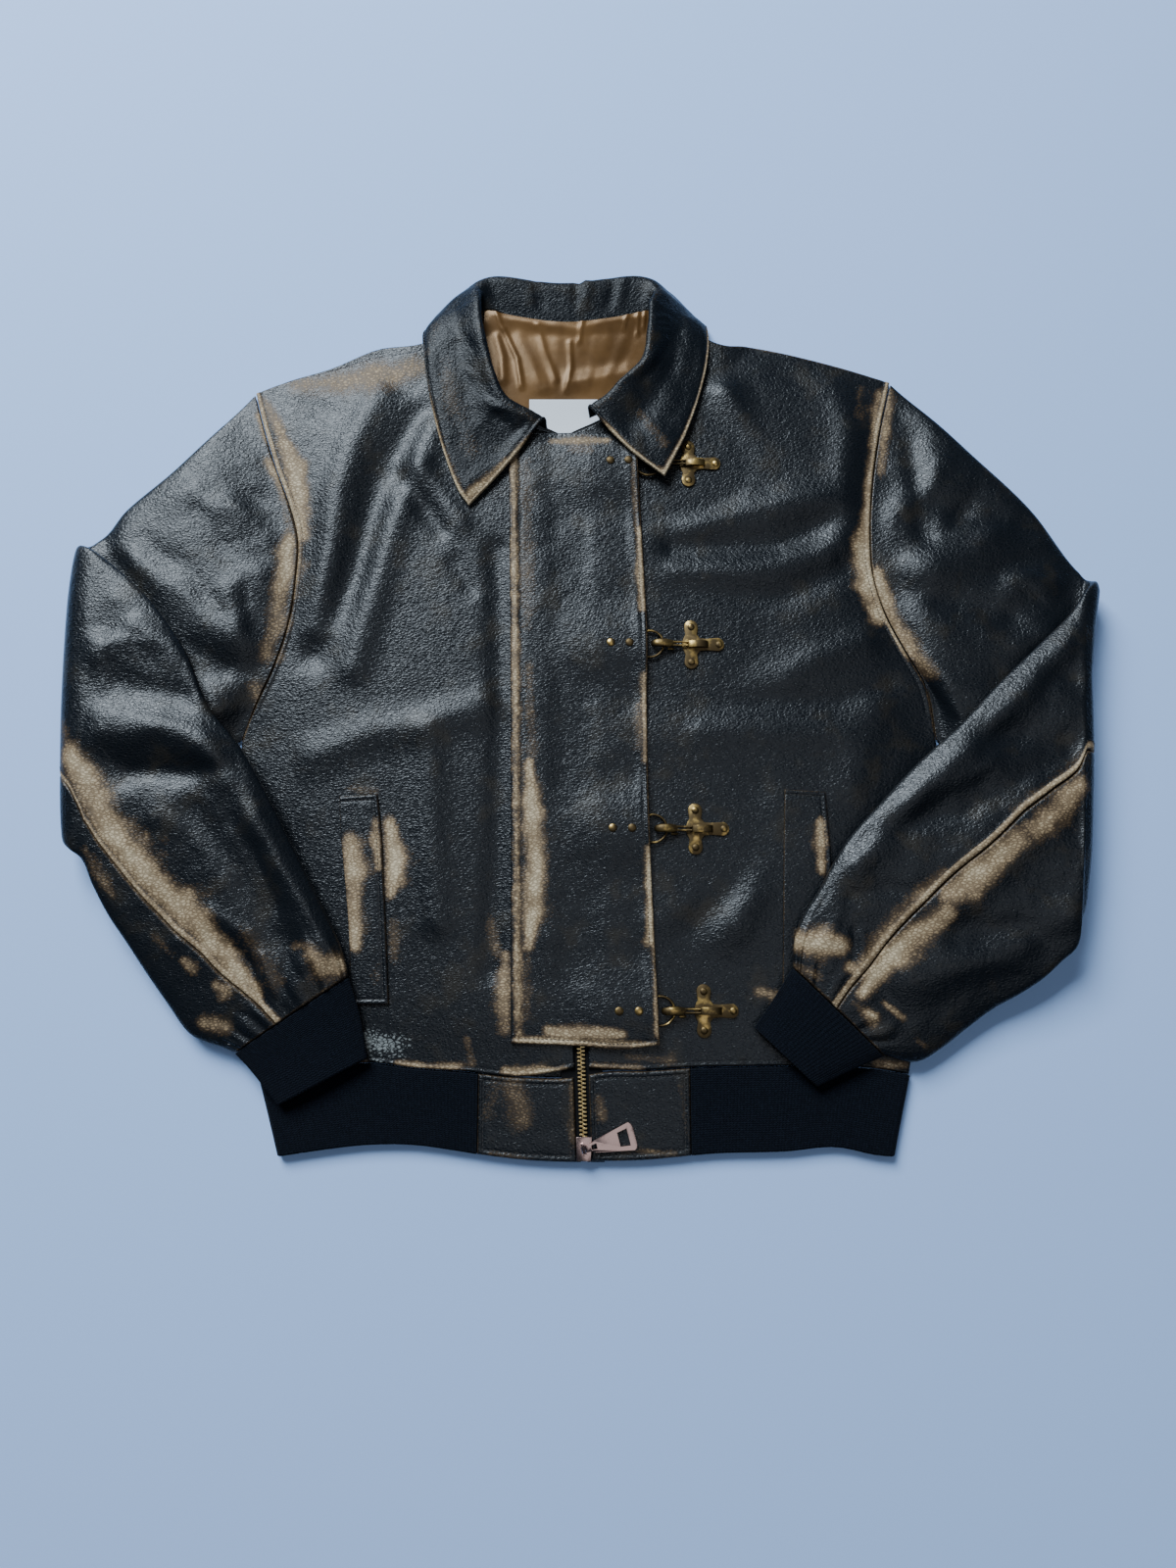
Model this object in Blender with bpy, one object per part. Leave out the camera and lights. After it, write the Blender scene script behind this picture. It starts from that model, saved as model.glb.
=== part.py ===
"""A worn leather jacket, laid flat on its back with both sleeves folded over at the elbow.

Metres, +Z up. X runs across the jacket, Y from the hem to the collar, and the cloth rests on Z = 0.
Right and left in the names are the wearer's, so the wearer's right is at -X. All sizes below are
millimetres on the laid jacket, and each mesh is made in metres at the end of its function.
"""

import math

import bmesh
import bpy
import numpy as np
from mathutils import Matrix, Vector

MM = 0.001
CENTRE = (-3.48, 79.3)  # the middle of the laid jacket, which becomes the origin

LEATHER = 2.2
COLLAR_WALL = 2.4
KNIT_WALL = 2.5
SATIN_WALL = 1.2
SEAM = 0.5  # between two pieces that are sewn together
LAID = 0.4  # between two pieces that lie on each other

# The outline of the body, in X and Y
SHOULDER_TIP_R, SHOULDER_TIP_L = (-290, 347), (264, 357)
ARMPIT_R, ARMPIT_L = (-286, 37), (288, 38)
HEM_CORNER_R, HEM_CORNER_L = (-259, -231), (253, -231)
ARMHOLE_R = [ARMPIT_R, (-276, 66), (-262, 100), (-251, 140), (-247, 180), (-247, 212),
             (-256, 244), (-269, 278), (-282, 318), SHOULDER_TIP_R]
ARMHOLE_L = [ARMPIT_L, (281, 82), (264, 115), (250, 145), (241, 180), (240, 215),
             (244, 262), (252, 308), SHOULDER_TIP_L]
SIDE_R = [HEM_CORNER_R, (-268, -150), (-277, -60), ARMPIT_R]
SIDE_L = [HEM_CORNER_L, (268, -160), (279, -70), ARMPIT_L]
NECK_POINT_R, NECK_POINT_L = (-98, 424), (64, 419)
SHOULDER_R = [SHOULDER_TIP_R, (-262, 358), (-225, 368), (-185, 381), (-143, 388), NECK_POINT_R]
SHOULDER_L = [NECK_POINT_L, (104, 397), (121, 391), (140, 391), (175, 384), (222, 371), SHOULDER_TIP_L]
BACK_TOP_R = [SHOULDER_TIP_R, (-262, 360), (-225, 372), (-185, 390), (-143, 395), NECK_POINT_R]
BACK_NECK = [NECK_POINT_R, (-66, 413), (-20, 407.5), (32, 411), NECK_POINT_L]
FRONT_NECK_R = [NECK_POINT_R, (-99, 400), (-96, 375), (-87, 350), (-77, 329), (-58, 316), (-31, 307)]
FRONT_NECK_L = [(-12, 310), (8, 317), (24, 328), (42, 347), (55, 364), (59, 385), (61, 402), NECK_POINT_L]
ZIP_LINE = [(-21, 322), (-15, 168), (-10, -40), (-6, -200), (-3, -298)]
HEM_SEAM = [HEM_CORNER_R, (-215, -226), (-174, -222), (-139, -226), (-96, -229), (-54, -233), (-12, -233),
            (10, -229), (46, -228), (77, -226), (124, -225), (190, -225), (228, -227), HEM_CORNER_L]
ZIP_HALF = 5.5  # from the middle of the zip to each leather edge
ZIP_TOP, ZIP_FLAT = 9.4, 18.0  # height of the fronts beside the zip, and how far they stay level

# Heights of the laid cloth
EDGE_TOP = 4.9  # top of the front where it meets the back at a side or a shoulder
BODY_RISE = 6.0
BODY_RISE_WIDTH = 34.0
ARMHOLE_DIP, ARMHOLE_DIP_WIDTH = 2.6, 22.0
HEM_DIP, HEM_DIP_WIDTH = 2.2, 30.0
COLLAR_LIFT = 2.9  # the back is this high where it lies on the collar
COLLAR_FALL_EDGE_Y = 368.0

# Folds of the fronts: height, half width, line
FRONT_FOLDS = [
    (4.5, 15, [(-182, 345), (-202, 299), (-213, 254), (-219, 193), (-225, 133)]),
    (-4.0, 14, [(-144, 326), (-176, 272), (-186, 228), (-197, 184), (-228, 110)]),
    (3.5, 13, [(-135, 312), (-150, 262), (-166, 219), (-195, 99)]),
    (-2.5, 9, [(-163, 268), (-125, 219)]),
    (3.0, 10, [(-142, 276), (-110, 226)]),
    (-2.0, 8, [(-112, 189), (-99, 167)]),
    (3.0, 15, [(-225, 24), (-180, 42), (-137, 49), (-85, 66)]),
    (3.0, 13, [(-131, 44), (-127, -48), (-120, -110)]),
    (-3.0, 11, [(-78, 200), (-74, 120), (-72, 40), (-74, -80), (-78, -150)]),
    (-3.0, 11, [(-242, 336), (-232, 330)]),
    (-2.5, 10, [(-168, 352), (-158, 350)]),
    (5.0, 13, [(119, 345), (139, 290), (130, 250), (95, 232)]),
    (4.5, 14, [(85, 232), (130, 237), (195, 246)]),
    (-3.5, 12, [(72, 204), (158, 206), (208, 228)]),
    (3.0, 13, [(75, 176), (140, 182), (200, 196)]),
    (-3.0, 12, [(70, 150), (165, 160), (215, 186)]),
    (3.0, 14, [(92, 100), (163, 95), (230, 120)]),
    (-2.0, 10, [(90, 72), (202, 70), (250, 84)]),
    (2.0, 12, [(95, 44), (209, 41)]),
    (-3.5, 14, [(132, -10), (112, -76), (82, -122), (66, -150)]),
    (3.0, 13, [(148, -20), (130, -90), (108, -140)]),
    (-2.5, 11, [(170, 366), (182, 362)]),
    (3.5, 14, [(215, 355), (225, 310), (218, 262), (214, 210)]),
    (2.5, 16, [(236, 60), (215, 0)]),
    (-4.0, 30, [(250, -60), (215, -120), (196, -190)]),
    (-4.0, 30, [(-256, -60), (-240, -120), (-222, -190)]),
]

# The pocket welts, as X and Y ranges and as left and right borders, and their outer face over the front
WELT_AREAS = [(-202, -157, -177, -9), (154, 196, -168, -5)]
WELTS = {
    "right": ([(-188, -177), (-190, -127), (-197, -64), (-200, -41), (-202, -11)],
              [(-157, -177), (-161, -119), (-164, -80), (-167, -41), (-171, -9)]),
    "left": ([(154, -168), (157, -80), (160, -5)], [(190, -168), (196, -60), (193, -7)]),
}
WELT_GAP, WELT_WALL = 0.9, 1.8
WELT_TOP = WELT_GAP + WELT_WALL

LABEL_LOW, LABEL_SIZE, LABEL_WALL = (-51.0, 309.0), (61.0, 31.0), 0.7

RIB_LOW, RIB_HIGH = 1.25, 7.45  # middle of the knit wall at the back and at the front

# The flap, and the four clasps that hold its free edge
FLAP_LEFT = [(-60.5, -207), (-64, 82), (-68, 304)]
FLAP_RIGHT = [(56, -208), (53, -127), (49.5, -33), (48.5, 60), (49, 132), (46, 201), (41, 304)]
FLAP_GAP = 0.8
FLAP_BOTTOM = [(-60.5, -207), (-8, -209), (31, -211.5), (56, -208)]
FLAP_TOP = [(-68, 304), (-15, 306), (41, 304)]
CLASPS = [(86, 279), (86, 118), (87, -37), (91.5, -182)]  # middle of each cross-shaped plate
SEAT_TOP = 9.0  # the front is pressed flat to this height under a clasp
SEAT_RADIUS, SEAT_EDGE = 76.0, 42.0
SEAT_STRETCH = 1.6  # the pressed place is this much longer across the jacket
FLAP_OVER_RING = 14.9  # underside of the flap where it lies on a ring and its strap
RING_OFFSET = -34.5
RING_RADIUS, RING_WIRE = 11.4, 1.1
RING_Z = SEAT_TOP + 2.95
FLAP_RIVET_OFFSETS = (-67.0, -51.5)
RIVET_RADIUS, RIVET_TALL = 3.4, 1.3
PLATE_THICK = 1.4
LUG_RADIUS = 5.8
PLATE_ARM, PLATE_CORNER = 4.2, 7.0
BRIDGE_HALF, BRIDGE_WIDTH, BRIDGE_TALL = 9.4, 5.8, 4.6
HOOK_THICK = 2.4
LUG_REACH_Y, LUG_REACH_X = 15.2, 24.8

BRASS = (0.42, 0.30, 0.11)
BLACK_LEATHER = (0.012, 0.013, 0.016)


class Curve:
    """A smooth line through its points. A place on it runs from 0 to 1, by length unless marks are given."""

    def __init__(self, points, marks=None):
        self.points = np.array(points, float)
        steps = np.linalg.norm(np.diff(self.points, axis=0), axis=1)
        self.marks = np.r_[0, np.cumsum(steps)] / steps.sum() if marks is None else np.array(marks, float)
        gaps = np.diff(self.marks)[:, None]
        slopes = np.diff(self.points, axis=0) / gaps
        inner = (gaps[1:] * slopes[:-1] + gaps[:-1] * slopes[1:]) / (gaps[1:] + gaps[:-1])
        self.slopes = np.vstack([slopes[:1], inner, slopes[-1:]])

    def at(self, place):
        place = np.clip(np.asarray(place, float), 0, 1)
        i = np.clip(np.searchsorted(self.marks, place, side="right") - 1, 0, len(self.marks) - 2)
        gap = self.marks[i + 1] - self.marks[i]
        x = ((place - self.marks[i]) / gap)[..., None]
        gap = gap[..., None]
        start, end = self.points[i], self.points[i + 1]
        leave, arrive = self.slopes[i] * gap, self.slopes[i + 1] * gap
        return (start * (1 + 2 * x) * (1 - x) ** 2 + leave * x * (1 - x) ** 2
                + end * x ** 2 * (3 - 2 * x) + arrive * x ** 2 * (x - 1))


def distance(x, y, line):
    """How far each point lies from a line of straight runs."""
    nearest = np.full(np.shape(x), np.inf)
    for (ax, ay), (bx, by) in zip(line, line[1:]):
        along = ((x - ax) * (bx - ax) + (y - ay) * (by - ay)) / ((bx - ax) ** 2 + (by - ay) ** 2)
        along = np.clip(along, 0, 1)
        nearest = np.minimum(nearest, np.hypot(x - ax - along * (bx - ax), y - ay - along * (by - ay)))
    return nearest


def smooth(low, high, value):
    """0 below low, 1 above high, and a soft slope between them."""
    t = np.clip((value - low) / (high - low), 0, 1)
    return t * t * (3 - 2 * t)


def folds(x, y, lines):
    """The height that soft ridges and troughs add."""
    return sum(height * np.exp(-(distance(x, y, line) / width) ** 2) for height, width, line in lines)


def patch(left, right, bottom, top):
    """A panel between four border curves, as a function of u across and v up it."""
    corners = [c.at(0) for c in (left, right)] + [c.at(1) for c in (left, right)]

    def point(u, v):
        across, up = u[:, None], v[:, None]
        flat = ((1 - up) * ((1 - across) * corners[0] + across * corners[1])
                + up * ((1 - across) * corners[2] + across * corners[3]))
        return ((1 - across) * left.at(v) + across * right.at(v)
                + (1 - up) * bottom.at(u) + up * top.at(u) - flat)

    return point


def zip_x(y):
    """The middle of the zip at each height up the jacket."""
    points = sorted(ZIP_LINE, key=lambda p: p[1])
    return np.interp(y, [p[1] for p in points], [p[0] for p in points])


def back_lift(x, y):
    """How far the back is raised by the collar that is folded behind the neck."""
    near = smooth(COLLAR_FALL_EDGE_Y - 62, COLLAR_FALL_EDGE_Y - 4, y)
    return COLLAR_LIFT * near * smooth(-186, -152, x) * smooth(-148, -114, -x)


def front_height(x, y):
    """Height of the outer face of the fronts."""
    seams = [SIDE_R, SIDE_L, SHOULDER_R, SHOULDER_L]
    from_edge = np.minimum.reduce([distance(x, y, seam) for seam in seams])
    rise = 1 - np.exp(-(from_edge / BODY_RISE_WIDTH) ** 1.3)
    height = EDGE_TOP + BODY_RISE * rise
    for armhole in (ARMHOLE_R, ARMHOLE_L):
        height -= ARMHOLE_DIP * rise * np.exp(-(distance(x, y, armhole) / ARMHOLE_DIP_WIDTH) ** 2)
    height -= HEM_DIP * rise * np.exp(-(distance(x, y, HEM_SEAM) / HEM_DIP_WIDTH) ** 2)
    height += rise * folds(x, y, FRONT_FOLDS)
    from_zip = np.abs(x - zip_x(y))
    height += (ZIP_TOP - height) * np.exp(-(from_zip / ZIP_FLAT) ** 4) * rise
    for seat_x, seat_y in CLASPS:
        away = np.hypot((x - seat_x + 18) / SEAT_STRETCH, y - seat_y)
        height += (SEAT_TOP - height) * (1 - smooth(SEAT_EDGE, SEAT_RADIUS, away))
    return np.maximum(height, EDGE_TOP + 1.1 * back_lift(x, y))


def sleeve_rest(x, y):
    """Height of what a folded forearm lies on: the front, a pocket welt, the knitted band or the floor."""
    low, high = (np.interp(y, [p[1] for p in side], [p[0] for p in side]) for side in (SIDE_R, SIDE_L))
    inside = np.minimum(x - low, high - x)
    front = front_height(x, y)
    for x0, x1, y0, y1 in WELT_AREAS:
        beside = np.maximum(x0 - x, x - x1)
        beyond = np.maximum(y0 - y, y - y1)
        front = front + WELT_TOP * (1 - smooth(4, 16, np.maximum(beside, beyond)))
    front = np.where(y < HEM_CORNER_R[1] + 12, np.maximum(front, RIB_HIGH + KNIT_WALL / 2), front)
    return np.where(inside > 0, front, EDGE_TOP) * smooth(-14, -3, inside)


def flap_underside(x, y):
    """Height of the flap's underside: on the fronts, and raised over each ring."""
    height = front_height(x, y) + FLAP_GAP
    edge = np.interp(y, [-208, 60, 304], [56, 48.5, 41])
    for _, seat_y in CLASPS:
        near = np.exp(-((y - seat_y) / 19.0) ** 4) * smooth(62, 40, edge - x)
        height = np.maximum(height, height + (FLAP_OVER_RING - height) * near)
    return height + 1.2 * smooth(14, 0, edge - x)


def level(function, wall):
    """A panel whose wall goes straight down from its outer face at the height that function gives."""
    def walls(points):
        top = function(points[:, 0], points[:, 1])
        return np.column_stack([points, top]), np.column_stack([points, top - wall])
    return walls


def material(name, colour, roughness, metallic=0.0):
    made = bpy.data.materials.new(name)
    made.use_nodes = True
    shader = made.node_tree.nodes["Principled BSDF"]
    shader.inputs["Base Color"].default_value = (*colour, 1)
    shader.inputs["Roughness"].default_value = roughness
    shader.inputs["Metallic"].default_value = metallic
    return made


def add(name, bm, finish, round_edges=True):
    """Moves the mesh into the jacket's frame, in metres, and makes it an object."""
    for vert in bm.verts:
        vert.co.x = (vert.co.x - CENTRE[0]) * MM
        vert.co.y = (vert.co.y - CENTRE[1]) * MM
        vert.co.z = vert.co.z * MM
    bm.normal_update()
    bmesh.ops.recalc_face_normals(bm, faces=bm.faces)
    mesh = bpy.data.meshes.new(name)
    bm.to_mesh(mesh)
    bm.free()
    if round_edges:
        mesh.shade_smooth()
        mesh.set_sharp_from_angle(angle=math.radians(40))
    mesh.materials.append(finish)
    made = bpy.data.objects.new(name, mesh)
    bpy.context.scene.collection.objects.link(made)
    return made


def cloth(name, surface, across, along, finish):
    """A closed cloth wall: surface(u, v) gives its outer and its inner points.

    across and along are numbers of equal steps, or lists of the places of the grid's lines."""
    lines = [np.linspace(0, 1, n + 1) if np.isscalar(n) else np.array(n) for n in (across, along)]
    across, along = (len(line) - 1 for line in lines)
    bm = bmesh.new()
    bmesh.ops.create_grid(bm, x_segments=across, y_segments=along, size=0.5)
    outer = list(bm.verts)
    grown = bmesh.ops.extrude_face_region(bm, geom=bm.faces[:], use_keep_orig=True)
    inner = [item for item in grown["geom"] if isinstance(item, bmesh.types.BMVert)]
    for verts, side in ((outer, 0), (inner, 1)):
        u = lines[0][[round((vert.co.x + 0.5) * across) for vert in verts]]
        v = lines[1][[round((vert.co.y + 0.5) * along) for vert in verts]]
        for vert, place in zip(verts, surface(u, v)[side]):
            vert.co = place
    return add(name, bm, finish)


def thick(middle, wall):
    """Turns a middle surface into two faces, half a wall out along its normal on each side."""
    step = 1e-3

    def walls(u, v):
        centre = middle(u, v)
        across = middle(np.minimum(u + step, 1), v) - middle(np.maximum(u - step, 0), v)
        up = middle(u, np.minimum(v + step, 1)) - middle(u, np.maximum(v - step, 0))
        normal = np.cross(across, up)
        normal /= np.linalg.norm(normal, axis=1)[:, None]
        return centre + normal * wall / 2, centre - normal * wall / 2

    return walls


def shrunk(points, gap):
    """The border pulled in by a gap towards the left of its direction."""
    points = np.array(points, float)
    ahead = np.gradient(points, axis=0)
    left = np.column_stack([-ahead[:, 1], ahead[:, 0]]) / np.linalg.norm(ahead, axis=1)[:, None]
    return points + left * gap


def side_line(side, armhole, gap):
    """The side seam and the armhole as one border, from the hem up to the shoulder tip."""
    low, high = shrunk(side, gap), shrunk(armhole, gap)
    corner = (low[-1] + high[0]) / 2
    points = np.vstack([low[:-1], corner, high[1:]])
    marks = np.r_[np.linspace(0, 0.46, len(low)), np.linspace(0.46, 1, len(high))[1:]]
    return Curve(points, marks)


def make_back(finish):
    left = side_line(SIDE_R, ARMHOLE_R, -SEAM)
    right = side_line(SIDE_L, ARMHOLE_L, SEAM)
    top_line = BACK_TOP_R[:-1] + BACK_NECK + SHOULDER_L[1:]
    marks = np.r_[np.linspace(0, 0.36, len(BACK_TOP_R))[:-1], np.linspace(0.36, 0.64, len(BACK_NECK)),
                  np.linspace(0.64, 1, len(SHOULDER_L))[1:]]
    top_line = np.array(top_line, float)
    top_line[0], top_line[-1] = left.at(1), right.at(1)
    bottom = Curve([(x, y + SEAM) for x, y in HEM_SEAM])
    bottom.points[0], bottom.points[-1] = left.at(0), right.at(0)
    panel = patch(left, right, bottom, Curve(top_line, marks))
    walls = level(lambda x, y: LEATHER + back_lift(x, y), LEATHER)
    rows = np.r_[np.linspace(0, 0.8, 8), 0.85, 0.89, 0.92, 0.95, 0.975, 1]
    return cloth("back", lambda u, v: walls(panel(u, v)), 16, rows, finish)


def front_panel(side):
    """Outline of one front: side and armhole, zip edge, hem seam, shoulder and neck."""
    centre = 1 if side == "right" else -1
    ys = (-226, -150, -60, 40, 140, 230, 307)
    zip_edge = Curve([(zip_x(y) - centre * ZIP_HALF, y) for y in ys])
    if side == "right":
        outside = side_line(SIDE_R, ARMHOLE_R, -SEAM)
        top = SHOULDER_R[:-1] + FRONT_NECK_R
        marks = np.r_[np.linspace(0, 0.5, len(SHOULDER_R))[:-1], np.linspace(0.5, 1, len(FRONT_NECK_R))]
        hem = [p for p in HEM_SEAM if p[0] < -20]
        hem.append((zip_x(-228) - ZIP_HALF, -232))
    else:
        outside = side_line(SIDE_L, ARMHOLE_L, SEAM)
        top = FRONT_NECK_L + SHOULDER_L[1:]
        marks = np.r_[np.linspace(0, 0.5, len(FRONT_NECK_L)), np.linspace(0.5, 1, len(SHOULDER_L))[1:]]
        hem = [(zip_x(-228) + ZIP_HALF, -228)] + [p for p in HEM_SEAM if p[0] > 20]
    hem = np.array(hem, float) + (0, SEAM)
    top = np.array(top, float)
    borders = (outside, zip_edge) if side == "right" else (zip_edge, outside)
    hem[0], hem[-1] = borders[0].at(0), borders[1].at(0)
    top[0], top[-1] = borders[0].at(1), borders[1].at(1)
    return patch(*borders, Curve(hem), Curve(top, marks))


def make_front(side, finish):
    panel = front_panel(side)
    walls = level(front_height, LEATHER)
    rows = (0, 0.04, 0.125, 0.19, 0.25, 0.315, 0.395, 0.46, 0.53, 0.6, 0.67, 0.74, 0.81, 0.87, 0.92, 0.96, 1)
    return cloth("front_" + side, lambda u, v: walls(panel(u, v)), 14, rows, finish)


def make_flap(finish):
    panel = patch(Curve(FLAP_LEFT), Curve(FLAP_RIGHT), Curve(FLAP_BOTTOM), Curve(FLAP_TOP))
    walls = level(lambda x, y: flap_underside(x, y) + LEATHER, LEATHER)
    low, high = FLAP_LEFT[0][1], FLAP_LEFT[-1][1]
    rows = [(seat_y + step - low) / (high - low) for _, seat_y in CLASPS for step in (-24, -8, 8, 24)]
    rows += [(y - low) / (high - low) for y in (-120, -90, 20, 55, 180, 215)]
    rows = sorted({0.0, 1.0, *(row for row in rows if 0.02 < row < 0.985)})
    return cloth("placket", lambda u, v: walls(panel(u, v)), 7, rows, finish)


def make_welt(name, left, right, finish):
    panel = patch(Curve(left), Curve(right), Curve([left[0], right[0]]), Curve([left[-1], right[-1]]))
    walls = level(lambda x, y: front_height(x, y) + WELT_TOP, WELT_WALL)
    return cloth(name, lambda u, v: walls(panel(u, v)), 2, 10, finish)


def make_lining(finish):
    left = [(-88, 286), (-92, 330), (-93, 380), (-91, 413)]
    right = [(50, 286), (53, 330), (55, 380), (55, 409)]
    bottom = [(-88, 286), (-20, 284), (50, 286)]
    top = [(-91, 413), (-60, 405.5), (-20, 402.5), (28, 405), (55, 409)]
    panel = patch(Curve(left), Curve(right), Curve(bottom), Curve(top))
    pleats = [
        (2.6, 6, [(-21, 402), (-22, 370), (-23, 352)]),
        (2.0, 6, [(-70, 398), (-50, 372), (-42, 360)]),
        (1.8, 6, [(36, 398), (14, 370), (6, 360)]),
        (1.6, 6, [(-80, 372), (-60, 350)]),
    ]

    def height(x, y):
        return LEATHER + back_lift(x, y) + LAID + 0.2 + SATIN_WALL + folds(x, y, pleats)

    walls = level(height, SATIN_WALL)
    return cloth("neck_lining", lambda u, v: walls(panel(u, v)), 12, 10, finish), height


def make_label(lining_height, finish):
    walls = level(lambda x, y: lining_height(x, y) + LAID + LABEL_WALL, LABEL_WALL)
    return cloth("label", lambda u, v: walls(LABEL_LOW + np.column_stack([u, v]) * LABEL_SIZE), 6, 3, finish)


# The collar in cross-sections from its right front end, round behind the neck, to its left front end.
# Each one goes from the neck seam up to the roll line, over it, and down to the outer edge.
COLLAR = [
    ((-35, 310, 12.4), (-38, 314, 19.5), (-58, 288, 18.2), (-78, 264, 16.0), (-101, 239, 14.6)),
    ((-49, 318, 12.4), (-54, 323, 22.0), (-74, 302, 20.5), (-93, 278, 16.5), (-111, 254, 14.6)),
    ((-67, 327, 12.4), (-72, 334, 23.5), (-90, 318, 21.5), (-107, 299, 17.0), (-122, 283, 15.0)),
    ((-81, 345, 12.4), (-81, 355, 24.5), (-97, 345, 22.5), (-115, 330, 17.5), (-131, 314, 14.6)),
    ((-90, 372, 12.0), (-88, 380, 25.0), (-104, 374, 22.5), (-121, 361, 17.5), (-138, 346, 14.6)),
    ((-94, 397, 11.5), (-93, 406, 24.0), (-109, 401, 21.5), (-126, 389, 17.0), (-142, 375, 13.8)),
    ((-94.5, 418, 10.5), (-95, 427, 21.0), (-113, 420, 17.5), (-131, 412, 12.5), (-144, 401, 7.5)),
    ((-86, 424.5, 9.0), (-95, 441, 15.5), (-113, 437, 9.5), (-127, 426, 2.4), (-132, 405, 1.25)),
    ((-66, 418, 8.0), (-80, 450, 12.0), (-88, 451.5, 6.0), (-92, 444, 1.6), (-98, 378, 1.25)),
    ((-20, 412.5, 7.2), (-20, 444, 11.0), (-20, 448.5, 6.0), (-20, 442, 1.6), (-20, 370, 1.25)),
    ((31, 417, 7.6), (42, 451, 12.0), (50, 452.5, 6.0), (56, 445, 1.6), (62, 376, 1.25)),
    ((52, 421.5, 9.0), (59, 439, 15.5), (77, 434, 10.0), (91, 423, 3.4), (98, 410, 1.5)),
    ((57.5, 415, 10.5), (55, 424, 21.0), (75, 417, 17.5), (92, 409, 13.0), (105, 398, 9.6)),
    ((56, 392, 11.5), (53, 400, 24.0), (71, 394, 21.5), (88, 382, 17.5), (103, 368, 14.2)),
    ((51, 366, 12.4), (49, 371, 24.5), (66, 364, 22.5), (81, 350, 18.0), (95, 335, 14.8)),
    ((36, 347, 12.4), (34, 354, 23.5), (51, 340, 22.5), (68, 322, 19.5), (84, 303, 17.0)),
    ((17, 329, 12.4), (16, 334, 22.0), (34, 317, 22.0), (53, 299, 21.0), (75, 283, 19.6)),
    ((1, 320, 12.4), (1, 326, 19.5), (18, 305, 21.0), (38, 284, 21.2), (65, 263, 20.0)),
]
COLLAR_MARKS = (0, 0.22, 0.45, 0.72, 1)


def collar_middle(u, v):
    """The middle of the collar's wall, u along it and v from the neck seam to the outer edge."""
    lines = [Curve([section[i] for section in COLLAR], np.linspace(0, 1, len(COLLAR))) for i in range(5)]
    stations = np.stack([line.at(u) for line in lines])
    place = np.empty((len(u), 3))
    for i, height in enumerate(v):
        place[i] = Curve(stations[:, i], COLLAR_MARKS).at(height)
    place[:, 2] = np.maximum(place[:, 2], COLLAR_WALL / 2)
    return place


def make_collar(finish):
    walls = thick(collar_middle, COLLAR_WALL)

    def above_floor(u, v):
        return [np.maximum(side, (-1e4, -1e4, 0.0)) for side in walls(u, v)]

    return cloth("collar", above_floor, 34, (0, 0.11, 0.22, 0.33, 0.45, 0.58, 0.72, 0.86, 1), finish)


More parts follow.
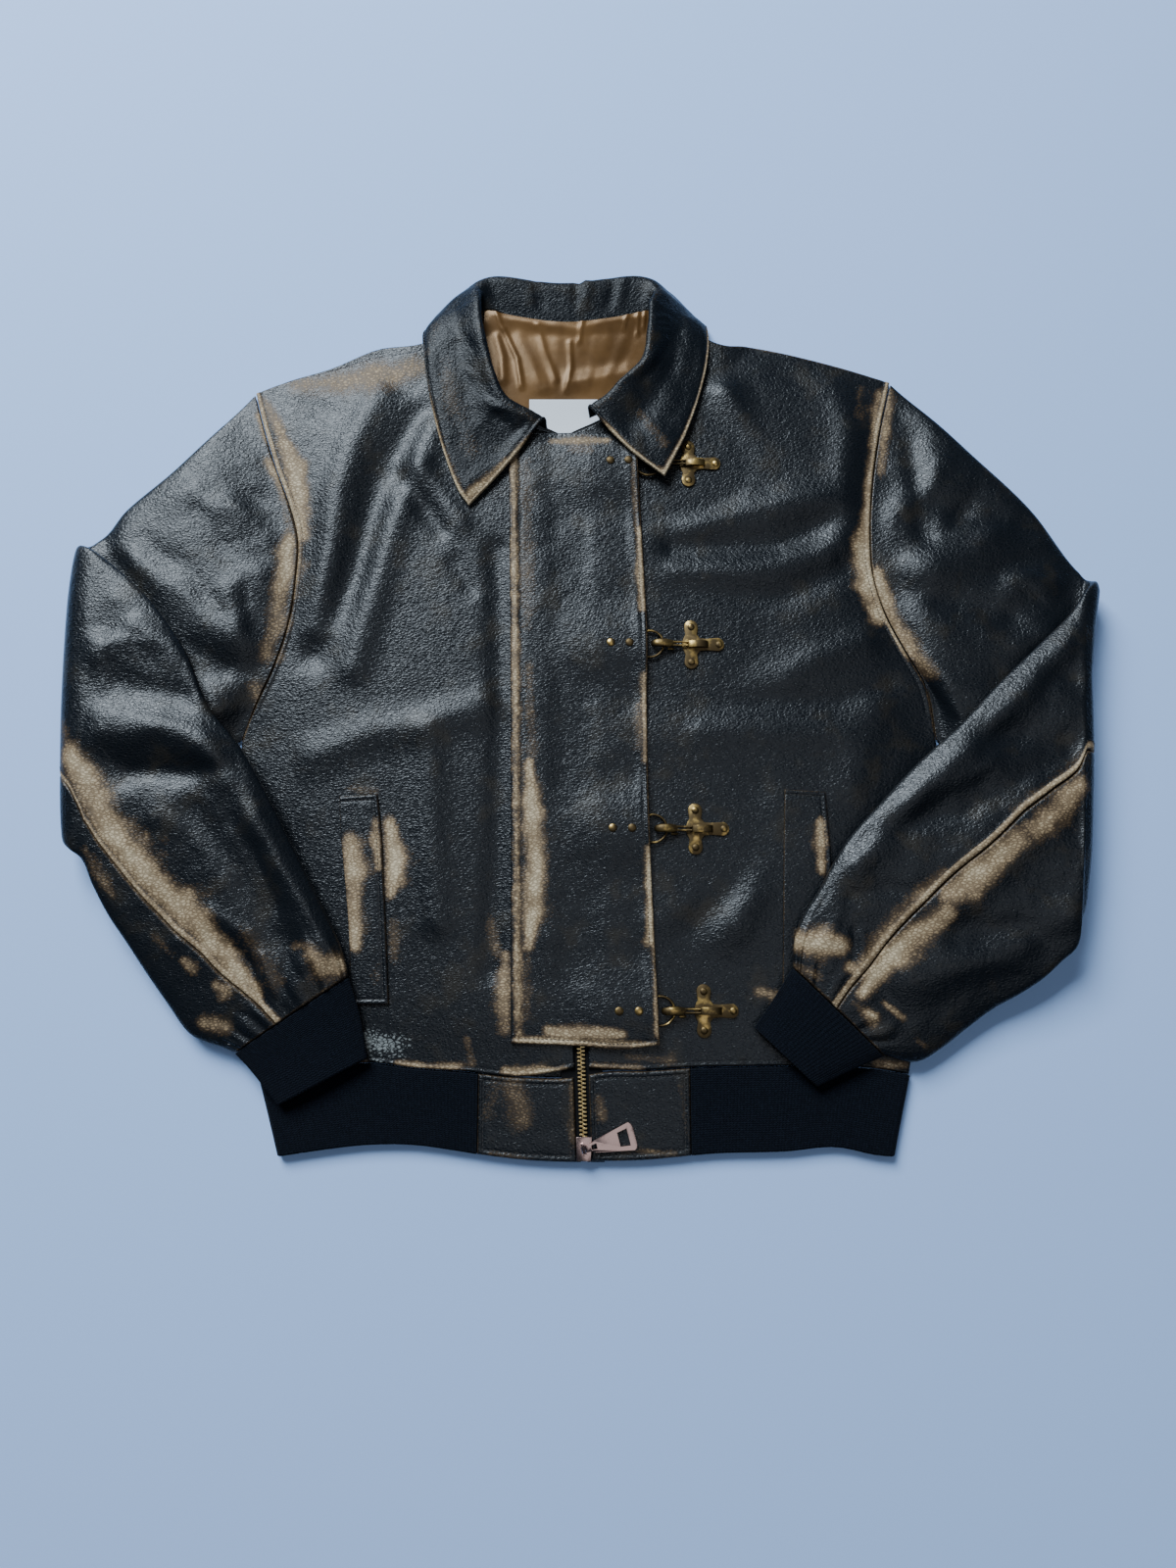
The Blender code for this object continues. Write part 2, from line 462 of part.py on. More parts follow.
class Sleeve:
    """A flattened tube between an upper and a lower edge, folded over where the two edges turn.

    It starts at the armhole and ends at the cuff seam. Its front face is up on the upper arm and
    faces down after the fold, so that the forearm shows its back face.
    """

    TURN = 9.8  # radius of the fold, to the middle of the tube
    HALF = 9.5  # half the tube's thickness
    POWER = 0.62  # how full its flattened section is
    LOW = 9.55  # height of the middle of the upper arm

    def __init__(self, armhole, upper, fold, inward, forearm, folds_upper, folds_forearm):
        self.armhole = Curve(armhole)
        inward = np.array((*inward, 0.0))
        rows = []
        for up, low, height, half in upper:
            rows.append(((*up, height), (*low, height), 0.0, half))
        for angle in (0, 45, 90, 135, 180):
            turn = math.radians(angle)
            height = self.LOW + self.TURN * (1 - math.cos(turn))
            ends = []
            for end, before, after in fold:
                back = before if angle < 90 else after
                set_back = np.array((*back, 0.0)) * (1 - math.sin(turn))
                ends.append(np.array((*end, height)) + set_back)
            rows.append((ends[0], ends[1], float(angle), self.HALF))
        for up, low, half in forearm:
            rows.append((up, low, 180.0, half))
        ups, lows = np.array([r[0] for r in rows]), np.array([r[1] for r in rows])
        middle = (ups + lows) / 2
        steps = np.linalg.norm(np.diff(middle, axis=0), axis=1)
        marks = np.r_[0, np.cumsum(steps)] / steps.sum()
        self.marks = marks
        self.up, self.low = Curve(ups, marks), Curve(lows, marks)
        self.turn = Curve([(r[2], r[3]) for r in rows], marks)
        self.inward = inward
        self.folds_upper, self.folds_forearm = folds_upper, folds_forearm
        self.fold_mark = marks[len(upper) + 2]

    def point(self, place, around, wall=0.0):
        """A point of the tube: around is 0 at the upper edge, 0.5 at the lower one, back face after it."""
        up, low = self.up.at(place), self.low.at(place)
        state = self.turn.at(place)
        angle, half = np.radians(np.clip(state[:, 0], 0, 180)), state[:, 1]
        ring = 2 * np.pi * around
        across = (up - low) / 2
        width = np.linalg.norm(across, axis=1)[:, None]
        side = across / width
        normal = np.cos(angle)[:, None] * np.array((0, 0, 1.0)) + np.sin(angle)[:, None] * self.inward
        normal -= side * (normal * side).sum(1)[:, None]
        normal /= np.linalg.norm(normal, axis=1)[:, None]
        bulge = self.bulge(place, np.cos(ring))
        full = np.abs(np.sin(ring)) ** self.POWER * np.sign(np.sin(ring))
        middle = (up + low) / 2 + side * (width - wall) * np.cos(ring)[:, None] + bulge
        place_half = self.armhole_half(place, middle, half)
        middle = middle.copy()
        near = 1 - smooth(0, 0.16, place)
        middle[:, 2] += near * (place_half - middle[:, 2])
        out = middle + normal * ((place_half - wall) * full)[:, None]
        out[:, 2] += self.creases(place, ring, out)
        rest = sleeve_rest(out[:, 0], out[:, 1]) + 0.7
        rest *= smooth(self.fold_mark, self.fold_mark + 0.12, place)
        out[:, 2] = np.maximum(out[:, 2], rest + wall)
        return out

    def armhole_half(self, place, middle, half):
        """At the armhole the tube is as thick as the body that it is sewn to."""
        body = front_height(middle[:, 0], middle[:, 1]) / 2
        near = 1 - smooth(0, 0.16, place)
        return half + near * (body - half)

    def bulge(self, place, across):
        """The armhole isn't straight, and the tube takes up its curve over the first third of the arm."""
        where = (across + 1) / 2
        line = self.armhole.at(where)
        share = where[:, None]
        chord = self.armhole.at(0) * (1 - share) + self.armhole.at(1) * share
        fade = (1 - smooth(0, 0.3, place))[:, None]
        return np.column_stack([(line - chord) * fade, 0 * where])

    def creases(self, place, ring, out):
        """Folds on the two faces that show: the upper arm's front and the forearm's back."""
        face = np.sin(ring)
        x, y = out[:, 0], out[:, 1]
        upper = folds(x, y, self.folds_upper) * smooth(0.1, 0.8, face)
        upper *= smooth(self.fold_mark, self.fold_mark - 0.08, place) * smooth(0, 0.08, place)
        fore = folds(x, y, self.folds_forearm) * smooth(0.1, 0.8, -face)
        fore *= smooth(self.fold_mark + 0.02, self.fold_mark + 0.1, place)
        return upper + fore


SEAM_ON_BACK = 0.66  # the forearm's back seam, as a place around the sleeve
SEAM_UNDER = 0.503  # the underarm seam, at the lower edge

SLEEVE_R = dict(
    armhole=ARMHOLE_R,
    upper=[
        ((-290.5, 346), (-286.5, 38), 4.0, 4.0),
        ((-318, 312), (-306, 25), 9.0, 9.0),
        ((-352, 274), (-334, 5), 9.55, 9.5),
        ((-392, 236), (-372, -18), 9.55, 9.5),
    ],
    fold=(((-424, 200), (11, 9), (11, -5)), ((-420, -50), (9, 8), (9, -6))),
    inward=(1.0, 0.0),
    forearm=[
        ((-396, 183, 29.15), (-402, -62, 28.6), 9.5),
        ((-362, 152, 29.15), (-391, -84, 26.5), 9.6),
        ((-328, 106, 29.15), (-378, -108, 23.0), 9.8),
        ((-308, 62, 29.15), (-363, -130, 19.0), 10.2),
        ((-280, 27, 27.5), (-347, -154, 15.0), 10.5),
        ((-257, -12, 25.5), (-331, -176, 12.5), 10.5),
        ((-234, -56, 23.5), (-313, -199, 11.2), 10.0),
        ((-212, -97, 22.5), (-299, -206, 11.0), 9.5),
        ((-194, -134, 21.5), (-286, -210, 11.5), 9.0),
        ((-188, -155, 20.5), (-276, -214, 12.5), 8.0),
    ],
    folds_upper=[
        (-3.5, 12, [(-334, 97), (-300, 92), (-276, 97)]),
        (-3.0, 9, [(-396, 186), (-340, 120), (-300, 100)]),
        (-2.0, 12, [(-330, 232), (-300, 190)]),
    ],
    folds_forearm=[
        (4.5, 12, [(-402, 106), (-366, 122), (-332, 108)]),
        (-3.0, 12, [(-394, 78), (-326, 68)]),
        (3.5, 13, [(-400, 36), (-340, 38), (-300, 20)]),
        (-2.5, 13, [(-380, 8), (-320, 6)]),
        (4.5, 15, [(-300, 30), (-270, -20), (-230, -80), (-206, -126)]),
        (-2.5, 12, [(-312, -27), (-270, -82), (-240, -126)]),
        (2.5, 8, [(-414, 142), (-392, 78)]),
    ],
)

SLEEVE_L = dict(
    armhole=ARMHOLE_L,
    upper=[
        ((264.5, 356), (288.5, 39), 4.0, 4.0),
        ((292, 326), (304, 12), 9.0, 9.0),
        ((326, 290), (326, -20), 9.55, 9.5),
        ((378, 234), (360, -66), 9.55, 9.5),
    ],
    fold=(((421, 170), (-8, 11), (-10, -10)), ((395, -104), (-9, 8), (-8, -8))),
    inward=(-0.996, 0.088),
    forearm=[
        ((395, 138, 29.15), (383, -131, 27.5), 9.5),
        ((368, 112, 29.15), (370, -144, 25.0), 9.6),
        ((332, 78, 29.15), (356, -157, 21.5), 10.0),
        ((300, 45, 29.15), (338, -169, 18.0), 10.5),
        ((267, 16, 27.5), (318, -180, 15.0), 11.0),
        ((235, -17, 25.5), (296, -196, 12.5), 11.0),
        ((204, -52, 23.5), (276, -211, 11.5), 10.5),
        ((184, -86, 22.5), (260, -220, 11.2), 10.0),
        ((164, -122, 21.5), (246, -220, 11.5), 9.0),
        ((161, -148, 20.5), (231, -216, 12.5), 8.0),
    ],
    folds_upper=[
        (-3.5, 11, [(276, 305), (284, 216)]),
        (-3.5, 12, [(298, 238), (378, 222)]),
        (-3.5, 13, [(250, 170), (300, 155), (350, 139)]),
        (-2.0, 10, [(330, 300), (360, 262)]),
    ],
    folds_forearm=[
        (5.0, 12, [(394, 122), (336, 58), (264, -8), (212, -66)]),
        (-3.0, 13, [(392, 31), (314, 36)]),
        (-3.0, 13, [(312, -8), (262, -30), (219, -46)]),
        (4.0, 15, [(376, -110), (318, -142), (252, -158)]),
        (2.0, 12, [(398, 0), (340, -60), (280, -110)]),
    ],
)


def make_sleeve(side, sleeve, finish):
    """The two cut pieces of one sleeve."""
    start = 0.004
    gap = 0.0011

    def strip(first, last):
        def walls(u, v):
            around = first + (last - first) * v
            place = start + (1 - start) * u
            return sleeve.point(place, around), sleeve.point(place, around, LEATHER)
        return walls

    cloth("top_sleeve_" + side, strip(SEAM_ON_BACK - 1 + gap, SEAM_UNDER - gap), 25, 13, finish)
    cloth("under_sleeve_" + side, strip(SEAM_UNDER + gap, SEAM_ON_BACK - gap), 25, 3, finish)


def ring_of_cloth(name, rings, wall, around, finish):
    """An open tube through flattened rings: each has two ends of its width and half its thickness."""
    marks = np.linspace(0, 1, len(rings))
    first, second = Curve([r[0] for r in rings], marks), Curve([r[1] for r in rings], marks)
    halves = Curve([(r[2], 0) for r in rings], marks)
    bm = bmesh.new()
    along = 2 * (len(rings) - 1)
    layers = []
    for inset in (0.0, wall):
        loops = []
        for step in range(along + 1):
            place = np.array([step / along])
            a, b = first.at(place)[0], second.at(place)[0]
            half = halves.at(place)[0][0] - inset
            centre, across = (a + b) / 2, (b - a) / 2
            across *= 1 - inset / np.linalg.norm(across)
            normal = np.cross(across, centre * 0 + (0, 0, 1))
            normal = np.cross(normal, across)
            normal /= np.linalg.norm(normal)
            loop = []
            for i in range(around):
                turn = 2 * math.pi * i / around
                rise = abs(math.sin(turn)) ** 0.6 * math.copysign(1, math.sin(turn))
                loop.append(bm.verts.new(centre + across * math.cos(turn) + normal * half * rise))
            loops.append(loop)
        layers.append(loops)
    outer, inner = layers
    for loops in layers:
        for low, high in zip(loops, loops[1:]):
            for i in range(around):
                j = (i + 1) % around
                bm.faces.new((low[i], low[j], high[j], high[i]))
    for end in (0, -1):
        for i in range(around):
            j = (i + 1) % around
            bm.faces.new((outer[end][i], outer[end][j], inner[end][j], inner[end][i]))
    return add(name, bm, finish)


def make_cuffs(finish):
    ring_of_cloth("cuff_right", [
        ((-187.8, -155.7, 19.9), (-275.6, -214.6, 13.4), 6.6),
        ((-178, -187, 17.0), (-262, -228, 14.6), 5.6),
        ((-172, -218, 15.2), (-240, -254, 14.6), 5.2),
    ], KNIT_WALL, 14, finish)
    ring_of_cloth("cuff_left", [
        ((160.5, -148.6, 19.9), (230.4, -216.7, 13.4), 6.6),
        ((146, -172, 17.4), (206, -227, 14.6), 5.6),
        ((130, -195, 15.4), (178, -240, 14.6), 5.2),
    ], KNIT_WALL, 14, finish)


RIB_TABS = (-86.5, 80.5)  # where the leather tabs begin
RIB_BOTTOM = [(-241, -293), (-214, -289), (-168, -284), (-138, -284), (-99, -289), (-86, -291), (81, -292),
              (92, -291), (153, -289), (195, -286), (225, -292), (238, -293)]


def rib_middle(t, v):
    """The knitted band from the right tab round the back to the left tab, t along it and v up it."""
    turn = (RIB_HIGH - RIB_LOW) / 2
    middle_height = (RIB_HIGH + RIB_LOW) / 2
    low_table = Curve(RIB_BOTTOM).at(np.linspace(0, 1, 60))
    ends = np.interp(v, (0, 1), (-240, -258)), np.interp(v, (0, 1), (237, 252))
    x, z = np.empty_like(t), np.empty_like(t)
    stops = (0.0, 0.16, 0.2, 0.8, 0.84, 1.0)
    for i, place in enumerate(t):
        left, right = ends[0][i], ends[1][i]
        part = int(np.clip(np.searchsorted(stops, place, side="right") - 1, 0, 4))
        along = (place - stops[part]) / (stops[part + 1] - stops[part])
        if part == 0:
            x[i], z[i] = RIB_TABS[0] + (left + turn - RIB_TABS[0]) * along, RIB_HIGH
        elif part == 1:
            x[i] = left + turn - turn * math.sin(math.pi * along)
            z[i] = middle_height + turn * math.cos(math.pi * along)
        elif part == 2:
            x[i], z[i] = left + turn + (right - left - 2 * turn) * along, RIB_LOW
        elif part == 3:
            x[i] = right - turn + turn * math.sin(math.pi * along)
            z[i] = middle_height - turn * math.cos(math.pi * along)
        else:
            x[i], z[i] = right - turn + (RIB_TABS[1] - right + turn) * along, RIB_HIGH
    top = hem_y(x) - SEAM
    bottom = np.interp(x, low_table[:, 0], low_table[:, 1])
    return np.column_stack([x, bottom + (top - bottom) * v, z])


def make_rib(finish):
    stops = np.r_[np.linspace(0, 0.16, 7), np.linspace(0.16, 0.2, 6)[1:], np.linspace(0.2, 0.8, 10)[1:],
                  np.linspace(0.8, 0.84, 6)[1:], np.linspace(0.84, 1, 7)[1:]]
    walls = thick(rib_middle, KNIT_WALL)

    def surface(u, v):
        return walls(np.interp(u, np.linspace(0, 1, len(stops)), stops), v)

    return cloth("waist_rib", surface, len(stops) - 1, 3, finish)


def hem_y(x):
    """The hem seam's Y at each X."""
    table = Curve(HEM_SEAM).at(np.linspace(0, 1, 60))
    return np.interp(x, table[:, 0], table[:, 1])


def make_tab(name, low_left, low_right, top_left, top_right, finish):
    """A leather end of the band, from its lower corners up to the hem seam."""
    def walls(u, v):
        low = low_left[0] + (low_right[0] - low_left[0]) * u
        high = top_left + (top_right - top_left) * u
        bottom = low_left[1] + (low_right[1] - low_left[1]) * u - 1.5 * np.sin(math.pi * u)
        x = low + (high - low) * v
        y = bottom + (hem_y(high) - SEAM - bottom) * v
        top = 0 * x + RIB_HIGH + KNIT_WALL / 2
        return np.column_stack([x, y, top]), np.column_stack([x, y, top - LEATHER])
    return cloth(name, walls, 4, 2, finish)


def strip_along_zip(name, low, high, drop, thickness, finish, top_y=318.0, steps=14, bottom_y=-297.0):
    """A strip beside the zip's middle line, from low to high across it and drop below the leather."""
    def walls(u, v):
        y = bottom_y + (top_y - bottom_y) * v
        x = zip_x(y) + low + (high - low) * u
        leather = np.where(y < -228, RIB_HIGH + KNIT_WALL / 2, front_height(zip_x(y) + 0 * x, y))
        top = leather - drop
        return np.column_stack([x, y, top]), np.column_stack([x, y, top - thickness])
    return cloth(name, walls, 1, steps, finish)


def make_zip(tape, teeth):
    strip_along_zip("zip_tape_right", -16.0, -3.7, LEATHER + 0.35, 1.0, tape)
    strip_along_zip("zip_tape_left", 3.7, 16.0, LEATHER + 0.35, 1.0, tape)
    strip_along_zip("zip_chain", -3.3, 3.3, 0.4, 3.0, teeth, top_y=312.0)


SLIDER_AT = (-3.2, -287.0)
PULL_TURN = math.radians(15)
SLIDER_TOP, SLIDER_THICK = 10.6, 1.6
BAR_Z, BAR_RADIUS = 13.1, 0.8
KNUCKLE_RADIUS, BORE_RADIUS = 2.1, 1.2
PULL_LENGTH, PULL_NEAR, PULL_FAR, PULL_THICK = 41.0, 9.0, 21.5, 1.5
PULL_REST = 9.9  # height of the far end's middle


def turned(x, y, z):
    """From the pull's own frame, X along it and Y along its hinge, into the jacket's."""
    return (SLIDER_AT[0] + x * math.cos(PULL_TURN) - y * math.sin(PULL_TURN),
            SLIDER_AT[1] + x * math.sin(PULL_TURN) + y * math.cos(PULL_TURN), z)


def box_into(bm, low, high):
    made = bmesh.ops.create_cube(bm, size=1.0)["verts"]
    for vert in made:
        vert.co = [low[i] + (vert.co[i] + 0.5) * (high[i] - low[i]) for i in range(3)]
    return made


def combine(base, others, operation):
    """Joins helper solids into base, or cuts them out of it, and takes the helpers out of the scene."""
    for other in others:
        step = base.modifiers.new(operation.lower(), "BOOLEAN")
        step.operation = operation
        step.object = other
        other.hide_render = True
        other.display_type = "WIRE"


def piece(name, build, finish):
    bm = bmesh.new()
    build(bm)
    return add(name, bm, finish, round_edges=False)


def bar_into(bm, start, end, radius, sides):
    """A round bar along the hinge line of the pull."""
    made = bmesh.ops.create_cone(bm, cap_ends=True, segments=sides, radius1=radius, radius2=radius, depth=1.0)
    for vert in made["verts"]:
        x, y, z = vert.co
        vert.co = turned(x, start + (z + 0.5) * (end - start), BAR_Z + y)


def make_slider(finish):
    def plate(bm):
        x, y = SLIDER_AT
        verts = box_into(bm, (x - 5.4, y - 9.0, SLIDER_TOP - SLIDER_THICK), (x + 5.4, y + 9.0, SLIDER_TOP))
        for vert in verts:
            if vert.co.y > y:
                vert.co.x = x + (vert.co.x - x) * 1.12

    def post(start):
        def build(bm):
            for vert in box_into(bm, (-1.3, start, SLIDER_TOP - 0.8), (1.3, start + 1.5, BAR_Z + 0.9)):
                vert.co = turned(*vert.co)
        return build

    base = piece("zip_slider", plate, finish)
    helpers = [piece("slider_post_low", post(-5.0), finish), piece("slider_post_high", post(3.5), finish),
               piece("slider_bar", lambda bm: bar_into(bm, -4.2, 4.2, BAR_RADIUS, 8), finish)]
    combine(base, helpers, "UNION")
    return base


def make_pull(finish):
    """A tapered bare plate with a window near each end, on a knuckle round the slider's bar."""
    drop = math.asin((BAR_Z - PULL_REST) / PULL_LENGTH)

    def tilt(x, z):
        """The pull slopes down from its bar to rest its far end on the leather."""
        return x * math.cos(drop) + z * math.sin(drop), BAR_Z - x * math.sin(drop) + z * math.cos(drop)

    def outline(bm):
        far, near, end = PULL_FAR / 2, PULL_NEAR / 2, PULL_LENGTH
        half = [(2.0, 2.6), (5.5, 2.9), (9, near), (end - 3, far), (end - 0.8, far - 1.2), (end, far - 3.5)]
        corners = [(x, -y) for x, y in half] + half[::-1]
        verts = [bm.verts.new((x, y, -PULL_THICK / 2)) for x, y in corners]
        face = bm.faces.new(verts)
        grown = bmesh.ops.extrude_face_region(bm, geom=[face], use_keep_orig=True)
        for item in grown["geom"]:
            if isinstance(item, bmesh.types.BMVert):
                item.co.z += PULL_THICK
        place(bm)

    def place(bm):
        for vert in bm.verts:
            x, z = tilt(vert.co.x, vert.co.z)
            vert.co = turned(x, vert.co.y, z)

    def window(x0, x1, half0, half1):
        def build(bm):
            for vert in box_into(bm, (x0, -1, -3), (x1, 1, 3)):
                vert.co.y *= half0 if vert.co.x < (x0 + x1) / 2 else half1
            place(bm)
        return build

    def knuckle(radius, half):
        def build(bm):
            made = bmesh.ops.create_cone(bm, cap_ends=True, segments=12, radius1=radius, radius2=radius,
                                         depth=half * 2)
            for vert in made["verts"]:
                x, y, z = vert.co
                vert.co = (x, z, y)
            place(bm)
        return build

    base = piece("zip_pull", outline, finish)
    combine(base, [piece("pull_knuckle", knuckle(KNUCKLE_RADIUS, 2.6), finish)], "UNION")
    holes = [piece("pull_bore", knuckle(BORE_RADIUS, 4.0), finish),
             piece("pull_window", window(28, 36, 5.4, 6.6), finish),
             piece("pull_slot", window(6.0, 10.5, 1.6, 2.2), finish)]
    combine(base, holes, "DIFFERENCE")
    hinge = Vector(((SLIDER_AT[0] - CENTRE[0]) * MM, (SLIDER_AT[1] - CENTRE[1]) * MM, BAR_Z * MM))
    base.data.transform(Matrix.Translation(-hinge))
    base.location = hinge
    return base


def dome(name, x, y, z, radius, tall, finish):
    """A domed rivet head on its seat."""
    bm = bmesh.new()
    bmesh.ops.create_cone(bm, cap_ends=True, segments=10, radius1=radius, radius2=radius * 0.62, depth=tall)
    bmesh.ops.translate(bm, verts=bm.verts, vec=(x, y, z + tall / 2))
    return add(name, bm, finish)


def make_plate(name, x, y, finish):
    """The cross-shaped base: three round lugs and a raised bridge that carries the hook."""
    low, high = SEAT_TOP + 0.3, SEAT_TOP + 0.3 + PLATE_THICK
    bm = bmesh.new()
    outline = []
    for reach, direction in ((LUG_REACH_Y, 90), (LUG_REACH_X - 3, 0), (LUG_REACH_Y, -90)):
        turn = math.radians(direction)
        for spread in (-125, -75, -25, 25, 75, 125):
            angle = turn - math.radians(spread)
            outline.append((x + reach * math.cos(turn) + LUG_RADIUS * math.cos(angle),
                            y + reach * math.sin(turn) + LUG_RADIUS * math.sin(angle)))
        inner = turn - math.radians(45)
        if direction > -90:
            outline.append((x + PLATE_CORNER * math.cos(inner), y + PLATE_CORNER * math.sin(inner)))
    outline += [(x - PLATE_ARM, y - PLATE_ARM), (x - PLATE_ARM, y + PLATE_ARM)]
    face = bm.faces.new([bm.verts.new((px, py, low)) for px, py in outline])
    grown = bmesh.ops.extrude_face_region(bm, geom=[face], use_keep_orig=True)
    for item in grown["geom"]:
        if isinstance(item, bmesh.types.BMVert):
            item.co.z = high
    base = add(name, bm, finish, round_edges=False)

    bm = bmesh.new()
    made = bmesh.ops.create_cone(bm, cap_ends=True, segments=16, radius1=1, radius2=1, depth=BRIDGE_WIDTH)
    for vert in made["verts"]:
        px, py, pz = vert.co
        vert.co = (x + 5.0 + px * BRIDGE_HALF, y + pz, low + 0.7 + max(py, -0.05) * BRIDGE_TALL)
    combine(base, [add(name + "_bridge", bm, finish, round_edges=False)], "UNION")


def make_hook(name, x, y, finish):
    """A bar from the bridge that widens, reaches over the ring's wire and curls down inside it."""
    route = Curve([(-4.0, 4.3), (-11, 3.8), (-17, 4.8), (-20.5, 6.9), (-25.5, 7.5), (-30, 6.6), (-32.6, 4.6),
                   (-32.4, 2.9), (-30, 2.3)])
    half_width = Curve([(1.5, 0), (1.5, 0), (3.1, 0), (3.2, 0), (2.4, 0)], (0, 0.3, 0.5, 0.8, 1))

    def middle(u, v):
        place = route.at(u)
        side = (2 * v - 1) * half_width.at(u)[:, 0]
        return np.column_stack([x + place[:, 0], y + side, SEAT_TOP + place[:, 1]])

    return cloth(name, thick(middle, HOOK_THICK), 10, 1, finish)


def make_ring(name, x, y, finish):
    bm = bmesh.new()
    bmesh.ops.create_circle(bm, segments=6, radius=RING_WIRE)
    for vert in bm.verts:
        vert.co = (RING_RADIUS + vert.co.x, 0, vert.co.y)
    edges = bm.edges[:]
    bmesh.ops.spin(bm, geom=bm.verts[:] + edges, axis=(0, 0, 1), cent=(0, 0, 0), angle=2 * math.pi, steps=16,
                   use_merge=True)
    bmesh.ops.translate(bm, verts=bm.verts, vec=(x, y, RING_Z))
    return add(name, bm, finish)


def make_keeper(name, x, y, finish):
    """The leather strap under the flap that goes round the ring's wire and is riveted through the flap."""
    wire_x = x - RING_RADIUS
    half_gap, wall, half_width, fold_x = 1.95, 1.1, 4.0, 1.0
    line = [(-24, half_gap), (0, half_gap)]
    line += [(half_gap * math.sin(turn), half_gap * math.cos(turn))
             for turn in np.linspace(0, math.pi, 5)[1:-1]]
    line += [(0, -half_gap), (-21, -half_gap)]
    path = np.array([(wire_x + fold_x + px, RING_Z + pz) for px, pz in line])
    ahead = np.gradient(path, axis=0)
    normal = np.column_stack([-ahead[:, 1], ahead[:, 0]]) / np.linalg.norm(ahead, axis=1)[:, None]
    bm = bmesh.new()
    outline = [*(path + normal * wall / 2), *(path - normal * wall / 2)[::-1]]
    face = bm.faces.new([bm.verts.new((px, y - half_width, pz)) for px, pz in outline])
    grown = bmesh.ops.extrude_face_region(bm, geom=[face], use_keep_orig=True)
    for item in grown["geom"]:
        if isinstance(item, bmesh.types.BMVert):
            item.co.y = y + half_width
    return add(name, bm, finish, round_edges=False)


def make_clasps(brass, leather):
    for number, (x, y) in enumerate(CLASPS, 1):
        name = f"clasp_{number}"
        make_plate(name + "_plate", x, y, brass)
        make_hook(name + "_hook", x, y, brass)
        make_ring(name + "_ring", x + RING_OFFSET, y, brass)
        make_keeper(name + "_strap", x + RING_OFFSET, y, leather)
        seat = SEAT_TOP + 0.3 + PLATE_THICK + 0.3
        lugs = [("a", 0, LUG_REACH_Y), ("b", 0, -LUG_REACH_Y), ("c", LUG_REACH_X - 1.5, 0)]
        for letter, dx, dy in lugs:
            dome(f"{name}_rivet_{letter}", x + dx, y + dy, seat, RIVET_RADIUS * 0.85, RIVET_TALL, brass)
        for letter, dx in zip("ab", FLAP_RIVET_OFFSETS):
            px = np.array([x + dx])
            spots = [flap_underside(px + sx, np.array([y + sy]))[0] for sx in (-3, 0, 3) for sy in (-3, 0, 3)]
            seat = max(spots) + LEATHER + 0.3
            dome(f"flap_{number}_rivet_{letter}", x + dx, y, seat, RIVET_RADIUS, RIVET_TALL, brass)


def main():
    for old in list(bpy.data.objects):
        bpy.data.objects.remove(old, do_unlink=True)
    leather = material("leather", BLACK_LEATHER, 0.45)
    knit = material("rib knit", (0.006, 0.007, 0.011), 0.9)
    satin = material("satin", (0.26, 0.17, 0.08), 0.4)
    white = material("label", (0.8, 0.8, 0.8), 0.7)
    tape = material("zip tape", (0.01, 0.01, 0.012), 0.8)
    brass = material("old brass", BRASS, 0.35, 1.0)
    teeth = material("zip brass", (0.5, 0.4, 0.22), 0.35, 1.0)
    nickel = material("polished metal", (0.6, 0.55, 0.5), 0.2, 1.0)

    make_back(leather)
    make_front("right", leather)
    make_front("left", leather)
    make_flap(leather)
    make_collar(leather)
    make_sleeve("right", Sleeve(**SLEEVE_R), leather)
    make_sleeve("left", Sleeve(**SLEEVE_L), leather)
    make_cuffs(knit)
    make_rib(knit)
    make_tab("band_tab_right", (-85.9, -291), (-8.8, -297), -85.9, -11.5, leather)
    make_tab("band_tab_left", (2.8, -296), (80, -292), 0.6, 80, leather)
    for side, borders in WELTS.items():
        make_welt("pocket_welt_" + side, *borders, leather)
    _, lining_height = make_lining(satin)
    make_label(lining_height, white)
    make_zip(tape, teeth)
    make_slider(nickel)
    make_pull(nickel)
    make_clasps(brass, leather)


main()
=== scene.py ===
# %% [markdown]
# # A worn leather jacket, laid flat
#
# The jacket is a black blouson whose leather has rubbed through to tan along its seams, folds and edges.
# It lies on its back on a pale sheet with both sleeves folded over at the elbow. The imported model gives
# the solids and their frame. This script dresses them: each piece of cloth is cut again as a fine shell
# on the form of its solid, with its creases, turned edges, stitches and wear.
#
# Right and left are the wearer's. All sizes below are millimetres on the laid jacket.

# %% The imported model
import math

import bmesh
import bpy
import numpy as np
from mathutils import Matrix, Vector


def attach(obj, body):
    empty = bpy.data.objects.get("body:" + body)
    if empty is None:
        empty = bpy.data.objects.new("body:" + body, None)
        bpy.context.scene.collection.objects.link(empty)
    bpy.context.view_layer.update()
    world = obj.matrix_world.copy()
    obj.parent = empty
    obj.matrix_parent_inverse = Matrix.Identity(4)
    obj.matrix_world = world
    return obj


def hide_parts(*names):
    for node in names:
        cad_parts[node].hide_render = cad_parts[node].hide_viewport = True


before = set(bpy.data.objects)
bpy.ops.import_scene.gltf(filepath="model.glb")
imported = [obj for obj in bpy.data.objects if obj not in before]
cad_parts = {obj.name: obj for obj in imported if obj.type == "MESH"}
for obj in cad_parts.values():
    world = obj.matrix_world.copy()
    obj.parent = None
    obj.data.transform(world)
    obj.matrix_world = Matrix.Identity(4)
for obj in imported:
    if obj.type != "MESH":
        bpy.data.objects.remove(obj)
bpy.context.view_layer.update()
MM = 0.001
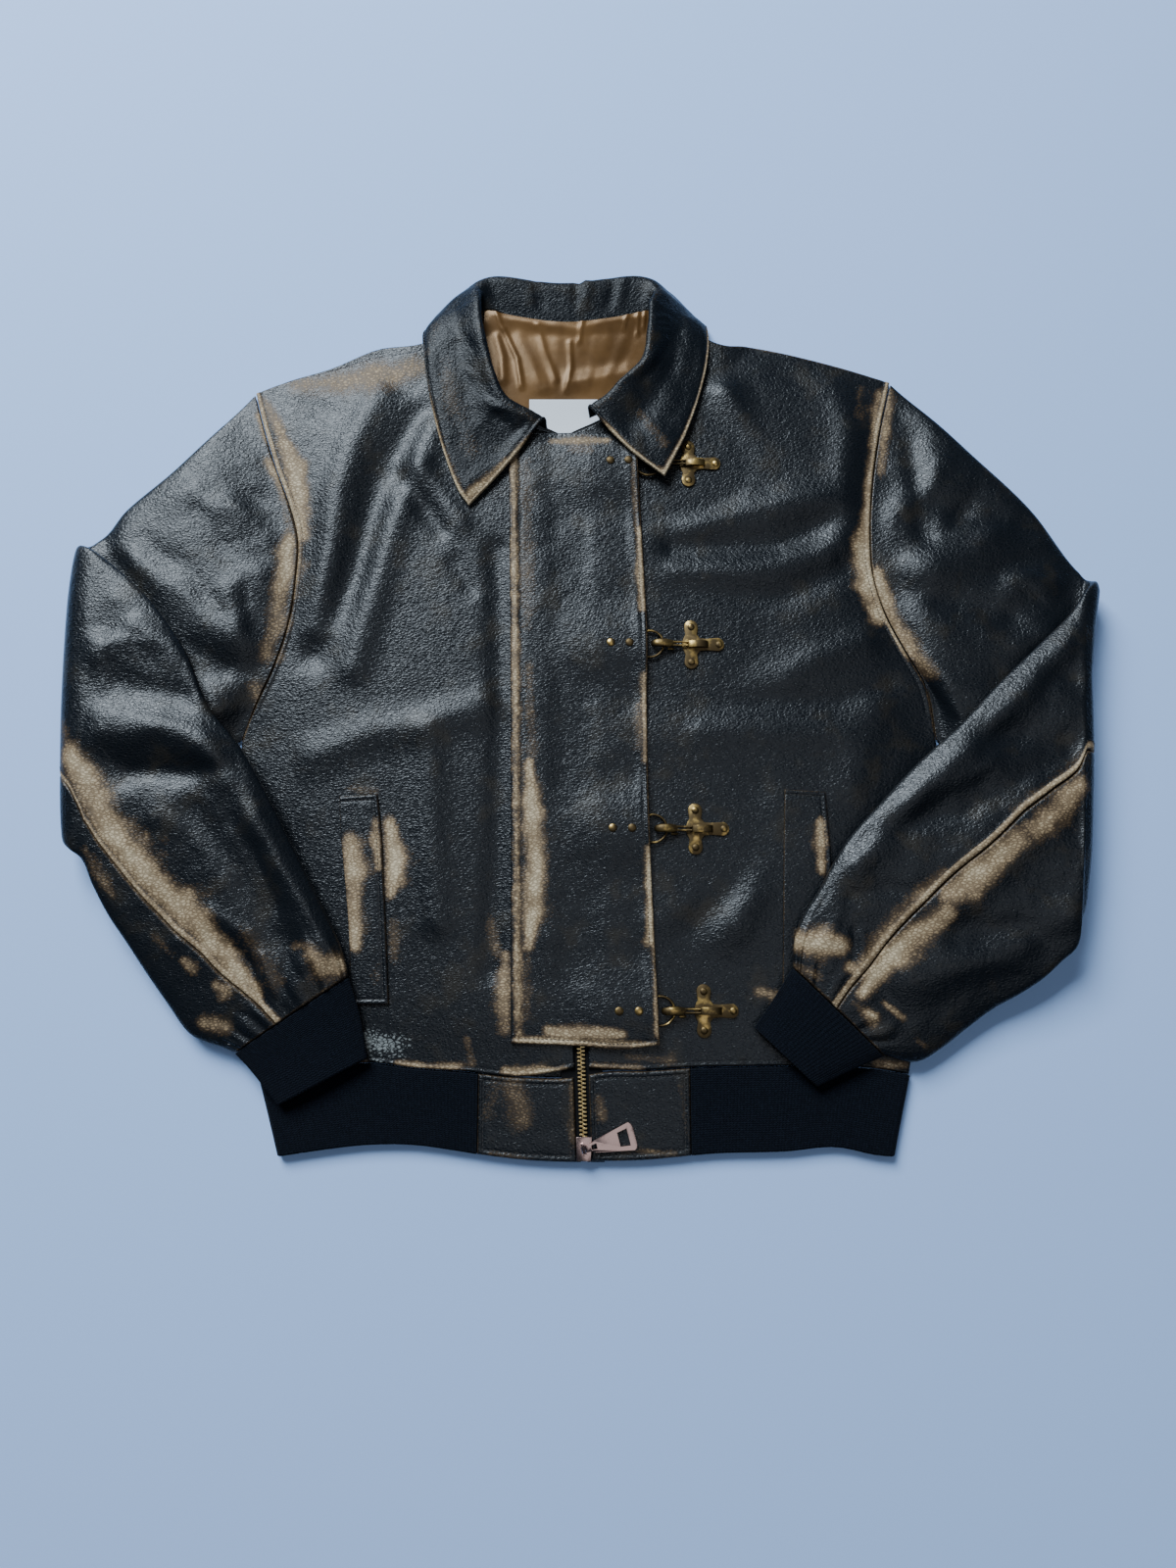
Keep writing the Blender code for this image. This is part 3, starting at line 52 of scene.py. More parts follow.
CENTRE = (-3.48, 79.3)  # the middle of the laid jacket, which is the frame's origin

# %% [markdown]
# ## Camera
#
# The photograph looks down at the sheet from about a metre, with the camera leaning ten degrees towards
# the collar, so the jacket's upper part looks slightly smaller. A real camera is set up the same way: its
# place, its lean, and a lens that takes in the whole sheet.

# %% Camera
CAMERA_AT = (0.0, -166.7, 955.4)
CAMERA_LEAN = math.radians(10)
lens = bpy.data.cameras.new("camera")
lens.sensor_width = 36.0
lens.lens = 27.0
camera = bpy.data.objects.new("camera", lens)
camera.location = ((CAMERA_AT[0] - CENTRE[0]) * MM, (CAMERA_AT[1] - CENTRE[1]) * MM, CAMERA_AT[2] * MM)
camera.rotation_euler = (CAMERA_LEAN, 0, 0)
bpy.context.scene.collection.objects.link(camera)
bpy.context.scene.camera = camera
print("camera at", tuple(round(c, 3) for c in camera.location))

# %% [markdown]
# ## Sheet and light
#
# The sheet is pale and plain. The light comes from a wide window up and to the left, so it is one large
# area light there. A weak one from the room and a weak sky all round fill the shadows.

# %% Sheet and light
WINDOW_AT, WINDOW_SIZE, WINDOW_POWER = (-1.4, 2.5, 2.5), 2.0, 285.0
ROOM_AT, ROOM_SIZE, ROOM_POWER = (0.45, -0.45, 2.4), 1.7, 9.0


def window(name, place, size, power, colour):
    """A square light that faces the jacket."""
    light = bpy.data.lights.new(name, "AREA")
    light.shape = "SQUARE"
    light.size = size
    light.energy = power
    light.color = colour
    made = bpy.data.objects.new(name, light)
    made.location = place
    made.rotation_euler = (-Vector(place)).to_track_quat("-Z", "Y").to_euler()
    bpy.context.scene.collection.objects.link(made)


window("window", WINDOW_AT, WINDOW_SIZE, WINDOW_POWER, (0.80, 0.905, 1.0))
window("room", ROOM_AT, ROOM_SIZE, ROOM_POWER, (0.92, 0.95, 1.0))
sky = bpy.data.worlds.new("sky")
sky.use_nodes = True
sky.node_tree.nodes["Background"].inputs["Color"].default_value = (0.62, 0.76, 1.0, 1)
sky.node_tree.nodes["Background"].inputs["Strength"].default_value = 0.065
bpy.context.scene.world = sky

# %% [markdown]
# ## Writing shader maths
#
# A material's pattern is a small sum: a mask, times a strength, plus another mask. In Blender each step is
# a Math node. The class below wraps a socket, so that the sum can be written as in plain Python and adds
# its own nodes. Everything else comes from one method that makes any node.

# %% Shader helpers


class Wire:
    """One output socket, on which sums are written as in plain Python."""

    def __init__(self, tree, socket):
        self.tree, self.socket = tree, socket

    def maths(self, operation, *values):
        made = self.tree.nodes.new("ShaderNodeMath")
        made.operation = operation
        for place, value in zip(made.inputs, values):
            plug(self.tree, place, value)
        return Wire(self.tree, made.outputs[0])

    def __add__(self, other):
        return self.maths("ADD", self, other)

    def __sub__(self, other):
        return self.maths("SUBTRACT", self, other)

    def __rsub__(self, other):
        return self.maths("SUBTRACT", other, self)

    def __mul__(self, other):
        return self.maths("MULTIPLY", self, other)

    def __pow__(self, power):
        return self.maths("POWER", self, power)

    __radd__, __rmul__ = __add__, __mul__

    def size(self):
        return self.maths("ABSOLUTE", self)

    def fraction(self):
        return self.maths("FRACT", self)

    def sine(self):
        return self.maths("SINE", self)

    def most(self, other):
        return self.maths("MAXIMUM", self, other)

    def rise(self, low, high):
        """0 below low, 1 above high, and a soft slope between them."""
        made = self.tree.nodes.new("ShaderNodeMapRange")
        made.interpolation_type = "SMOOTHSTEP"
        for place, value in (("Value", self), ("From Min", low), ("From Max", high)):
            plug(self.tree, made.inputs[place], value)
        return Wire(self.tree, made.outputs[0])


def plug(tree, place, value):
    if isinstance(value, Wire):
        tree.links.new(value.socket, place)
    else:
        place.default_value = value


class Finish:
    """A material in the making, on one Principled shader."""

    def __init__(self, name, fixed=()):
        self.material = bpy.data.materials.new(name)
        self.material.use_nodes = True
        self.tree = self.material.node_tree
        self.shader = self.tree.nodes["Principled BSDF"]
        for place, value in dict(fixed).items():
            self.shader.inputs[place].default_value = value

    def node(self, kind, settings=(), sockets=(), out=0):
        """Any node: its settings are set first, then its sockets are filled or linked."""
        made = self.tree.nodes.new("ShaderNode" + kind)
        for name, value in dict(settings).items():
            setattr(made, name, value)
        for place, value in dict(sockets).items():
            plug(self.tree, made.inputs[place], value)
        return Wire(self.tree, made.outputs[out])

    def ramp(self, value, stops):
        made = self.tree.nodes.new("ShaderNodeValToRGB")
        while len(made.color_ramp.elements) < len(stops):
            made.color_ramp.elements.new(0.5)
        for element, (place, colour) in zip(made.color_ramp.elements, stops):
            element.position, element.color = place, (*colour, 1)
        plug(self.tree, made.inputs[0], value)
        return Wire(self.tree, made.outputs[0])

    def blend(self, share, first, second):
        """The second colour over the first by share."""
        first, second = ((*c, 1) if isinstance(c, tuple) else c for c in (first, second))
        return self.node("Mix", {"data_type": "RGBA"}, {0: share, 6: first, 7: second}, out=2)

    def noise(self, place, scale, detail=2.0, rough=0.5):
        sockets = {"Vector": place, "Scale": scale, "Detail": detail, "Roughness": rough}
        return self.node("TexNoise", {}, sockets)

    def cells(self, place, scale):
        """0 on the creases between random cells of leather grain, rising to 1 on top of each."""
        edge = self.node("TexVoronoi", {"feature": "DISTANCE_TO_EDGE"}, {"Vector": place, "Scale": scale})
        return edge.rise(0.0, 0.32)

    def finish(self, colour, roughness, height):
        """Links what varies. Height is in metres."""
        bump = self.node("Bump", {}, {"Height": height, "Distance": 1.0, "Strength": 1.0})
        for place, value in (("Normal", bump), ("Base Color", colour), ("Roughness", roughness)):
            plug(self.tree, self.shader.inputs[place], value)
        print("finish:", self.material.name)
        return self.material


# %% [markdown]
# ## Leather
#
# The hide is black on the surface only. Its grain is small pebbles with fine creases between them, and
# the light catches each pebble. Where it rubs, the black goes first from the tops of the pebbles, then
# brown shows, then tan, and at last a pale beige. Each piece carries an attribute, wear, from 0 to 1 at
# every point, and noise breaks its borders up, so that the rubbed places end in specks. A second
# attribute marks a rubbed patch near the front hem where the pebble tops are painted pale silver: a
# painted highlight that stands for the glints of the light there.

# %% Leather
BLACK, VEIL = (0.0045, 0.0060, 0.0082), (0.017, 0.014, 0.010)
WORN_BROWN, WORN_TAN, WORN_BEIGE = (0.060, 0.038, 0.020), (0.29, 0.20, 0.110), (0.60, 0.48, 0.31)
CREASE = (0.030, 0.021, 0.014)
# A pale silver painted on the pebble tops of one patch: a painted highlight that stands for the glints of the
# light on the grain.
PAINTED_GLINT = (0.20, 0.215, 0.21)


def make_leather(name, gloss):
    hide = Finish(name, {"Specular IOR Level": gloss})
    spot = hide.node("TexCoord", out="Object")
    drift = hide.node("TexNoise", {}, {"Vector": spot, "Scale": 300.0, "Detail": 2.0}, out="Color")
    bent = hide.node("VectorMath", {"operation": "MULTIPLY_ADD"}, {0: drift, 1: (0.0022,) * 3, 2: spot})
    grain = hide.node("Mapping", {}, {"Vector": bent, "Rotation": (0, 0, 0.25), "Scale": (0.72, 1.25, 1.0)})
    pebbles, fine = hide.cells(grain, 380.0), hide.cells(bent, 1100.0)
    wrinkle = (1 - (hide.noise(spot, 75.0, 4.0, 0.6) * 2 - 1).size() * 5.0).most(0.0) ** 1.5
    speckle = hide.noise(spot, 330.0, 5.0, 0.66)
    cloud = hide.noise(spot, 34.0, 3.0, 0.55)
    wear = hide.node("Attribute", {"attribute_name": "wear"}, out="Fac")
    painted_glint = hide.node("Attribute", {"attribute_name": "painted_glint"}, out="Fac")
    uneven = (speckle - 0.5) * 0.16 + (cloud - 0.5) * 0.46 + (pebbles - 0.7) * 0.16
    rubbed = wear + uneven * wear.rise(0.0, 0.25)
    colour = hide.ramp(rubbed, [(0.18, BLACK), (0.42, WORN_BROWN), (0.66, WORN_TAN), (0.98, WORN_BEIGE)])
    dull = rubbed.rise(0.25, 0.65)
    colour = hide.blend(cloud.rise(0.52, 0.72) * (1 - dull) * 0.7, colour, VEIL)
    colour = hide.blend((1 - pebbles) * dull * 0.36, colour, CREASE)
    # Painted highlight: where the second attribute is high, the pebble tops and specks turn pale silver, as
    # glints of light.
    glint_share = (painted_glint + (speckle - 0.5) * 1.3 + (pebbles - 0.7) * 0.5).rise(0.4, 0.8)
    colour = hide.blend(glint_share, colour, PAINTED_GLINT)
    roughness = 0.20 + cloud * 0.08 + dull * 0.28 + (1 - pebbles) * 0.12
    height = pebbles * 0.00013 + fine * 0.000015 - wrinkle * 0.00012 + cloud * 0.0006
    return hide.finish(colour, roughness, height)


leather = make_leather("leather", 0.34)
# The collar's copy of the leather has weaker reflections as painted shade: it keeps the collar darker than
# the light on it makes it.
shaded_collar_leather = make_leather("collar leather painted shade", 0.15)  # more matt than the rest

# %% [markdown]
# ## Knit, satin, label and tape
#
# The knitted band and cuffs are ribbed in their mesh, and each rib is a column of small V-shaped loops,
# which a shader draws along the piece's own UV map, in metres. The satin's threads are too fine to see,
# so it gets only a soft shine and faint streaks. The label and the zip's tape show a plain weave.

# %% Knit, satin, label and tape
RIB_PITCH, LOOP_PITCH = 2.6, 1.7


def uv_parts(finish):
    """Across and along on the piece's UV map, in metres."""
    parts = finish.tree.nodes.new("ShaderNodeSeparateXYZ")
    plug(finish.tree, parts.inputs[0], finish.node("UVMap", {"uv_map": "weave"}))
    return [Wire(finish.tree, parts.outputs[i]) for i in (0, 1)]


def make_knit():
    wool = Finish("rib knit", {"Sheen Weight": 0.03, "Sheen Roughness": 0.5, "Specular IOR Level": 0.1})
    across, along = uv_parts(wool)
    lean = ((across * (1 / (RIB_PITCH * MM))).fraction() - 0.5).size()
    loops = ((along * (1 / (LOOP_PITCH * MM)) + lean * 0.9) * 2 * math.pi).sine()
    spot = wool.node("TexCoord", out="Object")
    fuzz = wool.noise(spot, 900.0, 3.0, 0.7)
    colour = wool.blend(fuzz.rise(0.35, 0.75), (0.0012, 0.0020, 0.0045), (0.006, 0.009, 0.016))
    height = loops * 0.00016 + fuzz * 0.00025
    return wool.finish(colour, 0.88 + fuzz * 0.08, height)


def make_satin():
    silk = Finish("satin", {"Specular IOR Level": 0.55, "Specular Tint": (1.0, 0.66, 0.38, 1.0)})
    spot = silk.node("TexCoord", out="Object")
    streaks = silk.node("Mapping", {}, {"Vector": spot, "Scale": (1.0, 0.18, 1.0)})
    thread = silk.noise(streaks, 2400.0, 2.0, 0.6)
    cloud = silk.noise(spot, 30.0, 3.0, 0.6)
    colour = silk.blend(cloud.rise(0.3, 0.7), (0.062, 0.029, 0.009), (0.112, 0.056, 0.019))
    return silk.finish(colour, 0.28 + thread * 0.10, thread * 0.00004 + cloud * 0.0004)


def make_woven(name, gloss, pitch, low, high, roughness, depth):
    """A plain weave on the UV map: threads go over and under each other."""
    woven = Finish(name, {"Specular IOR Level": gloss})
    warp, weft = (part * (math.pi / (pitch * MM)) for part in uv_parts(woven))
    threads = warp.sine() * weft.sine()
    colour = woven.blend(threads.rise(-1.0, 1.0), low, high)
    return woven.finish(colour, roughness + threads * 0.05, threads * depth)


knit, satin = make_knit(), make_satin()
label_cloth = make_woven("label cloth", 0.4, 0.55, (0.62, 0.66, 0.72), (0.80, 0.83, 0.88), 0.6, 0.00005)
tape_cloth = make_woven("zip tape", 0.15, 0.7, (0.0015, 0.0015, 0.002), (0.006, 0.006, 0.007), 0.8, 0.0001)

# %% [markdown]
# ## Metals and thread
#
# The clasps and rivets are old brass: gold where fingers polish them, and brown to black elsewhere. The
# zip's teeth are paler, and its slider and pull are polished with a faint rose tint. The thread is a dark
# waxed one, which shows on the rubbed leather.

# %% Metals and thread


def make_metal(name, bright, dark, patina, roughness):
    """Metal that is bright, with a darker bloom over a share of it, and fine scratches."""
    metal = Finish(name, {"Metallic": 1.0})
    spot = metal.node("TexCoord", out="Object")
    bloom = metal.noise(spot, 120.0, 3.0, 0.5).rise(0.60 - patina, 0.84 - patina)
    scratch = metal.noise(metal.node("Mapping", {}, {"Vector": spot, "Scale": (1.0, 9.0, 3.0)}), 900.0, 2.0)
    colour = metal.blend(bloom, bright, dark)
    return metal.finish(colour, roughness + bloom * 0.22 + scratch * 0.08, scratch * 0.000008)


old_brass = make_metal("old brass", (0.52, 0.35, 0.12), (0.09, 0.062, 0.03), 0.30, 0.25)
zip_brass = make_metal("zip brass", (0.45, 0.34, 0.16), (0.16, 0.11, 0.05), 0.12, 0.26)
polished = make_metal("polished metal", (0.46, 0.32, 0.29), (0.22, 0.15, 0.14), 0.05, 0.18)


def make_thread():
    waxed = Finish("thread", {"Specular IOR Level": 0.4})
    spot = waxed.node("TexCoord", out="Object")
    strands = waxed.noise(spot, 2600.0, 2.0)
    colour = waxed.blend(strands.rise(0.3, 0.7), (0.012, 0.011, 0.011), (0.050, 0.043, 0.038))
    return waxed.finish(colour, 0.5 + strands * 0.2, strands * 0.00005)


thread = make_thread()


def make_sheet_cloth():
    pale = Finish("pale sheet")
    threads = pale.noise(pale.node("TexCoord", out="Object"), 1400.0)
    return pale.finish(pale.blend(threads, (0.37, 0.555, 0.95), (0.455, 0.64, 1.0)), 0.85, threads * 0.00005)


SHEET_WIDTH = 6.0
bpy.ops.mesh.primitive_plane_add(size=SHEET_WIDTH, location=(0, 0, -0.0002))
bed_sheet = bpy.context.object
bed_sheet.name = "bed_sheet"
bed_sheet.data.materials.append(make_sheet_cloth())

# %% [markdown]
# ## Lines and panels
#
# A maker draws each piece from a few border lines. A Curve is a smooth line through its points, and a
# patch is the panel between four of them. Folds are soft ridges along a line, added to a height.

# %% Lines and panels


def slopes_through(points, gaps):
    """The slope at each point, between the slopes of the runs before and after it."""
    slopes = np.diff(points, axis=0) / gaps
    inner = (gaps[1:] * slopes[:-1] + gaps[:-1] * slopes[1:]) / (gaps[1:] + gaps[:-1])
    return np.concatenate([slopes[:1], inner, slopes[-1:]])


def run_of(marks, place):
    """The run between two marks that each place is in, its length, and the place's share of it."""
    i = np.clip(np.searchsorted(marks, place, side="right") - 1, 0, len(marks) - 2)
    gap = marks[i + 1] - marks[i]
    return i, gap[..., None], ((place - marks[i]) / gap)[..., None]


def glide(start, end, leave, arrive, x):
    """From start to end, with the slopes that it leaves and arrives with."""
    return (start * (1 + 2 * x) * (1 - x) ** 2 + leave * x * (1 - x) ** 2
            + end * x ** 2 * (3 - 2 * x) + arrive * x ** 2 * (x - 1))


class Curve:
    """A smooth line through its points. A place on it runs from 0 to 1, by length unless marks are given."""

    def __init__(self, points, marks=None):
        self.points = np.array(points, float)
        steps = np.linalg.norm(np.diff(self.points, axis=0), axis=1)
        self.marks = np.r_[0, np.cumsum(steps)] / steps.sum() if marks is None else np.array(marks, float)
        self.slopes = slopes_through(self.points, np.diff(self.marks)[:, None])

    def at(self, place):
        i, gap, x = run_of(self.marks, np.clip(np.asarray(place, float), 0, 1))
        return glide(self.points[i], self.points[i + 1], self.slopes[i] * gap, self.slopes[i + 1] * gap, x)


def unit(vectors):
    return vectors / np.linalg.norm(vectors, axis=1)[:, None]


def left_of(line):
    """The direction to the left of a line at each of its points."""
    ahead = np.gradient(line, axis=0)
    return unit(np.column_stack([-ahead[:, 1], ahead[:, 0]]))


def distance(x, y, line):
    """How far each point lies from a line of straight runs."""
    nearest = np.full(np.shape(x), np.inf)
    for (ax, ay), (bx, by) in zip(line, line[1:]):
        along = ((x - ax) * (bx - ax) + (y - ay) * (by - ay)) / ((bx - ax) ** 2 + (by - ay) ** 2)
        along = np.clip(along, 0, 1)
        nearest = np.minimum(nearest, np.hypot(x - ax - along * (bx - ax), y - ay - along * (by - ay)))
    return nearest


def x_on(line, y):
    """The x of a line that runs up the jacket, at each height y."""
    xs, ys = zip(*line)
    return np.interp(y, ys, xs)


def points_of(numbers, size=2):
    """The points in a row of numbers, each of this many."""
    return np.reshape(numbers, (-1, size))


def smooth(low, high, value):
    """0 below low, 1 above high, and a soft slope between them."""
    t = np.clip((value - low) / (high - low), 0, 1)
    return t * t * (3 - 2 * t)


def folds(x, y, lines):
    """The height that soft ridges and troughs add. Each is its height, its width and its line's points."""
    return sum(height * np.exp(-(distance(x, y, points_of(line)) / width) ** 2)
               for height, width, *line in lines)


def patch(left, right, bottom, top):
    """A panel between four border curves, as a function of u across and v up it."""
    corners = [c.at(0) for c in (left, right)] + [c.at(1) for c in (left, right)]

    def point(u, v):
        across, up = u[:, None], v[:, None]
        flat = ((1 - up) * ((1 - across) * corners[0] + across * corners[1])
                + up * ((1 - across) * corners[2] + across * corners[3]))
        return ((1 - across) * left.at(v) + across * right.at(v)
                + (1 - up) * bottom.at(u) + up * top.at(u) - flat)

    return point


def mottle(x, y, size, seed):
    """Soft random hills and hollows about size across, from -1 to 1."""
    draw = np.random.default_rng(seed).uniform(-1, 1, (256, 256))
    i, j = np.floor(x / size).astype(int), np.floor(y / size).astype(int)
    across, up = x / size - i, y / size - j
    across, up = across * across * (3 - 2 * across), up * up * (3 - 2 * up)
    low = draw[i % 256, j % 256] * (1 - across) + draw[(i + 1) % 256, j % 256] * across
    high = draw[i % 256, (j + 1) % 256] * (1 - across) + draw[(i + 1) % 256, (j + 1) % 256] * across
    return low * (1 - up) + high * up


def crimps(x, y, lines):
    """Folds with narrow crests, which wander and come and go as they do in real leather."""
    x1 = x + 6 * mottle(x, y, 41, 81) + 2.5 * mottle(x, y, 17, 83)
    y1 = y + 6 * mottle(x, y, 43, 85) + 2.5 * mottle(x, y, 16, 87)
    share = 0.85 + 0.5 * mottle(x, y, 38, 89)
    return share * sum(height / (1 + (distance(x1, y1, points_of(line)) / (1.25 * width)) ** 2) ** 2
                       for height, width, *line in lines)


def fine_creases(x, y, lean=0.0):
    """The soft swells and faint creases of leather that has been worn for years."""
    a = x * math.cos(lean) + y * math.sin(lean)
    b = y * math.cos(lean) - x * math.sin(lean)
    swell = 1.3 * mottle(a, b, 44, 3) + 0.6 * mottle(a, b * 1.5, 21, 5) + 0.16 * mottle(a, b * 1.6, 9, 9)
    return swell - 0.16 * (1 - np.abs(mottle(a, b * 1.8, 23, 7))) ** 6


# %% [markdown]
# ## The laid jacket's outline and heights
#
# These are the same driving sizes as in the solids: the outline of the body, the seams, and how high the
# cloth lies. The folds of the fronts are ridges and troughs placed one by one from the photograph.

# %% Outline and heights
LEATHER = 2.2
COLLAR_WALL = 2.4
KNIT_WALL = 2.5
SATIN_WALL = 1.2
SEAM = 0.5  # between two pieces that are sewn together
LAID = 0.4  # between two pieces that lie on each other
SHOULDER_TIP_R, SHOULDER_TIP_L = (-290, 347), (264, 357)
ARMPIT_R, ARMPIT_L = (-286, 37), (288, 38)
HEM_CORNER_R, HEM_CORNER_L = (-259, -231), (253, -231)
ARMHOLE_R = [ARMPIT_R, (-276, 66), (-262, 100), (-251, 140), (-247, 180), (-247, 212),
             (-256, 244), (-269, 278), (-282, 318), SHOULDER_TIP_R]
ARMHOLE_L = [ARMPIT_L, (281, 82), (264, 115), (250, 145), (241, 180), (240, 215),
             (244, 262), (252, 308), SHOULDER_TIP_L]
SIDE_R = [HEM_CORNER_R, (-268, -150), (-277, -60), ARMPIT_R]
SIDE_L = [HEM_CORNER_L, (268, -160), (279, -70), ARMPIT_L]
NECK_POINT_R, NECK_POINT_L = (-98, 424), (64, 419)
SHOULDER_R = [SHOULDER_TIP_R, (-262, 358), (-225, 368), (-185, 381), (-143, 388), NECK_POINT_R]
SHOULDER_L = [NECK_POINT_L, (104, 397), (121, 391), (140, 391), (175, 384), (222, 371), SHOULDER_TIP_L]
BACK_TOP_R = [SHOULDER_TIP_R, (-262, 360), (-225, 372), (-185, 390), (-143, 395), NECK_POINT_R]
BACK_NECK = [NECK_POINT_R, (-66, 413), (-20, 407.5), (32, 411), NECK_POINT_L]
FRONT_NECK_R = [NECK_POINT_R, (-99, 400), (-96, 375), (-87, 350), (-77, 329), (-58, 316), (-31, 307)]
FRONT_NECK_L = [(-12, 310), (8, 317), (24, 328), (42, 347), (55, 364), (59, 385), (61, 402), NECK_POINT_L]
ZIP_LINE = [(-21, 322), (-15, 168), (-10, -40), (-6, -200), (-3, -298)]
HEM_SEAM = [HEM_CORNER_R, (-215, -226), (-174, -222), (-139, -226), (-96, -229), (-54, -233), (-12, -233),
            (10, -229), (46, -228), (77, -226), (124, -225), (190, -225), (228, -227), HEM_CORNER_L]
ZIP_HALF = 5.5  # from the middle of the zip to each leather edge
ZIP_TOP, ZIP_FLAT = 9.4, 18.0  # height of the fronts beside the zip, and how far they stay level
EDGE_TOP = 4.9  # top of the front where it meets the back at a side or a shoulder
BODY_RISE = 6.0
BODY_RISE_WIDTH = 34.0
ARMHOLE_DIP, ARMHOLE_DIP_WIDTH = 2.6, 22.0
HEM_DIP, HEM_DIP_WIDTH = 2.2, 30.0
COLLAR_LIFT = 2.9  # the back is this high where it lies on the collar
COLLAR_FALL_EDGE_Y = 368.0
FRONT_FOLDS = [
    (4.5, 15, -182, 345, -202, 299, -213, 254, -219, 193, -225, 133),
    (-4.0, 14, -144, 326, -176, 272, -186, 228, -197, 184, -228, 110),
    (3.5, 13, -135, 312, -150, 262, -166, 219, -195, 99), (-2.5, 9, -163, 268, -125, 219),
    (3.0, 10, -142, 276, -110, 226), (-2.0, 8, -112, 189, -99, 167),
    (3.0, 15, -225, 24, -180, 42, -137, 49, -85, 66), (3.0, 13, -131, 44, -127, -48, -120, -110),
    (-3.0, 11, -78, 200, -74, 120, -72, 40, -74, -80, -78, -150), (-3.0, 11, -242, 336, -232, 330),
    (-2.5, 10, -168, 352, -158, 350), (5.0, 13, 119, 345, 139, 290, 130, 250, 95, 232),
    (4.5, 14, 85, 232, 130, 237, 195, 246), (-3.5, 12, 72, 204, 158, 206, 208, 228),
    (3.0, 13, 75, 176, 140, 182, 200, 196), (-3.0, 12, 70, 150, 165, 160, 215, 186),
    (3.0, 14, 92, 100, 163, 95, 230, 120), (-2.0, 10, 90, 72, 202, 70, 250, 84),
    (2.0, 12, 95, 44, 209, 41), (-3.5, 14, 132, -10, 112, -76, 82, -122, 66, -150),
    (3.0, 13, 148, -20, 130, -90, 108, -140), (-2.5, 11, 170, 366, 182, 362),
    (3.5, 14, 215, 355, 225, 310, 218, 262, 214, 210), (2.5, 16, 236, 60, 215, 0),
    (-4.0, 30, 250, -60, 215, -120, 196, -190), (-4.0, 30, -256, -60, -240, -120, -222, -190),
]
WELT_AREAS = [(-202, -157, -177, -9), (154, 196, -168, -5)]
WELTS = {
    "right": ([(-188, -177), (-190, -127), (-197, -64), (-200, -41), (-202, -11)],
              [(-157, -177), (-161, -119), (-164, -80), (-167, -41), (-171, -9)]),
    "left": ([(154, -168), (157, -80), (160, -5)], [(190, -168), (196, -60), (193, -7)]),
}
WELT_GAP, WELT_WALL = 0.9, 1.8
WELT_TOP = WELT_GAP + WELT_WALL
LABEL_LOW, LABEL_SIZE, LABEL_WALL = (-51.0, 309.0), (61.0, 31.0), 0.7
RIB_LOW, RIB_HIGH = 1.25, 7.45  # middle of the knit wall at the back and at the front
FLAP_LEFT = [(-60.5, -207), (-64, 82), (-68, 304)]
FLAP_RIGHT = [(56, -208), (53, -127), (49.5, -33), (48.5, 60), (49, 132), (46, 201), (41, 304)]
FLAP_FREE_EDGE = [(56, -208), (48.5, 60), (41, 304)]
FLAP_GAP = 0.8
FLAP_BOTTOM = [(-60.5, -207), (-8, -209), (31, -211.5), (56, -208)]
FLAP_TOP = [(-68, 304), (-15, 306), (41, 304)]
CLASPS = [(86, 279), (86, 118), (87, -37), (91.5, -182)]  # middle of each cross-shaped plate
SEAT_TOP = 9.0  # the front is pressed flat to this height under a clasp
SEAT_RADIUS, SEAT_EDGE = 76.0, 42.0
SEAT_STRETCH = 1.6  # the pressed place is this much longer across the jacket
FLAP_OVER_RING = 14.9  # underside of the flap where it lies on a ring and its strap
RING_OFFSET = -34.5
RING_RADIUS, RING_WIRE = 11.4, 1.1
RING_Z = SEAT_TOP + 2.95
FLAP_RIVET_OFFSETS = (-67.0, -51.5)
RIVET_RADIUS = 3.4
PLATE_THICK = 1.4
LUG_RADIUS = 5.8
BRIDGE_HALF, BRIDGE_WIDTH, BRIDGE_TALL = 9.4, 5.8, 4.6
LUG_REACH_Y, LUG_REACH_X = 15.2, 24.8


def zip_x(y):
    """The middle of the zip at each height up the jacket."""
    return x_on(ZIP_LINE[::-1], y)


def back_lift(x, y):
    """How far the back is raised by the collar that is folded behind the neck."""
    near = smooth(COLLAR_FALL_EDGE_Y - 62, COLLAR_FALL_EDGE_Y - 4, y)
    return COLLAR_LIFT * near * smooth(-186, -152, x) * smooth(-148, -114, -x)


def front_height(x, y):
    """Height of the outer face of the fronts."""
    seams = [SIDE_R, SIDE_L, SHOULDER_R, SHOULDER_L]
    from_edge = np.minimum.reduce([distance(x, y, seam) for seam in seams])
    rise = 1 - np.exp(-(from_edge / BODY_RISE_WIDTH) ** 1.3)
    height = EDGE_TOP + BODY_RISE * rise
    for armhole in (ARMHOLE_R, ARMHOLE_L):
        height -= ARMHOLE_DIP * rise * np.exp(-(distance(x, y, armhole) / ARMHOLE_DIP_WIDTH) ** 2)
    height -= HEM_DIP * rise * np.exp(-(distance(x, y, HEM_SEAM) / HEM_DIP_WIDTH) ** 2)
    height += rise * folds(x, y, FRONT_FOLDS)
    from_zip = np.abs(x - zip_x(y))
    height += (ZIP_TOP - height) * np.exp(-(from_zip / ZIP_FLAT) ** 4) * rise
    for seat_x, seat_y in CLASPS:
        away = np.hypot((x - seat_x + 18) / SEAT_STRETCH, y - seat_y)
        height += (SEAT_TOP - height) * (1 - smooth(SEAT_EDGE, SEAT_RADIUS, away))
    return np.maximum(height, EDGE_TOP + 1.1 * back_lift(x, y))


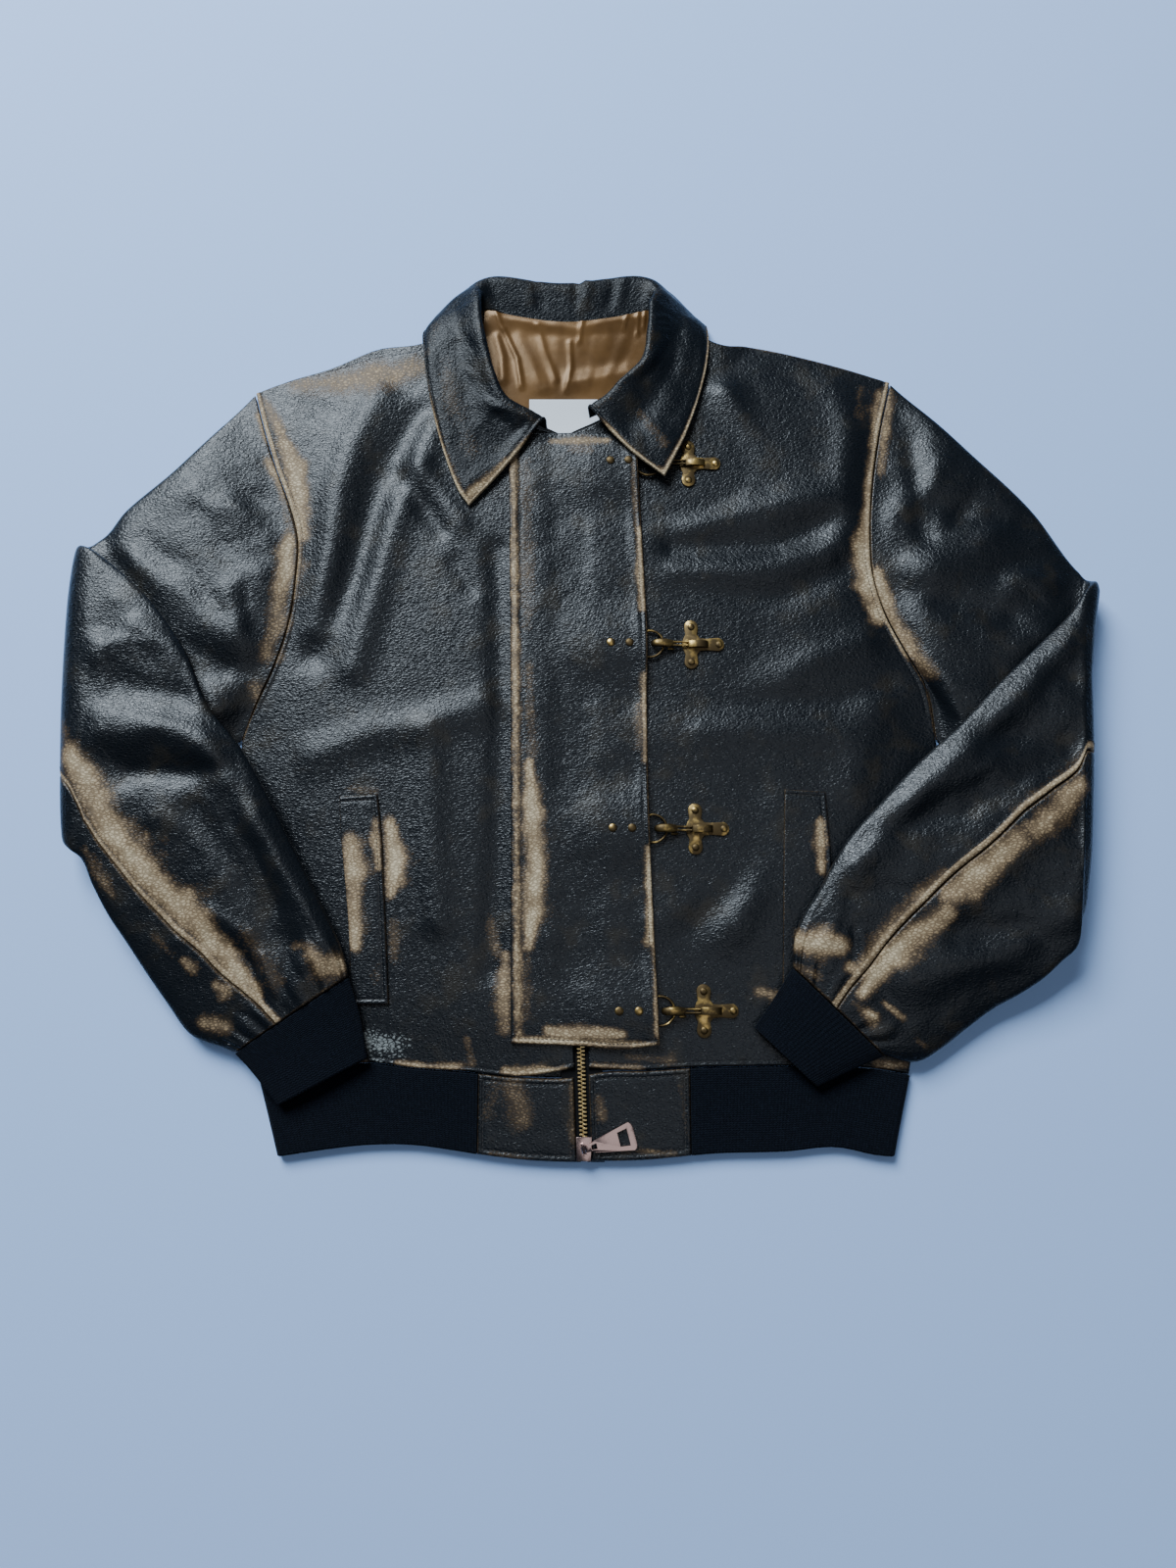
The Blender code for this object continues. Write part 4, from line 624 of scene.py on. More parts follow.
def sleeve_rest(x, y):
    """Height of what a folded forearm lies on: the front, a pocket welt, the knitted band or the floor."""
    inside = np.minimum(x - x_on(SIDE_R, y), x_on(SIDE_L, y) - x)
    front = front_height(x, y)
    for x0, x1, y0, y1 in WELT_AREAS:
        beside = np.maximum(x0 - x, x - x1)
        beyond = np.maximum(y0 - y, y - y1)
        front = front + WELT_TOP * (1 - smooth(4, 16, np.maximum(beside, beyond)))
    front = np.where(y < HEM_CORNER_R[1] + 12, np.maximum(front, RIB_HIGH + KNIT_WALL / 2), front)
    return np.where(inside > 0, front, EDGE_TOP) * smooth(-14, -3, inside)


def flap_form(x, y, size, power, far, near):
    """The flap on the fronts, raised over each ring by a swell of this size and form."""
    height = front_height(x, y) + FLAP_GAP
    edge = x_on(FLAP_FREE_EDGE, y)
    for _, seat_y in CLASPS:
        swell = np.exp(-np.abs((y - seat_y) / size) ** power) * smooth(far, near, edge - x)
        height = np.maximum(height, height + (FLAP_OVER_RING - height) * swell)
    return height + 1.2 * smooth(14, 0, edge - x)


def flap_underside(x, y):
    """Height of the flap's underside: on the fronts, and raised over each ring."""
    return flap_form(x, y, 19.0, 4, 62, 40)


def shrunk(points, gap):
    """The border pulled in by a gap towards the left of its direction."""
    points = np.array(points, float)
    return points + left_of(points) * gap


def side_line(side, armhole, gap):
    """The side seam and the armhole as one border, from the hem up to the shoulder tip."""
    low, high = shrunk(side, gap), shrunk(armhole, gap)
    corner = (low[-1] + high[0]) / 2
    points = np.vstack([low[:-1], corner, high[1:]])
    marks = np.r_[np.linspace(0, 0.46, len(low)), np.linspace(0.46, 1, len(high))[1:]]
    return Curve(points, marks)


def front_panel(side):
    """Outline of one front: side and armhole, zip edge, hem seam, shoulder and neck."""
    centre = 1 if side == "right" else -1
    ys = (-226, -150, -60, 40, 140, 230, 307)
    zip_edge = Curve([(zip_x(y) - centre * ZIP_HALF, y) for y in ys])
    if side == "right":
        outside = side_line(SIDE_R, ARMHOLE_R, -SEAM)
        top = SHOULDER_R[:-1] + FRONT_NECK_R
        marks = np.r_[np.linspace(0, 0.5, len(SHOULDER_R))[:-1], np.linspace(0.5, 1, len(FRONT_NECK_R))]
        hem = [p for p in HEM_SEAM if p[0] < -20]
        hem.append((zip_x(-228) - ZIP_HALF, -232))
    else:
        outside = side_line(SIDE_L, ARMHOLE_L, SEAM)
        top = FRONT_NECK_L + SHOULDER_L[1:]
        marks = np.r_[np.linspace(0, 0.5, len(FRONT_NECK_L)), np.linspace(0.5, 1, len(SHOULDER_L))[1:]]
        hem = [(zip_x(-228) + ZIP_HALF, -228)] + [p for p in HEM_SEAM if p[0] > 20]
    hem = np.array(hem, float) + (0, SEAM)
    top = np.array(top, float)
    borders = (outside, zip_edge) if side == "right" else (zip_edge, outside)
    hem[0], hem[-1] = borders[0].at(0), borders[1].at(0)
    top[0], top[-1] = borders[0].at(1), borders[1].at(1)
    return patch(*borders, Curve(hem), Curve(top, marks))


def hem_y(x):
    """The hem seam's Y at each X."""
    table = Curve(HEM_SEAM).at(np.linspace(0, 1, 60))
    return np.interp(x, table[:, 0], table[:, 1])


# %% [markdown]
# ## Where the black has rubbed off
#
# Wear follows how a jacket is worn: along shoulders and armholes, down the front edges, at pocket mouths
# and on the outer side of the forearms. Each stroke is its strength and its line's points, and each point
# is its x, its y and the half width there.

# %% Wear
FOREARM_WEAR_R = [
    (0.45, -423, 47, 5, -418, 28, 8),
    (0.92, -414, 21, 8, -405, 5, 11, -378, -40, 14, -348, -75, 13, -314, -105, 11, -290, -133, 8, -270,
     -155, 5, -257, -171, 4), (0.9, -216, -137, 6, -207, -147, 9, -196, -146, 8),
    (0.6, -231, -132, 4, -218, -131, 5), (0.35, -269, -124, 8, -241, -158, 8),
]
UNDER_WEAR_R = [
    (0.45, -396, -57, 4, -386, -74, 6, -374, -92, 4), (0.7, -317, -143, 4, -309, -150, 5),
    (0.75, -291, -162, 4, -283, -168, 5), (0.55, -300, -191, 6, -282, -194, 6),
    (0.35, -341, -124, 4, -325, -139, 4),
]
FOREARM_WEAR_L = [
    (0.4, 399, 21, 5, 370, -3, 6, 338, -28, 5),
    (0.62, 281, -76, 6, 260, -96, 9, 227, -128, 9, 212, -149, 6),
    (0.95, 165, -128, 8, 181, -130, 10, 198, -133, 7), (0.85, 204, -147, 4, 214, -155, 5),
    (0.5, 162, -147, 4, 180, -155, 4),
]
UNDER_WEAR_L = [
    (0.85, 390, -4, 7, 375, -22, 11, 354, -40, 8), (0.88, 337, -50, 8, 313, -69, 13, 285, -90, 10),
    (0.95, 281, -106, 7, 256, -121, 10, 230, -146, 9, 213, -168, 5), (0.9, 217, -183, 3, 222, -186, 3),
    (0.75, 231, -176, 2, 245, -187, 2.5), (0.5, 207, -175, 4, 222, -192, 4),
    (0.5, 256, -204, 2, 263, -209, 2),
]
BODY_WEAR = [
    (0.66, -256, 353, 8, -222, 356, 12, -184, 362, 14, -145, 368, 12), (0.5, -238, 346, 6, -170, 353, 8),
    (0.65, -282, 341, 4, -277, 333, 5, -265, 308, 6),
    (0.9, -262, 300, 6, -252, 280, 9, -246, 247, 9, -245, 215, 8),
    (0.85, -250, 216, 7, -249, 189, 8, -251, 163, 7), (0.6, -251, 168, 7, -256, 133, 7, -260, 108, 6),
    (0.97, -162, -32, 4.5, -157, -50, 7, -155, -66, 9.5, -156, -80, 8.5, -158, -89, 5),
    (0.5, -155, -111, 5, -154, -141, 5.5), (0.4, -198, -4, 3, -172, -6, 3),
    (0.9, 239, 238, 5, 234, 202, 9, 236, 168, 10, 244, 144, 8),
    (0.75, 254, 346, 4, 248, 309, 5, 242, 273, 5, 239, 238, 5), (0.5, 238, 350, 4, 234, 323, 4),
    (0.8, 286, 83, 2.5, 290, 54, 2.5), (0.8, -66, -139, 4, -67, -166, 7, -65, -196, 6),
    (0.45, -78, -111, 5, -72, -139, 5), (0.75, -150, -222, 3, -123, -226, 3.5, -100, -224, 3),
    (0.6, -96, -204, 3, -91, -222, 3), (0.9, -65, -228, 3, -42, -229, 4, -19, -228, 3),
    (0.6, 5, -224, 2.5, 42, -226, 3), (0.85, 227, -222, 3, 250, -224, 3),
    (0.6, 136, -166, 4, 148, -170, 4), (0.5, 31, -217, 3, 65, -220, 4),
    (0.5, -196, -215, 4, -175, -222, 4),
]
# Strokes of the painted highlight: a rubbed patch near the hem whose pebble tops are painted pale silver, as
# glints.
PAINTED_GLINT_STROKES = [
    (0.95, -174, -205, 8, -153, -210, 9), (0.6, -166, -220, 4, -154, -222, 4),
]
UPPER_ARM_WEAR_R = [
    (0.75, -286, 326, 2.5, -278, 302, 3), (0.75, -276, 283, 4, -267, 268, 4),
    (0.65, -265, 261, 4, -260, 247, 4), (0.85, -254, 214, 5, -256, 188, 7, -258, 167, 8),
    (0.7, -258, 167, 8, -262, 132, 8, -269, 109, 7), (0.5, -277, 82, 6, -270, 65, 5),
    (0.4, -258, 236, 4, -252, 219, 4),
]
UPPER_ARM_WEAR_L = [
    (0.7, 263, 348, 4, 258, 317, 5, 251, 272, 4),
    (0.85, 244, 184, 4, 249, 158, 7, 258, 132, 8, 269, 114, 7), (0.6, 269, 114, 6, 283, 94, 6),
]
WELT_WEAR = {
    "right": [
        (0.95, -192, -46, 6, -188, -65, 10, -188, -84, 9, -187, -104, 8, -184, -132, 5.5),
        (0.8, -172, -31, 3, -171, -50, 4, -168, -69, 3), (0.35, -168, -146, 5, -167, -156, 5),
    ],
    "left": [
        (0.95, 188, -33, 3, 188, -50, 5, 188, -71, 3.5), (0.4, 165, -119, 3, 165, -146, 3),
    ],
}
FLAP_WEAR = [
    (0.85, -64, 293, 3.4, -59, 32, 3.4, -55, -203, 3.4), (0.4, -52, 279, 6, -52, 200, 8, -51, 132, 6),
    (0.97, -48, 17, 4, -45, -17, 8, -43, -65, 9, -44, -104, 8, -47, -132, 4),
    (0.45, -49, 98, 4, -46, 24, 6), (0.4, -48, -135, 5, -49, -188, 4), (0.85, 43, 218, 3, 45, 148, 3.5),
    (0.75, 46, 90, 3, 47, 19, 3), (0.5, 42, 64, 5, 44, 32, 5), (0.95, 49, -55, 3, 50, -127, 3.5),
    (0.75, 53, -127, 2.5, 54, -200, 2.5), (0.6, 38, 276, 2, 41, 218, 2),
    (0.92, -31, -197, 4, -8, -198, 6, 27, -200, 4), (0.9, -57, -204, 2.5, -8, -206, 3, 52, -208, 2.5),
    (0.8, -31, 298, 3, -8, 297, 5, 17, 298, 3), (0.5, -13, 290, 6, 0, 289, 6),
]
TAB_WEAR = [
    (0.5, -60, -236, 9, -55, -250, 11, -50, -266, 8), (0.38, -73, -240, 6, -78, -262, 5),
    (0.6, 9, -249, 3.5, 12, -263, 4), (0.5, 30, -288, 2.5, 66, -290, 2.5),
    (0.5, -60, -232, 2.5, -18, -234, 2.5), (0.4, -75, -291, 2.5, -40, -296, 2.5),
    (0.45, -13, -238, 2.5, -12, -290, 2.5), (0.35, 72, -240, 2.5, 78, -280, 2.5),
]
COLLAR_WEAR = [
    (0.5, -135, 319, 4, -124, 286, 6, -115, 259, 7), (0.3, -125, 370, 9, -118, 330, 12, -100, 290, 13),
    (0.8, -100, 248, 4, -83, 261, 6, -67, 277, 4), (0.45, 46, 319, 5, 65, 292, 6),
    (0.7, 60, 268, 3, 68, 265, 4, 75, 279, 3), (0.35, -34, 450, 5, 9, 451, 5),
    (0.4, -132, 406, 5, -139, 379, 5),
]


def worn(x, y, strokes):
    """How rubbed each point is by the strokes."""
    uneven = 1 + 0.2 * mottle(x, y, 23, 65) + 0.22 * mottle(x, y, 9, 61) + 0.16 * mottle(x, y, 4, 63)
    rubbed = np.zeros(len(x))
    for strength, *numbers in strokes:
        line = points_of(numbers, 3)
        for (x0, y0, w0), (x1, y1, w1) in zip(line, line[1:]):
            far = ((x - x0) * (x1 - x0) + (y - y0) * (y1 - y0)) / ((x1 - x0) ** 2 + (y1 - y0) ** 2)
            far = np.clip(far, 0, 1)
            away = np.hypot(x - x0 - far * (x1 - x0), y - y0 - far * (y1 - y0)) / (w0 + (w1 - w0) * far)
            rubbed = np.maximum(rubbed, strength * np.exp(-(away * uneven / 1.35) ** 2.1))
    return rubbed * (0.9 + 0.16 * mottle(x, y, 12, 67))


def strip(away, width, strength=0.8):
    """Wear on the raised strip between a seam and its row of stitches."""
    return strength * smooth(width + 0.9, width - 0.5, away)


def rubbed_edge(away, strength=0.75, width=1.3):
    """Wear along an edge, by the distance from it."""
    return strength * np.exp(-(away / width) ** 2)


# %% [markdown]
# ## A cloth shell
#
# Every piece of cloth starts as a flat grid. Its lines are close together near the edges, so that a
# turned edge can be round. The grid is extruded to a second layer, which gives a closed wall, and then
# each vertex is put in its place on the piece. The grid keeps its own places in a UV map, in metres, and
# the wear goes into an attribute.

# %% A cloth shell
EDGE_LINES = (0, 0.35, 0.8, 1.4, 2.2, 3.2, 4.1, 5.0, 6.2)


def grid_lines(length, step):
    """Places from 0 to 1 of the lines across a cloth of this length, crowded near both ends."""
    near = np.array(EDGE_LINES)
    count = max(round((length - 2 * near[-1]) / step), 2)
    middle = np.linspace(near[-1], length - near[-1], count + 1)[1:-1]
    return np.concatenate([near, middle, length - near[::-1]]) / length


def folded_grid(columns, rows, closed):
    """Two joined layers of a grid. A closed one has its first and last columns welded into a tube."""
    bm = bmesh.new()
    bmesh.ops.create_grid(bm, x_segments=columns, y_segments=rows, size=0.5)
    grown = bmesh.ops.extrude_face_region(bm, geom=bm.faces[:], use_keep_orig=True)
    lower = [item for item in grown["geom"] if isinstance(item, bmesh.types.BMVert)]
    bmesh.ops.translate(bm, verts=lower, vec=(0, 0, -1))
    if closed:
        rims = [face for face in bm.faces if all(abs(vert.co.x) > 0.4999 for vert in face.verts)]
        bmesh.ops.delete(bm, geom=rims, context="FACES")
        spot = {(round(vert.co.y, 5), round(vert.co.z)): vert for vert in bm.verts if vert.co.x < -0.4999}
        ends = [vert for vert in bm.verts if vert.co.x > 0.4999]
        weld = {vert: spot[(round(vert.co.y, 5), round(vert.co.z))] for vert in ends}
        bmesh.ops.weld_verts(bm, targetmap=weld)
    return bm


def cloth(name, surface, across, along, finish, wear=None, painted_glint=None, closed=False, sharp=55):
    """A closed wall of cloth. surface(u, v) gives its outer and inner points, across and along are its
    grid lines, and wear(outer, u, v) is how rubbed it is."""
    mesh = mesh_of(folded_grid(len(across) - 1, len(along) - 1, closed), name)
    flat = np.empty(len(mesh.vertices) * 3)
    mesh.vertices.foreach_get("co", flat)
    flat = flat.reshape(-1, 3)
    i = np.rint((flat[:, 0] + 0.5) * (len(across) - 1)).astype(int)
    j = np.rint((flat[:, 1] + 0.5) * (len(along) - 1)).astype(int)
    u, v = np.repeat(across, len(along)), np.tile(along, len(across))
    outer, inner = surface(u, v)
    spot = i * len(along) + j
    place = np.where((flat[:, 2] < -0.5)[:, None], inner[spot], outer[spot])
    mesh.vertices.foreach_set("co", ((place - (*CENTRE, 0)) * MM).ravel())
    # The second attribute is the share of painted silver highlight.
    for title, rule in (("wear", wear), ("painted_glint", painted_glint)):
        if rule is not None:
            layer = mesh.attributes.new(title, "FLOAT", "POINT")
            layer.data.foreach_set("value", rule(outer, u, v)[spot])
    width = np.linalg.norm(np.diff(outer.reshape(len(across), -1, 3), axis=0), axis=2).sum(0).mean()
    height = np.linalg.norm(np.diff(outer.reshape(len(across), -1, 3), axis=1), axis=2).sum(1).mean()
    corners = np.empty(len(mesh.loops), int)
    mesh.loops.foreach_get("vertex_index", corners)
    weave = np.column_stack([u * width, v * height])[spot][corners] * MM
    mesh.uv_layers.new(name="weave").data.foreach_set("uv", weave.ravel())
    return add(name, mesh, finish, sharp)


def mesh_of(bm, name):
    mesh = bpy.data.meshes.new(name)
    bm.to_mesh(mesh)
    bm.free()
    return mesh


def add(name, mesh, finish, sharp=40):
    """Turns the faces outwards, shades them, and puts the piece into the scene."""
    bm = bmesh.new()
    bm.from_mesh(mesh)
    bmesh.ops.recalc_face_normals(bm, faces=bm.faces)
    bm.to_mesh(mesh)
    bm.free()
    mesh.shade_smooth()
    mesh.set_sharp_from_angle(angle=math.radians(sharp))
    mesh.materials.clear()
    mesh.materials.append(finish)
    made = bpy.data.objects.new(name, mesh)
    bpy.context.scene.collection.objects.link(made)
    triangles = sum(len(face.vertices) - 2 for face in mesh.polygons)
    print(f"{name}: {triangles} triangles")
    return made


def sink(outer, inner, depth, wall=LEATHER):
    """Moves the outer face towards the inner one, by depth in millimetres."""
    return outer + (inner - outer) * (depth / wall)[:, None]


def layers(x, y, top, wall=LEATHER):
    """The outer and the inner points of a cloth whose outer face is at this height."""
    return np.column_stack([x, y, top]), np.column_stack([x, y, top - wall])


def rectangle_away(u, v, width, height):
    """Distance from the nearest edge of a rectangle."""
    return np.minimum(np.minimum(u, 1 - u) * width, np.minimum(v, 1 - v) * height)


def turned_edge(away, radius=1.2):
    """How far a turned edge drops, by the distance from it."""
    near = np.clip(1 - away / radius, 0, 1)
    return radius * (1 - np.sqrt(1 - near ** 2))


def sewn_groove(away, row=4.2, depth=0.5):
    """The groove of a row of stitches, and the swelling between it and the edge."""
    swell = 0.35 * np.exp(-((away - row * 0.5) / (row * 0.33)) ** 2)
    return depth * np.exp(-((away - row) / 0.9) ** 2) - swell


def dress(made, slot, *nodes, body="jacket"):
    """Makes the piece stand for its solids and move with its body. The slot is not used."""
    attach(made, body)
    if nodes:
        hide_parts(*nodes)
    return made


# %% [markdown]
# ## Back and fronts
#
# The back lies flat on the sheet. The fronts rise over the air in the jacket and carry the main folds.
# At each seam the leather turns down, and along the armholes a row of stitches pulls a groove.

# %% Back and fronts
EDGE_PLACES = np.linspace(0, 1, 70)
ALL_SIDES = ("left", "right", "bottom", "top")


def edge_line(panel, side):
    """One border of a panel as a line of points: left, right, bottom or top."""
    zero = EDGE_PLACES * 0
    sides = {"left": (zero, EDGE_PLACES), "right": (zero + 1, EDGE_PLACES),
             "bottom": (EDGE_PLACES, zero), "top": (EDGE_PLACES, zero + 1)}
    return panel(*sides[side])


def away_from(x, y, panel, *sides):
    return np.minimum.reduce([distance(x, y, edge_line(panel, side)) for side in sides])


def back_panel():
    left, right = side_line(SIDE_R, ARMHOLE_R, -SEAM), side_line(SIDE_L, ARMHOLE_L, SEAM)
    top_line = BACK_TOP_R[:-1] + BACK_NECK + SHOULDER_L[1:]
    marks = np.r_[np.linspace(0, 0.36, len(BACK_TOP_R))[:-1], np.linspace(0.36, 0.64, len(BACK_NECK)),
                  np.linspace(0.64, 1, len(SHOULDER_L))[1:]]
    top_line = np.array(top_line, float)
    top_line[0], top_line[-1] = left.at(1), right.at(1)
    bottom = Curve([(x, y + SEAM) for x, y in HEM_SEAM])
    bottom.points[0], bottom.points[-1] = left.at(0), right.at(0)
    return patch(left, right, bottom, Curve(top_line, marks))


def back_surface(u, v):
    x, y = back_panel()(u, v).T
    top = LEATHER + back_lift(x, y)
    outer, inner = layers(x, y, top)
    return sink(outer, inner, turned_edge(away_from(x, y, back_panel(), *ALL_SIDES))), inner


CHEST_FOLDS = [
    (1.6, 12, -150, 338, -190, 317, -212, 277, -223, 228, -236, 180),
    (-1.0, 7, -150, 318, -180, 290, -192, 240, -208, 196, -232, 160),
    (-1.7, 12, -135, 312, -150, 262, -166, 219, -195, 99), (1.7, 11, -79, 215, -75, 120, -72, 20),
    (1.2, 6, -150, 262, -128, 246), (2.0, 8, -158, 282, -130, 250), (-2.2, 9, -160, 242, -136, 209),
    (2.0, 9, -125, 206, -88, 185), (-2.0, 7, -122, 178, -94, 162), (1.8, 9, -154, 152, -117, 148),
    (-1.8, 9, -165, 129, -126, 120), (2.2, 10, -120, 64, -79, 58), (-2.2, 8, -113, 43, -81, 39),
    (1.6, 12, -214, 39, -137, 34), (-1.5, 10, -200, 8, -144, 12),
    (1.8, 9, -246, 133, -208, 116, -172, 120), (-1.5, 9, -244, 91, -195, 82),
    (-2.0, 6, -166, 347, -150, 354), (1.4, 10, -128, -16, -121, -80, -115, -142),
    (-1.4, 10, -143, -32, -138, -96, -132, -150), (-1.4, 9, -100, -24, -96, -96, -90, -158),
    (2.0, 9, 95, 257, 140, 248), (-2.2, 7, 110, 235, 146, 230, 167, 239),
    (2.4, 9, 76, 215, 139, 214, 177, 235, 197, 250), (-2.4, 9, 83, 192, 149, 188, 183, 209),
    (2.0, 8, 165, 189, 207, 200), (-2.2, 7, 170, 173, 215, 181), (1.8, 9, 49, 157, 94, 155),
    (2.0, 9, 188, 154, 224, 159), (-1.8, 9, 59, 140, 131, 133, 197, 133), (1.6, 12, 134, 91, 187, 87),
    (-1.5, 12, 130, 64, 202, 62), (1.6, 10, 48, 53, 92, 48), (-2.6, 6, 127, 386, 147, 364, 166, 334),
    (2.0, 7, 120, 371, 136, 345, 149, 322), (1.6, 7, 124, 341, 130, 302), (-1.4, 6, 139, 318, 145, 289),
    (-1.6, 9, 98, 0, 91, -48, 79, -96), (1.6, 9, 113, -8, 107, -64, 92, -111),
    (1.5, 10, 134, -80, 113, -127, 105, -166), (-1.5, 8, 78, -158, 124, -166),
    (1.4, 7, 70, -184, 112, -190), (1.4, 6, -232, -188, -170, -196), (1.2, 5, -139, -202, -77, -208),
    (-1.2, 5, -124, -191, -73, -196),
]
# Borders of what lies on the fronts. The fronts' finer folds are free on the side that comes first
COVERED = [
    (-1, -66, -400, -66, 234, -102, 238, -112, 256, -132, 323, -142, 375, -143, 400),
    (1, 56, -400, 56, 258, 66, 262, 72, 268, 86, 316, 104, 387, 99, 400),
    (1, -165, -400, -165, -216, -175, -157, -189, -131, -207, -108, -226, -69, -249, -30, -271, 10, -286,
     34, -312, 63, -327, 88, -348, 134, -383, 167, -416, 196),
    (-1, 130, -400, 130, -192, 156, -139, 170, -116, 189, -73, 205, -50, 236, -14, 286, 34, 337, 79, 384,
     125, 421, 163),
]


def front_top(x, y):
    """The fronts' outer face with its finer folds, which stop short of clasps, seams and covered places."""
    free = np.minimum.reduce([smooth(38, 66, np.hypot(x - cx + 18, y - cy)) for cx, cy in CLASPS])
    for side, *line in COVERED:
        free = np.minimum(free, smooth(0, 10, side * (x - x_on(points_of(line), y))))
    seams = [distance(x, y, line) for line in (ARMHOLE_R, ARMHOLE_L, SHOULDER_R, SHOULDER_L, HEM_SEAM)]
    free = free * smooth(1, 15, np.minimum.reduce(seams))
    main = folds(x, y, FRONT_FOLDS)
    return front_height(x, y) + free * (crimps(x, y, FRONT_FOLDS + CHEST_FOLDS) - main + fine_creases(x, y))


def front_surface(panel, outside):
    """outside is the side of the panel with the side seam and the armhole."""
    def surface(u, v):
        x, y = panel(u, v).T
        top = front_top(x, y)
        outer, inner = layers(x, y, top)
        depth = turned_edge(away_from(x, y, panel, *ALL_SIDES), 1.5)
        armhole = np.where(y > 60, distance(x, y, edge_line(panel, outside)), 99)
        depth = depth + sewn_groove(armhole, 4.6) + sewn_groove(away_from(x, y, panel, "bottom"), 3.6, 0.3)
        return sink(outer, inner, depth), inner
    return surface


def body_wear(outer, u, v):
    x, y = outer[:, 0], outer[:, 1]
    right, left = (distance(x, y, line) for line in (ARMHOLE_R, ARMHOLE_L))
    strips = np.maximum(strip(right, 3.9) * smooth(200, 216, y), strip(left, 3.9) * smooth(95, 115, y))
    seams = np.minimum.reduce([right, left] + [distance(x, y, line) for line in (SHOULDER_R, SHOULDER_L)])
    return np.maximum.reduce([worn(x, y, BODY_WEAR), strips, rubbed_edge(seams, 0.5, 1.8)])


# Where the fronts get the painted silver highlight on their pebble tops.
def body_painted_glint(outer, u, v):
    return worn(outer[:, 0], outer[:, 1], PAINTED_GLINT_STROKES)


back = cloth("jacket_back", back_surface, grid_lines(550, 9), grid_lines(620, 9), leather)
dress(back, "leather", "back")
front_r, front_l = front_panel("right"), front_panel("left")
for name, panel, outside, node in (("jacket_front_right", front_r, "left", "front_right"),
                                   ("jacket_front_left", front_l, "right", "front_left")):
    made = cloth(name, front_surface(panel, outside), grid_lines(260, 3), grid_lines(560, 3), leather,
                 wear=body_wear, painted_glint=body_painted_glint)
    dress(made, "leather", node)

# %% [markdown]
# ## Satin lining and label
#
# The lining shows only inside the neck, where it is gathered under the collar in small pleats. The label
# is a plain white woven strip, sewn on below them.

# %% Satin lining and label
PLEATS = [
    (0.9, 4.5, -84, 419, -44, 409, -9, 403, 22, 410, 52, 417), (0.9, 2.6, -44, 408, -38, 384, -28, 358),
    (1.1, 1.8, -16, 392, -15, 371, -19, 348), (1.3, 3.6, -80, 399, -75, 380, -74, 358),
    (1.5, 2.2, -74, 405, -62, 378, -58, 352), (1.0, 6.0, -60, 399, -50, 373, -38, 350),
    (1.5, 7.0, -12, 356, 10, 360, 34, 366), (1.1, 1.5, -5, 411, -8, 392), (1.0, 1.6, 35, 419, 31, 404),
    (1.3, 1.6, 44, 420, 43, 399), (1.2, 1.6, 50, 421, 48, 404), (1.2, 1.8, -81, 422, -76, 407),
]
LINING_SIDES = (
    [(-88, 286), (-92, 330), (-93, 380), (-91, 424)], [(50, 286), (53, 330), (55, 380), (55, 421)],
    [(-88, 286), (-20, 284), (50, 286)], [(-91, 424), (-60, 416.5), (-20, 410.5), (28, 415), (55, 421)],
)
lining_panel = patch(*(Curve(side) for side in LINING_SIDES))


def lining_height(x, y):
    gather = mottle(np.arctan2(x + 20, y - 270) * 90, np.hypot(x + 20, y - 270) * 0.12, 5, 21)
    label_top = LABEL_LOW[1] + LABEL_SIZE[1]
    drawn_in = 3.6 * smooth(366, 400, y) * smooth(-75, 10, x) + 2.2 * smooth(398, 414, y)
    drawn_in += folds(x, y, PLEATS) * smooth(label_top + 1, label_top + 9, y)
    base = LEATHER + back_lift(x, y) + LAID + 0.2 + SATIN_WALL
    return base + np.maximum(drawn_in, 0.35 * drawn_in) + 0.30 * (gather + 1) * smooth(342, 356, y)


def lining_surface(u, v):
    x, y = lining_panel(u, v).T
    top = lining_height(x, y)
    return layers(x, y, top, SATIN_WALL)


lining = cloth("neck_satin", lining_surface, grid_lines(145, 1.6), grid_lines(120, 1.8), satin)
dress(lining, "satin", "neck_lining")


def label_surface(u, v):
    x, y = (LABEL_LOW + np.column_stack([u, v]) * LABEL_SIZE).T
    top = LEATHER + back_lift(x, y) + 2 * LAID + 0.2 + SATIN_WALL + LABEL_WALL
    outer, inner = layers(x, y, top, LABEL_WALL)
    return sink(outer, inner, turned_edge(rectangle_away(u, v, *LABEL_SIZE), 0.45), LABEL_WALL), inner


label = cloth("neck_label", label_surface, grid_lines(LABEL_SIZE[0], 1.5), grid_lines(LABEL_SIZE[1], 1.5),
              label_cloth)
dress(label, "label", "label")

# %% [markdown]
# ## Pocket welts
#
# Each pocket has a long leather welt, sewn down on its inner side and open towards the side seam. The
# hand goes in there, so its free edge is rubbed.

